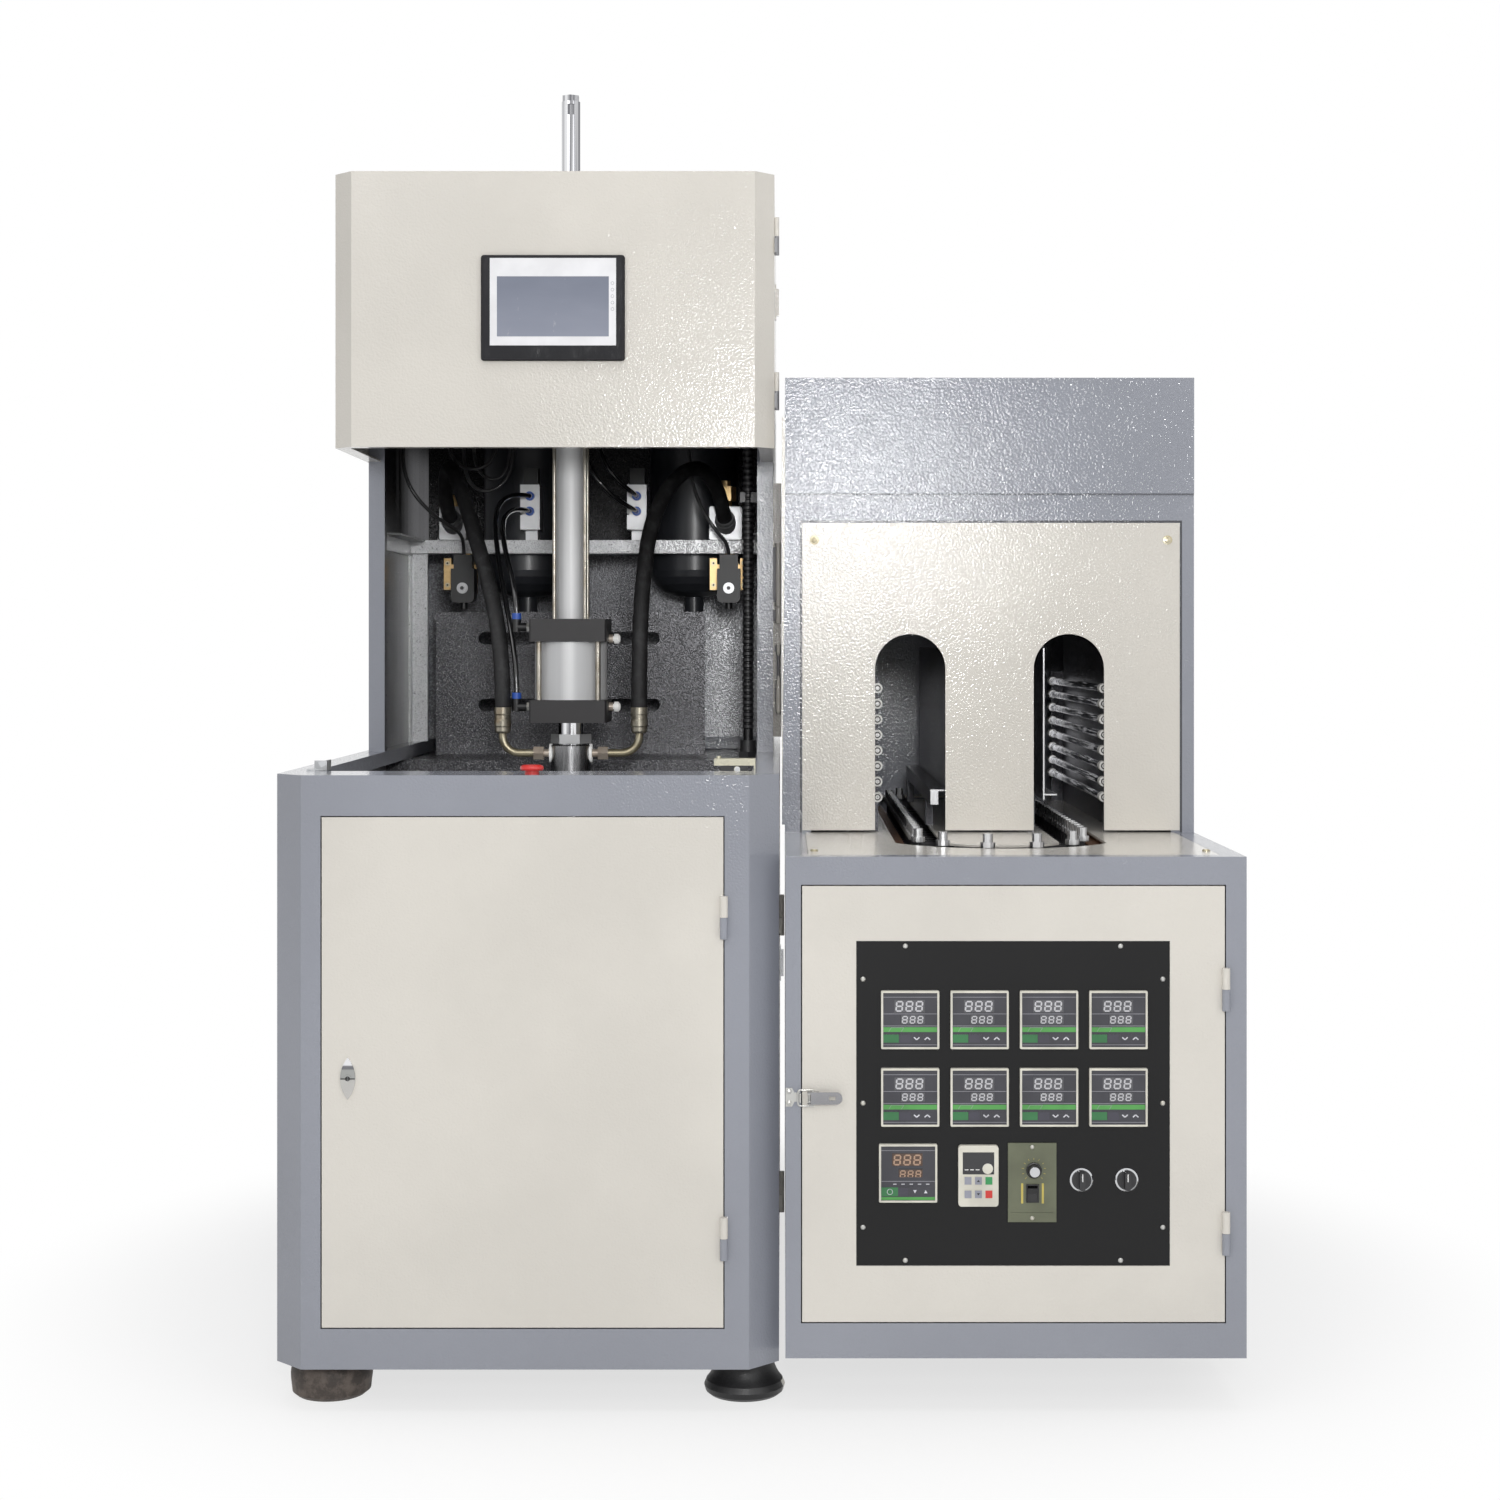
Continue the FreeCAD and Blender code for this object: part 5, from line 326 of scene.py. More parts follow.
def left_wall():
    """The tower's left inside, with painted light: dark in front, lighter towards the rear corner with
    painted upright reflection streaks, and a painted glow high up under the head.
    """
    paint = hammertone("hammered_left_wall", (0.03, 0.03, 0.034), (0.1, 0.1, 0.108), 0.24, 0.4)
    # painted reflection: upright streaks on the wall
    line = paint.noise(60, 3, 0.6, stretch=(1, 1, 0.03))
    lit = (paint.y.rise(0.27, 0.46) * 0.75 + (line - 0.5) * 0.5) * (1 - paint.z.rise(1.10, 1.35) * 0.3)
    paint.color(paint.blend(lit, (0.022, 0.022, 0.025), (0.42, 0.42, 0.435)))
    # painted light: a glow on the wall under the head, which is no lamp
    above = paint.z.rise(1.09, 1.14) * (1 - paint.z.rise(1.24, 1.31))
    paint.glow(paint.blend(lit * above, NO_LIGHT, (0.13, 0.13, 0.135)), 1.0)
    return paint


def barrel_paint():
    """Honed tube with a painted highlight: a soft upright band of light along its front."""
    paint = metal("anodised_tube", (0.70, 0.705, 0.715), 0.42, 0.06, (1, 1, 0.03), 500, metallic=0.05)
    off = paint.x - BX * MM
    # painted highlight: a soft upright band along the tube's front
    light = off.rise(-0.013, -0.002) * (1 - off.rise(0.002, 0.015))
    line = paint.noise(420, 2, stretch=(1, 1, 0.01))
    paint.color(paint.blend(light * 0.75 + (line - 0.5) * 0.3, (0.70, 0.705, 0.715),
                            (0.97, 0.975, 0.98)))
    return paint


def metal(name, color, rough=0.3, grain=0.10, stretch=(1, 1, 1), scale=700, stain=0.0, tone=None,
          metallic=1.0):
    paint = Paint(name, color, rough, metallic)
    streak = paint.noise(scale, 3, 0.6, stretch=stretch)
    cloud = paint.noise(16, 3)
    dark = [c * (0.80 - stain) for c in color]
    shade = paint.blend(cloud.rise(0.3, 0.7), dark, color)
    if tone:
        shade = paint.blend(paint.noise(41, 4).rise(0.45, 0.75), shade, tone)
    paint.color(shade)
    paint.rough(rough + (streak - 0.5) * grain * 2)
    paint.bump(streak, 0.00004)
    return paint


def spangle(name, color=(0.52, 0.53, 0.54), rough=0.34):
    """Hot-dip zinc with its large dull crystals."""
    paint = Paint(name, color, rough, 0.6)
    crystal = paint.cells(120, "Color")
    pick = paint.node("ShaderNodeSeparateColor", {}, {0: crystal})
    paint.color(paint.blend(pick, [c * 0.82 for c in color], [min(1, c * 1.15) for c in color]))
    paint.rough(rough + pick * 0.15)
    return paint


def plastic(name, color, rough=0.45, grain=0.00008, scale=1400, coat=0.0, vary=0.12):
    paint = Paint(name, color, rough, coat=coat)
    fine = paint.noise(scale, 2)
    cloud = paint.noise(23, 3)
    paint.color(paint.blend(cloud.rise(0.3, 0.7), [c * (1 - vary) for c in color],
                            [min(1, c * (1 + vary)) for c in color]))
    paint.rough(rough + (fine - 0.5) * 0.12)
    paint.bump(fine, grain)
    return paint


def glow(name, color, strength=0.6):
    """Printed or lit fields: a satin colour with a slight glow of its own; on the white plug heads
    this glow is painted light.
    """
    paint = plastic(name, color, 0.4, vary=0.04)
    paint.glow(color, strength)
    return paint


def quartz():
    """Clear tubes with painted reflections: light and dark streaks along them where the glass throws
    the room back, and painted glints that glow towards the far ends.
    """
    paint = Paint("lamp_quartz", (0.80, 0.82, 0.85), 0.10, 0.15, 0.8)
    streak = paint.noise(420, 2, stretch=(1, 0.03, 1))
    haze = paint.noise(60, 3, stretch=(1, 0.2, 1))
    mirror = streak * 0.7 + haze * 0.3
    paint.color(paint.blend(mirror.rise(0.42, 0.60), (0.05, 0.05, 0.055), (0.90, 0.91, 0.94)))
    paint.rough(0.08 + haze * 0.12)
    # painted glints, glowing, brighter towards the far ends
    far = paint.y.rise(0.12, 0.34)
    glints = paint.noise(150, 3, 0.7, stretch=(1, 0.35, 1)).rise(0.40, 0.56)
    lit = (mirror.rise(0.50, 0.62) * 0.35).most(glints * far)
    paint.glow(paint.blend(lit, NO_LIGHT, (0.92, 0.92, 0.96)), 0.80)
    return paint


def conduit_paint():
    """Ribbed black tube with a patchy painted highlight on its crests."""
    paint = Paint("ribbed_conduit", (0.016, 0.016, 0.017), 0.34, Specular_IOR_Level=0.8)
    # painted highlight on the rib crests
    crest = reach(paint.x - CONDUIT_X * MM, paint.y - CONDUIT_Y * MM).rise(0.0080, 0.0090)
    paint.color(paint.blend(crest * (paint.noise(40, 3) * 0.4 + 0.6), (0.008, 0.008, 0.009),
                            (0.060, 0.060, 0.064)))
    paint.rough(0.30 + paint.noise(300, 2) * 0.15)
    return paint


def mirror_bar(name):
    """Hard chrome with painted reflections: the upright light and dark lines that a polished bar
    shows.
    """
    paint = Paint(name, (0.62, 0.63, 0.65), 0.08, 1.0)
    line = paint.noise(150, 2, 0.6, stretch=(1, 1, 0.004))
    fine = paint.noise(900, 2, stretch=(1, 1, 0.02))
    # painted reflection lines
    paint.color(paint.blend(line.rise(0.40, 0.60), (0.16, 0.16, 0.175), (0.82, 0.825, 0.84)))
    paint.rough(0.06 + fine * 0.06)
    return paint


beige = powder_coat("beige_coat", BEIGE, *BEIGE_COAT)
beige_inside = powder_coat("beige_inner_coat", [c * 0.9 for c in BEIGE], 0.42)
grey = powder_coat("grey_coat", GREY, *GREY_COAT)
ENAMEL = ((0.020, 0.020, 0.025), (0.075, 0.074, 0.086))
hammer = hammertone("hammered_enamel", *ENAMEL, 0.22)
hammer_dim = hammertone("hammered_inside", *ENAMEL, 0.24, shine=0.35)
hammer_silver = hammertone("hammered_silver", (0.30, 0.303, 0.31), (0.56, 0.565, 0.575), 0.24, 0.5)
tank_enamel = powder_coat("tank_enamel", (0.040, 0.043, 0.051), 0.32, 0.00006, 200, gloss=0.3)
black_sheet = powder_coat("panel_enamel", (0.010, 0.010, 0.0105), 0.20, 0.00004, 120, gloss=0.0)
black_sheet.set("Specular IOR Level", 0.25)
zinc = metal("bright_zinc", (0.58, 0.58, 0.56), 0.34, 0.12, tone=(0.60, 0.57, 0.48), metallic=0.7)
yellow_zinc = metal("yellow_zinc", (0.42, 0.37, 0.25), 0.30, 0.10, tone=(0.50, 0.46, 0.35),
                    metallic=0.65)
galvanised = spangle("galvanised_sheet")
old_zinc = metal("old_zinc", (0.40, 0.37, 0.30), 0.30, 0.12, tone=(0.26, 0.20, 0.13), metallic=0.7)
chrome = metal("polished_chrome", (0.66, 0.67, 0.69), 0.09, 0.03, scale=300, stain=-0.12)
nut_steel = metal("nut_steel", (0.42, 0.42, 0.43), 0.30, 0.08, metallic=0.7)
bright_steel = metal("turned_steel", (0.74, 0.745, 0.755), 0.20, 0.06, metallic=0.55)
steel = metal("ground_steel", (0.45, 0.45, 0.46), 0.26, 0.14, (1, 1, 0.05))
matt_steel = metal("matt_steel", (0.27, 0.27, 0.28), 0.50, 0.10, metallic=0.4)
oiled = metal("oiled_chain", (0.040, 0.039, 0.042), 0.34, 0.14, metallic=0.3)
# dark copy for the spindles' sides: painted shade
spindle_painted_shade = metal("spindle_shade", (0.11, 0.11, 0.115), 0.30, 0.08, metallic=0.6)
lever_steel = metal("pressed_steel", (0.36, 0.36, 0.375), 0.24, 0.10, (0.06, 1, 1), metallic=0.8)
dark_steel = metal("machined_plate", (0.30, 0.31, 0.32), 0.36, 0.14, (0.06, 1, 1))
aluminium = barrel_paint()
rod_steel = metal("tie_rod_steel", (0.40, 0.375, 0.33), 0.28, 0.06, (1, 1, 0.03),
                  tone=(0.24, 0.21, 0.165), metallic=0.85)
cast_alu = metal("milled_aluminium", (0.56, 0.565, 0.575), 0.38, 0.14, (0.08, 1, 1), metallic=0.7)
mould_alu = metal("mould_aluminium", (0.64, 0.65, 0.66), 0.30, 0.10, (1, 1, 0.1))
brass = metal("bare_brass", (0.56, 0.39, 0.19), 0.32, 0.12, tone=(0.36, 0.23, 0.10), metallic=0.75)
nickel_brass = metal("nickel_brass", (0.60, 0.52, 0.44), 0.34, 0.10, tone=(0.48, 0.39, 0.31),
                     metallic=0.4)
foot_rubber = plastic("foot_rubber", (0.013, 0.013, 0.014), 0.42, 0.0002, 500)
black = plastic("black_moulding", (0.012, 0.012, 0.013), 0.38)
satin_black = plastic("satin_black", (0.022, 0.022, 0.024), 0.50)
cap_black = plastic("cap_anodised", (0.018, 0.0165, 0.018), 0.50, 0.00005, 1800)
red = plastic("red_moulding", (0.62, 0.018, 0.015), 0.28, coat=0.3)
cream = plastic("cream_moulding", (0.66, 0.64, 0.56), 0.40)
white = plastic("white_moulding", (0.90, 0.90, 0.88), 0.38)
# white plug heads, with a glow that is painted light
plug_white_painted_light = glow("plug_white_painted_light", (0.90, 0.90, 0.88), 0.22)
bezel_black = plastic("bezel_black", (0.012, 0.012, 0.014), 0.50)
bezel_black.set("Specular IOR Level", 0.2)
blue = plastic("blue_collar", (0.035, 0.12, 0.55), 0.34)
olive = plastic("olive_plate", (0.125, 0.135, 0.085), 0.42)
face_grey = plastic("instrument_face", (0.045, 0.045, 0.055), 0.30)
window_dark = plastic("display_window", (0.022, 0.022, 0.026), 0.12, 0.00001, coat=0.4)
ceramic = plastic("white_ceramic", (0.78, 0.77, 0.74), 0.42)
lamp_paint = quartz()
bar_chrome = mirror_bar("hard_chrome")
pale_zinc = spangle("pale_zinc", (0.50, 0.48, 0.38), 0.42)
brown = metal("browned_steel", (0.16, 0.085, 0.05), 0.50, 0.2, (1, 0.05, 1), tone=(0.24, 0.15, 0.10))


def foot_dusty():
    paint = plastic("dusty_rubber", (0.05, 0.038, 0.032), 0.6, 0.0003, 500)
    dust = paint.noise(38, 5, 0.7)
    low = 1 - paint.z.rise(0.012, 0.05)
    paint.color(paint.blend((dust.rise(0.42, 0.62) * 0.7 + low * 0.2).least(1.0),
                            (0.035, 0.027, 0.023), (0.16, 0.13, 0.11)))
    return paint


dusty = foot_dusty()


# ---------------------------------------- cords
def spline_points(name, route):
    """The route's NURBS line, and points read along it."""
    curve = bpy.data.curves.new(name, "CURVE")
    curve.dimensions = "3D"
    curve.resolution_u = 10
    spline = curve.splines.new("NURBS")
    spline.points.add(len(route) - 1)
    for point, place in zip(spline.points, route):
        point.co = (*metres(place), 1.0)
    spline.order_u = 3
    spline.use_endpoint_u = True
    obj = add_object(name, curve)
    bpy.context.view_layer.update()
    line = bpy.data.meshes.new_from_object(obj.evaluated_get(bpy.context.evaluated_depsgraph_get()))
    points = [v.co.copy() for v in line.vertices]
    if (points[0] - metres(route[0])).length > (points[-1] - metres(route[0])).length:
        points.reverse()
    bpy.data.meshes.remove(line)
    return obj, points


def cord_curve(name, route, diameter, paint, node, **facts):
    obj, points = spline_points(name, route)
    obj.data.bevel_depth = diameter * MM / 2
    obj.data.bevel_resolution = 4
    obj.data.use_fill_caps = True
    obj.data.materials.append(paint.material)
    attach(obj, FRAME_BODY)
    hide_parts(node)


def tube_mesh(name, points, radius, sides, ripple, pitch):
    """A tube that follows points, with a fine ripple of its wrapped cover. In metres."""
    steps = []
    for a, b in zip(points, points[1:]):
        parts = max(1, round((b - a).length / pitch))
        steps += [a.lerp(b, k / parts) for k in range(parts)]
    steps.append(points[-1])
    side = Vector((1, 0, 0))
    verts, faces = [], []
    for k, here in enumerate(steps):
        along = (steps[min(k + 1, len(steps) - 1)] - steps[max(k - 1, 0)]).normalized()
        side = (side - along * side.dot(along)).normalized()
        other = along.cross(side)
        r = radius - (ripple if k % 2 else 0.0)
        for j in range(sides):
            angle = 2 * math.pi * j / sides
            verts.append(here + side * (r * math.cos(angle)) + other * (r * math.sin(angle)))
    for k in range(len(steps) - 1):
        for j in range(sides):
            a = k * sides + j
            b = k * sides + (j + 1) % sides
            faces.append((a, b, b + sides, a + sides))
    last = (len(steps) - 1) * sides
    faces += [tuple(reversed(range(sides))), tuple(range(last, last + sides))]
    obj = add_mesh(name, verts, faces)
    obj.data.validate()
    for face in obj.data.polygons:
        face.use_smooth = len(face.vertices) == 4
    return obj


def hose_paint():
    """Matt wrapped rubber: a faint cross weave and a scuffed sheen."""
    paint = Paint("wrapped_hose", (0.018, 0.018, 0.019), 0.55)
    scuff = paint.noise(55, 4, 0.65)
    paint.color(paint.blend(scuff.rise(0.45, 0.75), (0.012, 0.012, 0.013), (0.042, 0.042, 0.044)))
    paint.rough(0.50 + scuff * 0.22)
    paint.bump(paint.noise(1500, 2), 0.00025)
    return paint


hose_cover = hose_paint()
HOSE_D, TUBE_D, CABLE_D = 24.0, 8.0, 6.0
HOSE_WEAVE = (28, 0.00012, 0.0015)    # sides, ripple and its pitch in metres
FERRULE_AT = 103.0
HOSE_ROUTES = {                # points as x from BX, depth and height
    "hose_left": [(-FERRULE_AT, 652, 857), (-FERRULE_AT, 652, 907), (-112, 664, 985),
                  (-132, 694, 1058), (-158, 734, 1128), (-180, 778, 1186), (-202, 832, 1229),
                  (-220, 896, 1238), (-233, 950, 1207), (-231, 978, 1168), (-227, 1005, 1153)],
    "hose_right": [(FERRULE_AT, 652, 857), (FERRULE_AT, 652, 907), (104, 664, 985),
                   (107, 694, 1058), (114, 736, 1130), (134, 784, 1190), (164, 838, 1229),
                   (193, 898, 1236), (214, 950, 1205), (222, 978, 1168), (225, 1005, 1153)]}


def placed(route):
    return [(BX + x, at_depth(d), z) for x, d, z in route]


def make_hoses():
    for name, route in HOSE_ROUTES.items():
        route = placed(route)
        guide, points = spline_points(name + "_guide", route)
        bpy.data.objects.remove(guide)
        tube = tube_mesh(name + "_cover", points, HOSE_D * MM / 2, *HOSE_WEAVE)
        tube.data.materials.append(hose_cover.material)
        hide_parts(name)
        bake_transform(tube)


make_hoses()

SPOOL_LEFT, SPOOL_RIGHT, SPOOL_FACE = -97, 79, 978
AIR_TUBES = {
    "upper_tube": [(-82, 652, 999), (-84, 652, 1024), (-90, 664, 1054), (-101, 690, 1084),
                   (-111, 730, 1112), (-119, 785, 1138), (-121, 845, 1158), (-114, 905, 1170),
                   (-102, 948, 1172), (SPOOL_LEFT, SPOOL_FACE, 1171)],
    "lower_tube": [(-82, 652, 879), (-83, 654, 915), (-90, 663, 960), (-99, 678, 1003),
                   (-109, 702, 1043), (-120, 740, 1085), (-131, 790, 1130), (-136, 848, 1168),
                   (-128, 908, 1190), (-110, 952, 1197), (SPOOL_LEFT, SPOOL_FACE, 1196)],
    "cross_tube": [(SPOOL_RIGHT, SPOOL_FACE, 1196), (78, 948, 1197), (66, 916, 1205),
                   (44, 900, 1226), (28, 908, 1254), (22, 938, 1276), (21, 960, 1293)],
    "low_cross_tube": [(SPOOL_RIGHT, SPOOL_FACE, 1171), (77, 946, 1172), (64, 910, 1178),
                       (40, 886, 1196), (16, 882, 1224), (2, 898, 1256), (-4, 928, 1280),
                       (-5, 960, 1299)]}
CABLES = {
    "first_loop": [(-205, 975, 1285), (-204, 973, 1245), (-193, 969, 1213), (-168, 966, 1200),
                   (-140, 968, 1212), (-124, 972, 1243), (-120, 975, 1285)],
    "second_loop": [(-190, 986, 1285), (-188, 985, 1254), (-176, 983, 1230), (-156, 982, 1221),
                    (-138, 983, 1231), (-130, 985, 1256), (-128, 986, 1285)],
    "third_loop": [(-228, 966, 1285), (-224, 958, 1262), (-208, 953, 1243), (-184, 951, 1236),
                   (-162, 954, 1245), (-150, 960, 1264), (-148, 966, 1285)],
    "left_lead": [(-270, 960, 1305), (-276, 915, 1303), (-282, 872, 1288), (-284, 838, 1256),
                  (-277, 820, 1218), (-262, 818, 1188), (-243, 836, 1165), (-226, 872, 1149),
                  (-213, 915, 1140), (-206, 953, 1131), (-205, 980, 1117), (-205, 982, 1099)],
    "right_lead": [(165, 975, 1285), (166, 972, 1250), (172, 966, 1215), (184, 958, 1180),
                   (200, 952, 1152), (216, 956, 1131), (229, 972, 1117), (231, 982, 1099)]}
tube_paint = plastic("air_tube", (0.014, 0.014, 0.016), 0.16, coat=0.6)
cable_paint = plastic("cable_sheath", (0.062, 0.062, 0.064), 0.34, coat=0.25)
for name, route in AIR_TUBES.items():
    cord_curve(name, placed(route), TUBE_D, tube_paint, "air_tubes", stiffness="medium", lay="hanging")
for name, route in CABLES.items():
    cord_curve(name, placed(route), CABLE_D, cable_paint, "cables", stiffness="limp", lay="hanging")


# ---------------------------------------- finishes of the CAD nodes
def dress(node, paint, *rules):
    """Gives a node its finish. A rule is (test of face centre and normal, finish); the first wins."""
    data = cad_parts[node].data
    data.materials.clear()
    data.materials.append(paint.material)
    for _, other in rules:
        data.materials.append(other.material)
    if not rules:
        return
    for face in data.polygons:
        centre = face.center / MM
        for k, (test, _) in enumerate(rules):
            if test(centre, face.normal):
                face.material_index = k + 1
                break


def depth_of(c):
    return c.y - FRONT


ALL = (-math.inf, math.inf)


def over(low):
    return low, math.inf


def under(high):
    return -math.inf, high


def zone(x=ALL, depth=ALL, z=ALL):
    """A test for faces whose centre lies between these limits."""
    def test(c, n):
        return x[0] < c.x < x[1] and depth[0] < depth_of(c) < depth[1] and z[0] < c.z < z[1]
    return test


FACING = 0.5                  # a normal's share from which a face looks that way
WALL = 3.2                    # past the cabinets' 3 mm sheets
BASE_RIM, HEATER_RIM, HOOD_RIM = 771.0, 682.0, 1324.0
HOOD_ROOM = (387.5, 1237.9)
TOWER_REAR = 1200.0
SPINDLE_FOOT = 688.0
BLOWER_RIGHT = BX + BLOWER_W / 2
HEATER_LEFT = HX - HEATER_W / 2


def in_bay(c, n):
    """Faces that look into the tower or lie under its top."""
    inward = abs(n.x) > FACING and (c.x - BX) * n.x < 0
    return inward or (n.y < -FACING and depth_of(c) > TOWER_REAR) or n.z < -FACING


def base_inside(c, n):
    side = abs(c.x - BX)
    inner = side < BLOWER_W / 2 - 2.9 and side - depth_of(c) < BLOWER_W / 2 - CORNER - 4.0
    return inner and c.z < BASE_RIM and WALL < depth_of(c) < DEPTH - WALL


def heater_inside(c, n):
    inner = abs(c.x - HX) < HEATER_W / 2 - 2.9
    return inner and c.z < HEATER_RIM and WALL < depth_of(c) < DEPTH - WALL


def hood_inside(c, n):
    inner = abs(c.x - HX) < HEATER_W / 2 - 1.9
    return inner and HOOD_ROOM[0] < depth_of(c) < HOOD_ROOM[1] and c.z < HOOD_RIM


METERS = [(PANEL_X + 1.3 + (k - 1.5) * 86.0, PANEL_Z + 104.0 - row * 96.0) for row in (0, 1)
          for k in range(4)]
INDICATOR = (PANEL_X - 130.3, PANEL_Z - 86.0)


def bezel_side(c):
    return min(max(abs(c.x - x), abs(c.z - z)) for x, z in METERS + [INDICATOR]) > 35.0


lock_paint = lock_plate()
behind_face = zone(depth=over(0.5))
PLAIN = {
    "blower_door": beige, "hinge_barrels": grey, "red_button": red, "mount_plate": hammer,
    "touch_panel": bezel_black, "shelf_frame": hammer_silver, "air_tanks": tank_enamel,
    "cylinder_caps": cap_black, "cylinder_barrels": aluminium, "cylinder_tie_rods": rod_steel,
    "blow_block": steel, "stretch_rod": bar_chrome, "conduit": conduit_paint(),
    "clamp_cylinders": aluminium, "front_mould": mould_alu, "rear_mould": mould_alu,
    "heater_door": beige, "instrument_panel": black_sheet, "inverter_keypad": cream,
    "rocker_switch": black, "left_selector": satin_black, "right_selector": satin_black,
    "latch_bracket": zinc, "latch_lever": lever_steel, "latch_bail": zinc, "heater_table": beige,
    "front_sprocket": oiled, "rear_sprocket": steel, "chain_bed": hammer_dim}
for node, paint in PLAIN.items():
    dress(node, paint)
dress("blower_base", grey, (base_inside, hammer_dim))
dress("machine_feet", foot_rubber, (zone(under(BX), under(600)), dusty),
      (zone(over(BLOWER_RIGHT + GAP / 2)), zinc))
dress("lock_escutcheon", lock_paint, (behind_face, chrome))
dress("lock_cam", lock_paint, (behind_face, chrome))
dress("limit_switch", galvanised,
      (zone((BX, BX + 275), over(158.5), under(800.8)), black),
      (zone(over(BX), z=over(790.5)), pale_zinc))
dress("tower_shell", grey, (lambda c, n: in_bay(c, n) and c.x < BX - 200, left_wall()),
      (in_bay, bay_enamel()))
dress("head_shell", beige, (lambda c, n: n.z < -FACING and c.z > 1300, beige_inside))
dress("side_doors", beige,                   # the tower's latch, two knob latches, two barrels
      (zone(depth=(660, 667.9), z=(845, 1110)), matt_steel),
      (lambda c, n: n.x > FACING and abs(c.z - 1460) < 27 and c.x > 19, chrome),
      (zone(over(BLOWER_RIGHT), z=(453, 507)), chrome),
      (lambda c, n: c.x > BX + 308.05 and (1481 < c.z < 1525 or 1262 < c.z < 1307.5), matt_steel))
dress("cylinder_fittings", black,            # plug heads, plug bodies, nipples, release collars
      (zone(over(BX + 63.6)), plug_white_painted_light),
      (zone(over(BX)), nickel_brass),
      (zone(over(BX - 66.7)), zinc),
      (lambda c, n: c.z > 990.05 or 870.05 < c.z < 900, blue))
dress("seal_rod", bar_chrome, (zone(z=(802, 818)), bright_steel))
dress("blow_fittings", nickel_brass,         # washers, ferrules, bent pipes
      (zone((BX - 32.2, BX + 32.2)), plug_white_painted_light),
      (zone(z=over(818)), old_zinc),
      (lambda c, n: abs(c.x - BX) > 56.1, yellow_zinc))
dress("valve_blocks", cast_alu,
      (lambda c, n: abs(c.x - BX) < 130 and depth_of(c) < 986.9 and n.y > -2, blue))
dress("solenoid_coils", black, (zone(depth=under(962), z=under(1060)), nut_steel))
dress("brass_valves", brass, (zone(z=(1130, 1178)), matt_steel))
dress("clamp_frame", dark_steel,
      (lambda c, n: 430 < c.z < 700 and abs(abs(c.x - BX) - 145) < 15.5, chrome))
dress("front_platen", dark_steel, (zone(depth=under(427)), chrome))
dress("rear_platen", dark_steel, (zone(depth=over(877)), chrome))
dress("heater_base", grey, (heater_inside, hammer_dim))
dress("controllers", face_grey,              # bezels, cases, windows
      (lambda c, n: c.y < FRONT - 3.9 or (c.y < FRONT + 2.1 and abs(n.y) < FACING and bezel_side(c)),
       cream),
      (zone(depth=over(2.1)), black),
      (lambda c, n: n.y < -FACING and depth_of(c) > -2.0, window_dark))
dress("speed_plate", olive, (zone((PANEL_X + 15.8, PANEL_X + 32.2), z=(258, 284)), black))
dress("speed_knob", black, (lambda c, n: n.y < -0.9 and depth_of(c) < -13.2, chrome))
dress("door_trim", zinc, (zone(over(PANEL_X + 60), z=(272, 305)), chrome))
dress("heater_hood", hood_coat(), (zone(under(HEATER_LEFT - 0.1)), beige), (hood_inside, hammer_dim))
dress("hood_front_panel", beige, (zone(depth=under(384.95)), yellow_zinc),
      (lambda c, n: n.y > FACING or depth_of(c) > 385.2, hammer_dim))
dress("lamps", lamp_paint, (lambda c, n: not 427.5 < depth_of(c) < 1052.5, ceramic))
dress("lamp_racks", hammer_dim, (zone(z=under(687)), brown),
      (lambda c, n: n.y < -FACING and depth_of(c) < 406 and (c.z < 750 or c.x > HX), bright_steel))
dress("spindle_chain", oiled,                # painted light and shade by facing: tops and fronts lit, slanting fronts mid, sides in shade
      (lambda c, n: c.z > SPINDLE_FOOT and (n.z > FACING or n.y < -0.86), bright_steel),
      (lambda c, n: c.z > SPINDLE_FOOT and n.y < -FACING, steel),
      (zone(z=over(SPINDLE_FOOT)), spindle_painted_shade))


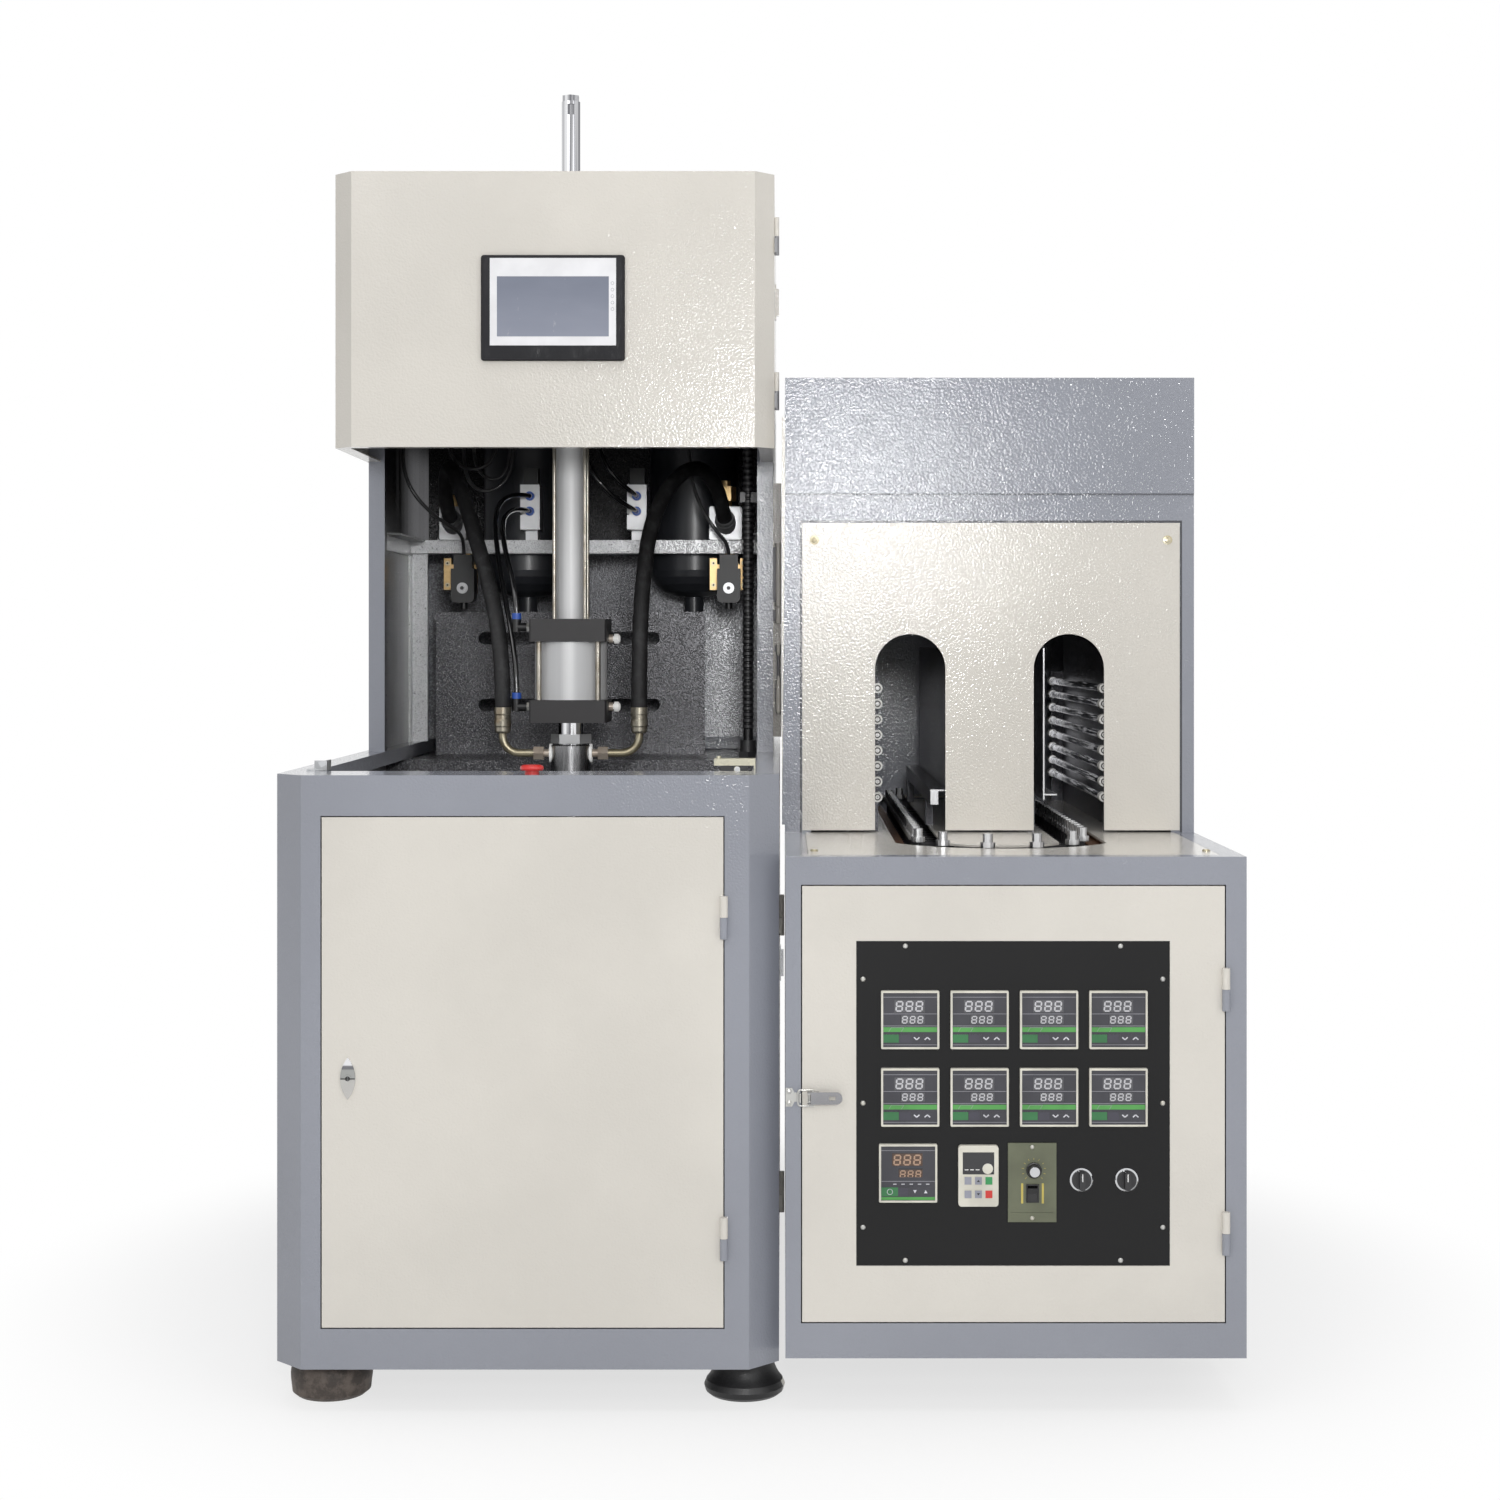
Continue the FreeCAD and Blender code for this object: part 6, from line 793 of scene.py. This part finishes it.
# ---------------------------------------- printed and fitted details
class Relief:
    """Collects thin flat shapes that face -Y into one piece. Sizes in mm."""

    def __init__(self, name, paint, body, slot):
        self.name, self.paint, self.body, self.slot = name, paint, body, slot
        self.verts, self.faces = [], []

    def shape(self, outline, y, thick=0.25):
        """A closed outline of (x, z) points, standing off the face at y by thick."""
        base, count = len(self.verts), len(outline)
        for depth in (y - thick, y):
            self.verts += [(x, depth, z) for x, z in outline]
        self.faces.append(list(range(base, base + count)))
        for k in range(count):
            j = (k + 1) % count
            self.faces.append([base + k, base + count + k, base + count + j, base + j])

    def bar(self, x0, x1, z0, z1, y, thick=0.25):
        self.shape([(x0, z0), (x1, z0), (x1, z1), (x0, z1)], y, thick)

    def disc(self, x, z, radius, y, thick=0.25, sides=32):
        self.shape([(x + radius * math.cos(2 * math.pi * k / sides),
                     z + radius * math.sin(2 * math.pi * k / sides)) for k in range(sides)], y, thick)

    def ring(self, x, z, outer, inner, y, thick=0.25, steps=40):
        for k in range(steps):
            a = math.radians(360.0 * k / steps)
            b = math.radians(360.0 * (k + 1) / steps)
            self.shape([(x + inner * math.cos(a), z + inner * math.sin(a)),
                        (x + outer * math.cos(a), z + outer * math.sin(a)),
                        (x + outer * math.cos(b), z + outer * math.sin(b)),
                        (x + inner * math.cos(b), z + inner * math.sin(b))], y, thick)

    def stroke(self, points, width, y, thick=0.25):
        for (x0, z0), (x1, z1) in zip(points, points[1:]):
            length = math.hypot(x1 - x0, z1 - z0)
            nx, nz = (z1 - z0) / length * width / 2, -(x1 - x0) / length * width / 2
            self.shape([(x0 - nx, z0 - nz), (x0 + nx, z0 + nz), (x1 + nx, z1 + nz),
                        (x1 - nx, z1 - nz)], y, thick)

    def done(self):
        obj = add_mesh(self.name, [metres(v) for v in self.verts], self.faces)
        mesh = obj.data
        build = bmesh.new()
        build.from_mesh(mesh)
        bmesh.ops.recalc_face_normals(build, faces=build.faces)
        for face in build.faces:
            if face.normal.y > 0.9:
                face.normal_flip()
        build.to_mesh(mesh)
        build.free()
        mesh.materials.append(self.paint.material)
        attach(obj, self.body)


def print_on(name, paint, slot="cream_plastic", body="heater_door"):
    return Relief(name, paint, body, slot)


def finish_all(*pieces):
    for piece in pieces:
        piece.done()


SEGMENTS = {"a": ((0, 1), (1, 1)), "b": ((1, 1), (1, 0.5)), "c": ((1, 0.5), (1, 0)),
            "d": ((0, 0), (1, 0)), "e": ((0, 0.5), (0, 0)), "f": ((0, 1), (0, 0.5)),
            "g": ((0, 0.5), (1, 0.5))}
LEAN = 0.10


def seven(relief, x, z, width, height, stroke, y, thick):
    """One eight of a segment display, leaning to the right."""
    for (u0, v0), (u1, v1) in SEGMENTS.values():
        gap = 0.16 * stroke
        p = [x + u0 * width + LEAN * v0 * height, z + v0 * height]
        q = [x + u1 * width + LEAN * v1 * height, z + v1 * height]
        length = math.hypot(q[0] - p[0], q[1] - p[1])
        du, dv = (q[0] - p[0]) / length, (q[1] - p[1]) / length
        tip = stroke / 2
        a = (p[0] + du * gap, p[1] + dv * gap)
        b = (q[0] - du * gap, q[1] - dv * gap)
        relief.shape([a, (a[0] + du * tip - dv * tip, a[1] + dv * tip + du * tip),
                      (b[0] - du * tip - dv * tip, b[1] - dv * tip + du * tip), b,
                      (b[0] - du * tip + dv * tip, b[1] - dv * tip - du * tip),
                      (a[0] + du * tip + dv * tip, a[1] + dv * tip - du * tip)], y, thick)


FACE_Y = FRONT - 2.8
WINDOW_Y = FRONT - 1.8
KEY_Y = FRONT - 3.3


def make_instruments():
    glass = print_on("display_glass", plastic("lit_window", (0.115, 0.115, 0.125), 0.25),
                     "black_plastic")
    amber_glass = print_on("amber_glass", plastic("amber_window", (0.10, 0.062, 0.045), 0.25),
                           "black_plastic")
    digits = print_on("display_digits", glow("segment_grey", (0.46, 0.46, 0.48), 0.18))
    amber = print_on("amber_digits", glow("segment_amber", (0.40, 0.26, 0.18), 0.1))
    band = print_on("green_bands", plastic("green_band", (0.085, 0.33, 0.075), 0.4))
    keys = print_on("green_keys", plastic("green_key", (0.035, 0.17, 0.06), 0.36))
    dark = print_on("dark_keys", plastic("violet_key", (0.052, 0.050, 0.068), 0.36), "black_plastic")
    marks = print_on("key_marks", plastic("key_print", (0.62, 0.62, 0.66), 0.45))
    rules = print_on("face_rules", plastic("face_rule", (0.30, 0.30, 0.33), 0.45))
    for x, z in METERS + [INDICATOR]:
        is_meter = (x, z) != INDICATOR
        pane, figures = (glass, digits) if is_meter else (amber_glass, amber)
        low = 0.0 if is_meter else -1.4
        big_z, small_z, lit_y = z + low / 3, z + low, WINDOW_Y - 0.2
        pane.bar(x - 19.7, x + 18.2, big_z + 9.2, big_z + 24.8, WINDOW_Y, 0.2)
        pane.bar(x - 11.4, x + 18.2, small_z - 5.2, small_z + 5.8, WINDOW_Y, 0.2)
        for k in range(3):
            seven(figures, x - 17.6 + k * 12.3, big_z + 11.0, 7.4, 11.6, 1.9, lit_y, 0.1)
            seven(figures, x - 9.8 + k * 9.6, small_z - 4.0, 5.6, 8.2, 1.4, lit_y, 0.1)
        lines = (28.2, 7.5, -7.4, -30.8) if is_meter else (28.2, -9.9)
        for at in lines:
            rules.bar(x - 33.3, x + 33.3, z + at - 0.3, z + at + 0.3, FACE_Y, 0.15)
        if is_meter:
            band.bar(x - 33.3, x + 33.3, z - 14.9, z - 9.0, FACE_Y, 0.2)
            rules.stroke([(x - 26.5, z - 14.6), (x - 23.4, z - 9.4), (x - 8.0, z - 9.4),
                          (x - 11.1, z - 14.6)], 0.45, FACE_Y - 0.2, 0.1)
            keys.bar(x - 33.3, x - 14.2, z - 27.9, z - 18.0, KEY_Y, 0.25)
            for at, end, tip in ((x + 8.0, 21.4, 24.4), (x + 21.2, 24.4, 21.4)):
                marks.stroke([(at - 3.4, z - end), (at, z - tip), (at + 3.4, z - end)], 1.5, KEY_Y)
        else:
            for k in range(5):
                marks.bar(x - 18.6 + k * 10.2, x - 14.4 + k * 10.2, z - 13.9, z - 12.9, FACE_Y, 0.12)
            band.bar(x - 33.3, x + 33.3, z - 33.0, z - 29.4, FACE_Y, 0.2)
            keys.bar(x - 33.3, x - 12.6, z - 28.3, z - 17.3, KEY_Y, 0.25)
            marks.ring(x - 22.6, z - 22.8, 3.6, 3.0, KEY_Y - 0.25, 0.1)
            for at, end, tip in ((x + 8.4, 20.6, 24.6), (x + 21.8, 24.6, 20.6)):
                marks.shape([(at - 2.2, z - end), (at + 2.2, z - end), (at, z - tip)], KEY_Y)
        dark.bar(x - 13.4, x + 0.4, z - 27.9, z - 18.0, KEY_Y, 0.12)
    finish_all(glass, amber_glass, digits, amber, band, keys, dark, marks, rules)


KEYPAD = (PANEL_X - 43.3, PANEL_Z - 89.0)


def make_keypad():
    x, z = KEYPAD
    front = PANEL_FACE - 7.0
    key_top = front - 1.2
    screen = print_on("keypad_screen", window_dark, "black_plastic")
    screen.bar(x - 19.5, x + 19.5, z + 2.0, z + 29.5, front + 1.0, 0.3)
    pale = print_on("keypad_keys", plastic("grey_key", (0.30, 0.31, 0.37), 0.4))
    for dz in (-5.5, -22.3):
        for dx in (-13.0, -0.2):
            pale.bar(x + dx - 4.3, x + dx + 4.3, z + dz - 4.7, z + dz + 4.7, key_top)
    run = print_on("keypad_run_key", plastic("green_push", (0.04, 0.30, 0.10), 0.36))
    run.bar(x + 8.5, x + 17.1, z - 10.2, z - 0.8, key_top)
    halt = print_on("keypad_stop_key", plastic("red_push", (0.62, 0.045, 0.035), 0.36), "red_plastic")
    halt.bar(x + 8.5, x + 17.1, z - 27.0, z - 17.6, key_top)
    marks = print_on("keypad_marks", white)
    marks.ring(x + 11.5, z + 9.0, 6.5, 5.9, front + 0.7, 0.2)
    for dx in (-17.0, -10.2, -3.4):
        marks.bar(x + dx, x + dx + 4.6, z + 7.2, z + 8.2, front + 0.7, 0.1)
    arrows = print_on("keypad_arrows", black, "black_plastic")
    arrows.shape([(x - 2.2, z - 7.0), (x + 1.8, z - 7.0), (x - 0.2, z - 4.2)], key_top - 0.25, 0.1)
    arrows.shape([(x - 2.2, z - 20.8), (x - 0.2, z - 23.6), (x + 1.8, z - 20.8)], key_top - 0.25, 0.1)
    finish_all(screen, pale, run, halt, marks, arrows)


SPEED = (PANEL_X + 23.7, PANEL_Z - 98.0)
KNOB_DEPTH = 12.9             # of the speed knob's face, out of its plate


def make_speed_plate():
    x, z = SPEED
    front = PANEL_FACE - 2.5
    knob_x, knob_z = x + 2.0, z + 15.5
    ticks = print_on("speed_ticks", plastic("yellow_print", (0.52, 0.42, 0.10), 0.5))
    for k in range(11):
        angle = math.radians(225 - 27 * k)
        c, s = math.cos(angle), math.sin(angle)
        ticks.stroke([(knob_x + r * c, knob_z + r * s) for r in (12.6, 15.2)], 0.5, front, 0.1)
    for at in (x - 12.5, x + 13.1):
        ticks.bar(at - 1.3, at + 1.3, z - 25.8, z - 0.9, front, 0.15)
    cap = print_on("speed_knob_cap", chrome, "bright_chrome", "speed_knob")
    cap.disc(knob_x, knob_z, 6.0, front - KNOB_DEPTH)
    finish_all(ticks, cap)


def make_selector_marks():
    z = PANEL_Z - 94.5
    for name, at in (("left_selector", PANEL_X + 84.7), ("right_selector", PANEL_X + 140.7)):
        mark = print_on(name + "_mark", white, body=name)
        mark.bar(at - 1.2, at + 1.2, z - 0.5, z + 9.6, PANEL_FACE - 15.4, 0.3)
        mark.done()


SCREEN_Z = 1420.0
SCREEN_FACE = at_depth(368.0) - 6.0


def make_touch_screen():
    x, z = BX, SCREEN_Z
    film = Paint("screen_margin", (0.014, 0.014, 0.017), 0.14, coat=0.12, Specular_IOR_Level=0.25)
    crease = film.noise(26, 4, 0.6, stretch=(1.4, 1, 0.7))
    film.rough(0.10 + crease.rise(0.4, 0.7) * 0.12)
    film.bump(crease, 0.0016)
    margin = print_on("screen_margin", film, "black_plastic", FRAME_BODY)
    margin.bar(x - 96.5, x + 96.5, z - 70.0, z + 70.0, SCREEN_FACE)
    white_frame = plastic("screen_frame_white", (0.80, 0.80, 0.82), 0.3, vary=0.05)
    plate = print_on("screen_plate", white_frame, body=FRAME_BODY)
    plate.bar(x - 87.5, x + 88.0, z - 52.5, z + 69.0, SCREEN_FACE - 0.25, 0.2)
    lcd = Paint("screen_glass", (0.15, 0.17, 0.20), 0.10, coat=0.4)
    fall = lcd.z.rise(1.35, 1.49)
    streak = lcd.noise(9, 3, stretch=(1, 1, 3))
    crease = lcd.noise(70, 4, 0.7, stretch=(1, 1, 0.35)).rise(0.66, 0.72) * 0.35
    grey_blue = lcd.blend(fall + (streak - 0.5) * 0.6, (0.27, 0.29, 0.36), (0.17, 0.19, 0.25))
    lcd.color(lcd.blend(crease, grey_blue, (0.6, 0.62, 0.66)))
    screen = print_on("screen_glass", lcd, "black_plastic", FRAME_BODY)
    screen.bar(x - 77.5, x + 78.0, z - 40.0, z + 43.5, SCREEN_FACE - 0.45, 0.15)
    key_ink = plastic("screen_key", (0.30, 0.31, 0.34), 0.35)
    keys = print_on("screen_side_keys", key_ink, "black_plastic", FRAME_BODY)
    for k in range(5):
        keys.ring(x + 83.0, z + 34.0 - k * 9.0, 2.3, 1.8, SCREEN_FACE - 0.45, 0.1, steps=20)
    finish_all(margin, plate, screen, keys)


COIL_XS, COIL_NUT_Z, COIL_NUT_DEPTH = (BX - 205.0, BX + 231.0), 1044.0, 955.0
FLANGE_XS, FLANGE_ZS, FLANGE_DEPTH = (BX - 235.0, BX + 205.0, BX + 255.0), (1050.0, 1086.0), 1002.0
SCREW_HEAD = 0.6
LAMP_XS, LAMP_LOW, LAMP_PITCH, LAMP_DEPTH = (HX - 156.0, HX + 163.0), 737.0, 21.9, 405.0
TABLE_SCREW_XS, TABLE_SCREW_DEPTH = (69.5, 569.0), 82.0
TABLE_SCREW = ((5.2, 689.0), (5.2, 690.2), (3.6, 691.4))     # radius and height, from the table up


def make_sockets():
    sockets = print_on("coil_nut_sockets", black, "black_plastic", FRAME_BODY)
    for x in COIL_XS:
        sockets.disc(x, COIL_NUT_Z, 3.4, at_depth(COIL_NUT_DEPTH), 0.2, 6)
    sockets.done()


def make_valve_screws():
    """Screws of the brass valves' flanges, with their dark sockets."""
    heads = print_on("valve_screws", yellow_zinc, "zinc_steel", FRAME_BODY)
    holes = print_on("valve_screw_sockets", black, "black_plastic", FRAME_BODY)
    for x in FLANGE_XS:
        for z in FLANGE_ZS:
            heads.disc(x, z, 3.9, at_depth(FLANGE_DEPTH), SCREW_HEAD, 20)
            holes.disc(x, z, 1.8, at_depth(FLANGE_DEPTH) - SCREW_HEAD, 0.1, 6)
    finish_all(heads, holes)


def make_lamp_ends():
    """Dark seats with a bright contact pin in the lamps' front ends."""
    seats = print_on("lamp_end_seats", satin_black, "black_plastic", FRAME_BODY)
    pins = print_on("lamp_end_pins", bright_steel, "plain_steel", FRAME_BODY)
    for x in LAMP_XS:
        for k in range(8):
            z = LAMP_LOW + LAMP_PITCH * k
            seats.ring(x, z, 4.6, 3.0, at_depth(LAMP_DEPTH), 0.15, steps=16)
            pins.disc(x, z, 1.4, at_depth(LAMP_DEPTH), 0.3, 12)
    finish_all(seats, pins)


def make_table_screws():
    """Two brass screws with rounded heads in the heater's table plate."""
    verts, faces, sides = [], [], 20
    for x in TABLE_SCREW_XS:
        base = len(verts)
        for radius, z in TABLE_SCREW:
            for k in range(sides):
                angle = 2 * math.pi * k / sides
                verts.append(metres((x + radius * math.cos(angle),
                                     at_depth(TABLE_SCREW_DEPTH) + radius * math.sin(angle), z)))
        for row in (base, base + sides):
            for k in range(sides):
                a, b = row + k, row + (k + 1) % sides
                faces.append([a, b, b + sides, a + sides])
        faces.append([base + 2 * sides + k for k in range(sides)])
        faces.append([base + sides - 1 - k for k in range(sides)])
    obj = add_mesh("table_screws", verts, faces)
    obj.data.materials.append(yellow_zinc.material)
    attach(obj, FRAME_BODY)


make_sockets()
make_valve_screws()
make_lamp_ends()
make_table_screws()
make_instruments()
make_keypad()
make_speed_plate()
make_selector_marks()
make_touch_screen()


# ---------------------------------------- light and stage
LIGHTS = {                    # place, aim, size and power, in metres and watts
    "flash": ((0.18, -3.66, 1.36), (0, 0, 0.95), (0.40, 0.40), 30),
    "key": ((-1.7, -3.4, 2.8), (0, 0, 0.9), (1.8, 1.4), 19),
    "fill": ((2.3, -3.0, 1.9), (0.1, 0, 0.8), (1.8, 1.6), 14),
    "top": ((0, -0.6, 3.6), (0, 0.1, 0.8), (2.6, 2.0), 42)}
SKY_LEVEL = 0.36              # of the world, where it lights the object
FLOOR_HALF = 14.0
FLOOR_GLOW = 0.71             # share of plain white in the floor near the object
FLOOR_NEAR, FLOOR_FAR = 0.72, 1.2     # from the middle: between them the glow grows to full


def area_light(name, place, aim, size, power):
    data = bpy.data.lights.new(name, "AREA")
    data.shape = "RECTANGLE"
    data.size, data.size_y = size
    data.energy = power
    lamp = add_object(name, data)
    lamp.location = place
    lamp.rotation_euler = (Vector(aim) - Vector(place)).to_track_quat("-Z", "Y").to_euler()


def direct_rays(tree):
    """1 for rays from the camera and those mirrored or refracted on their way."""
    path = tree.nodes.new("ShaderNodeLightPath")
    seen = path.outputs["Is Camera Ray"]
    for kind in ("Is Glossy Ray", "Is Transmission Ray"):
        either = tree.nodes.new("ShaderNodeMath")
        either.operation = "MAXIMUM"
        tree.links.new(seen, either.inputs[0])
        tree.links.new(path.outputs[kind], either.inputs[1])
        seen = either.outputs[0]
    return seen


def make_sky():
    """White to the camera, dimmer where it lights the object."""
    world = bpy.data.worlds.new("studio")
    bpy.context.scene.world = world
    world.use_nodes = True
    tree = world.node_tree
    sky = tree.nodes["Background"]
    level = tree.nodes.new("ShaderNodeMapRange")
    level.inputs["To Min"].default_value = SKY_LEVEL
    level.inputs["To Max"].default_value = 1.0
    tree.links.new(direct_rays(tree), level.inputs["Value"])
    tree.links.new(level.outputs[0], sky.inputs["Strength"])
    sky.inputs["Color"].default_value = (1, 1, 1, 1)


def make_floor():
    """Pale floor that takes the shadow near the object and turns plain white farther out."""
    far = FLOOR_HALF
    floor = add_mesh("floor", [(-far, -far, 0), (far, -far, 0), (far, far, 0), (-far, far, 0)],
                     [(0, 1, 2, 3)])
    paint = Paint("studio_floor", (0.90, 0.90, 0.90), 0.6)
    away = paint.node("ShaderNodeVectorMath", {"operation": "LENGTH"}, {0: paint.place}, "Value")
    share = paint.node("ShaderNodeMapRange", {"interpolation_type": "SMOOTHSTEP"},
                       {"Value": away, "From Min": FLOOR_NEAR, "From Max": FLOOR_FAR,
                        "To Min": FLOOR_GLOW})
    lit = paint.node("ShaderNodeEmission", {}, {})
    mix = paint.node("ShaderNodeMixShader", {}, {0: share * Wave(paint, direct_rays(paint.tree)),
                                                 1: paint.shader.outputs[0], 2: lit})
    paint.set(paint.tree.nodes["Material Output"].inputs["Surface"], mix)
    floor.data.materials.append(paint.material)


make_sky()
make_floor()
for name, settings in LIGHTS.items():
    area_light(name, *settings)
bpy.context.scene.view_settings.view_transform = "Standard"
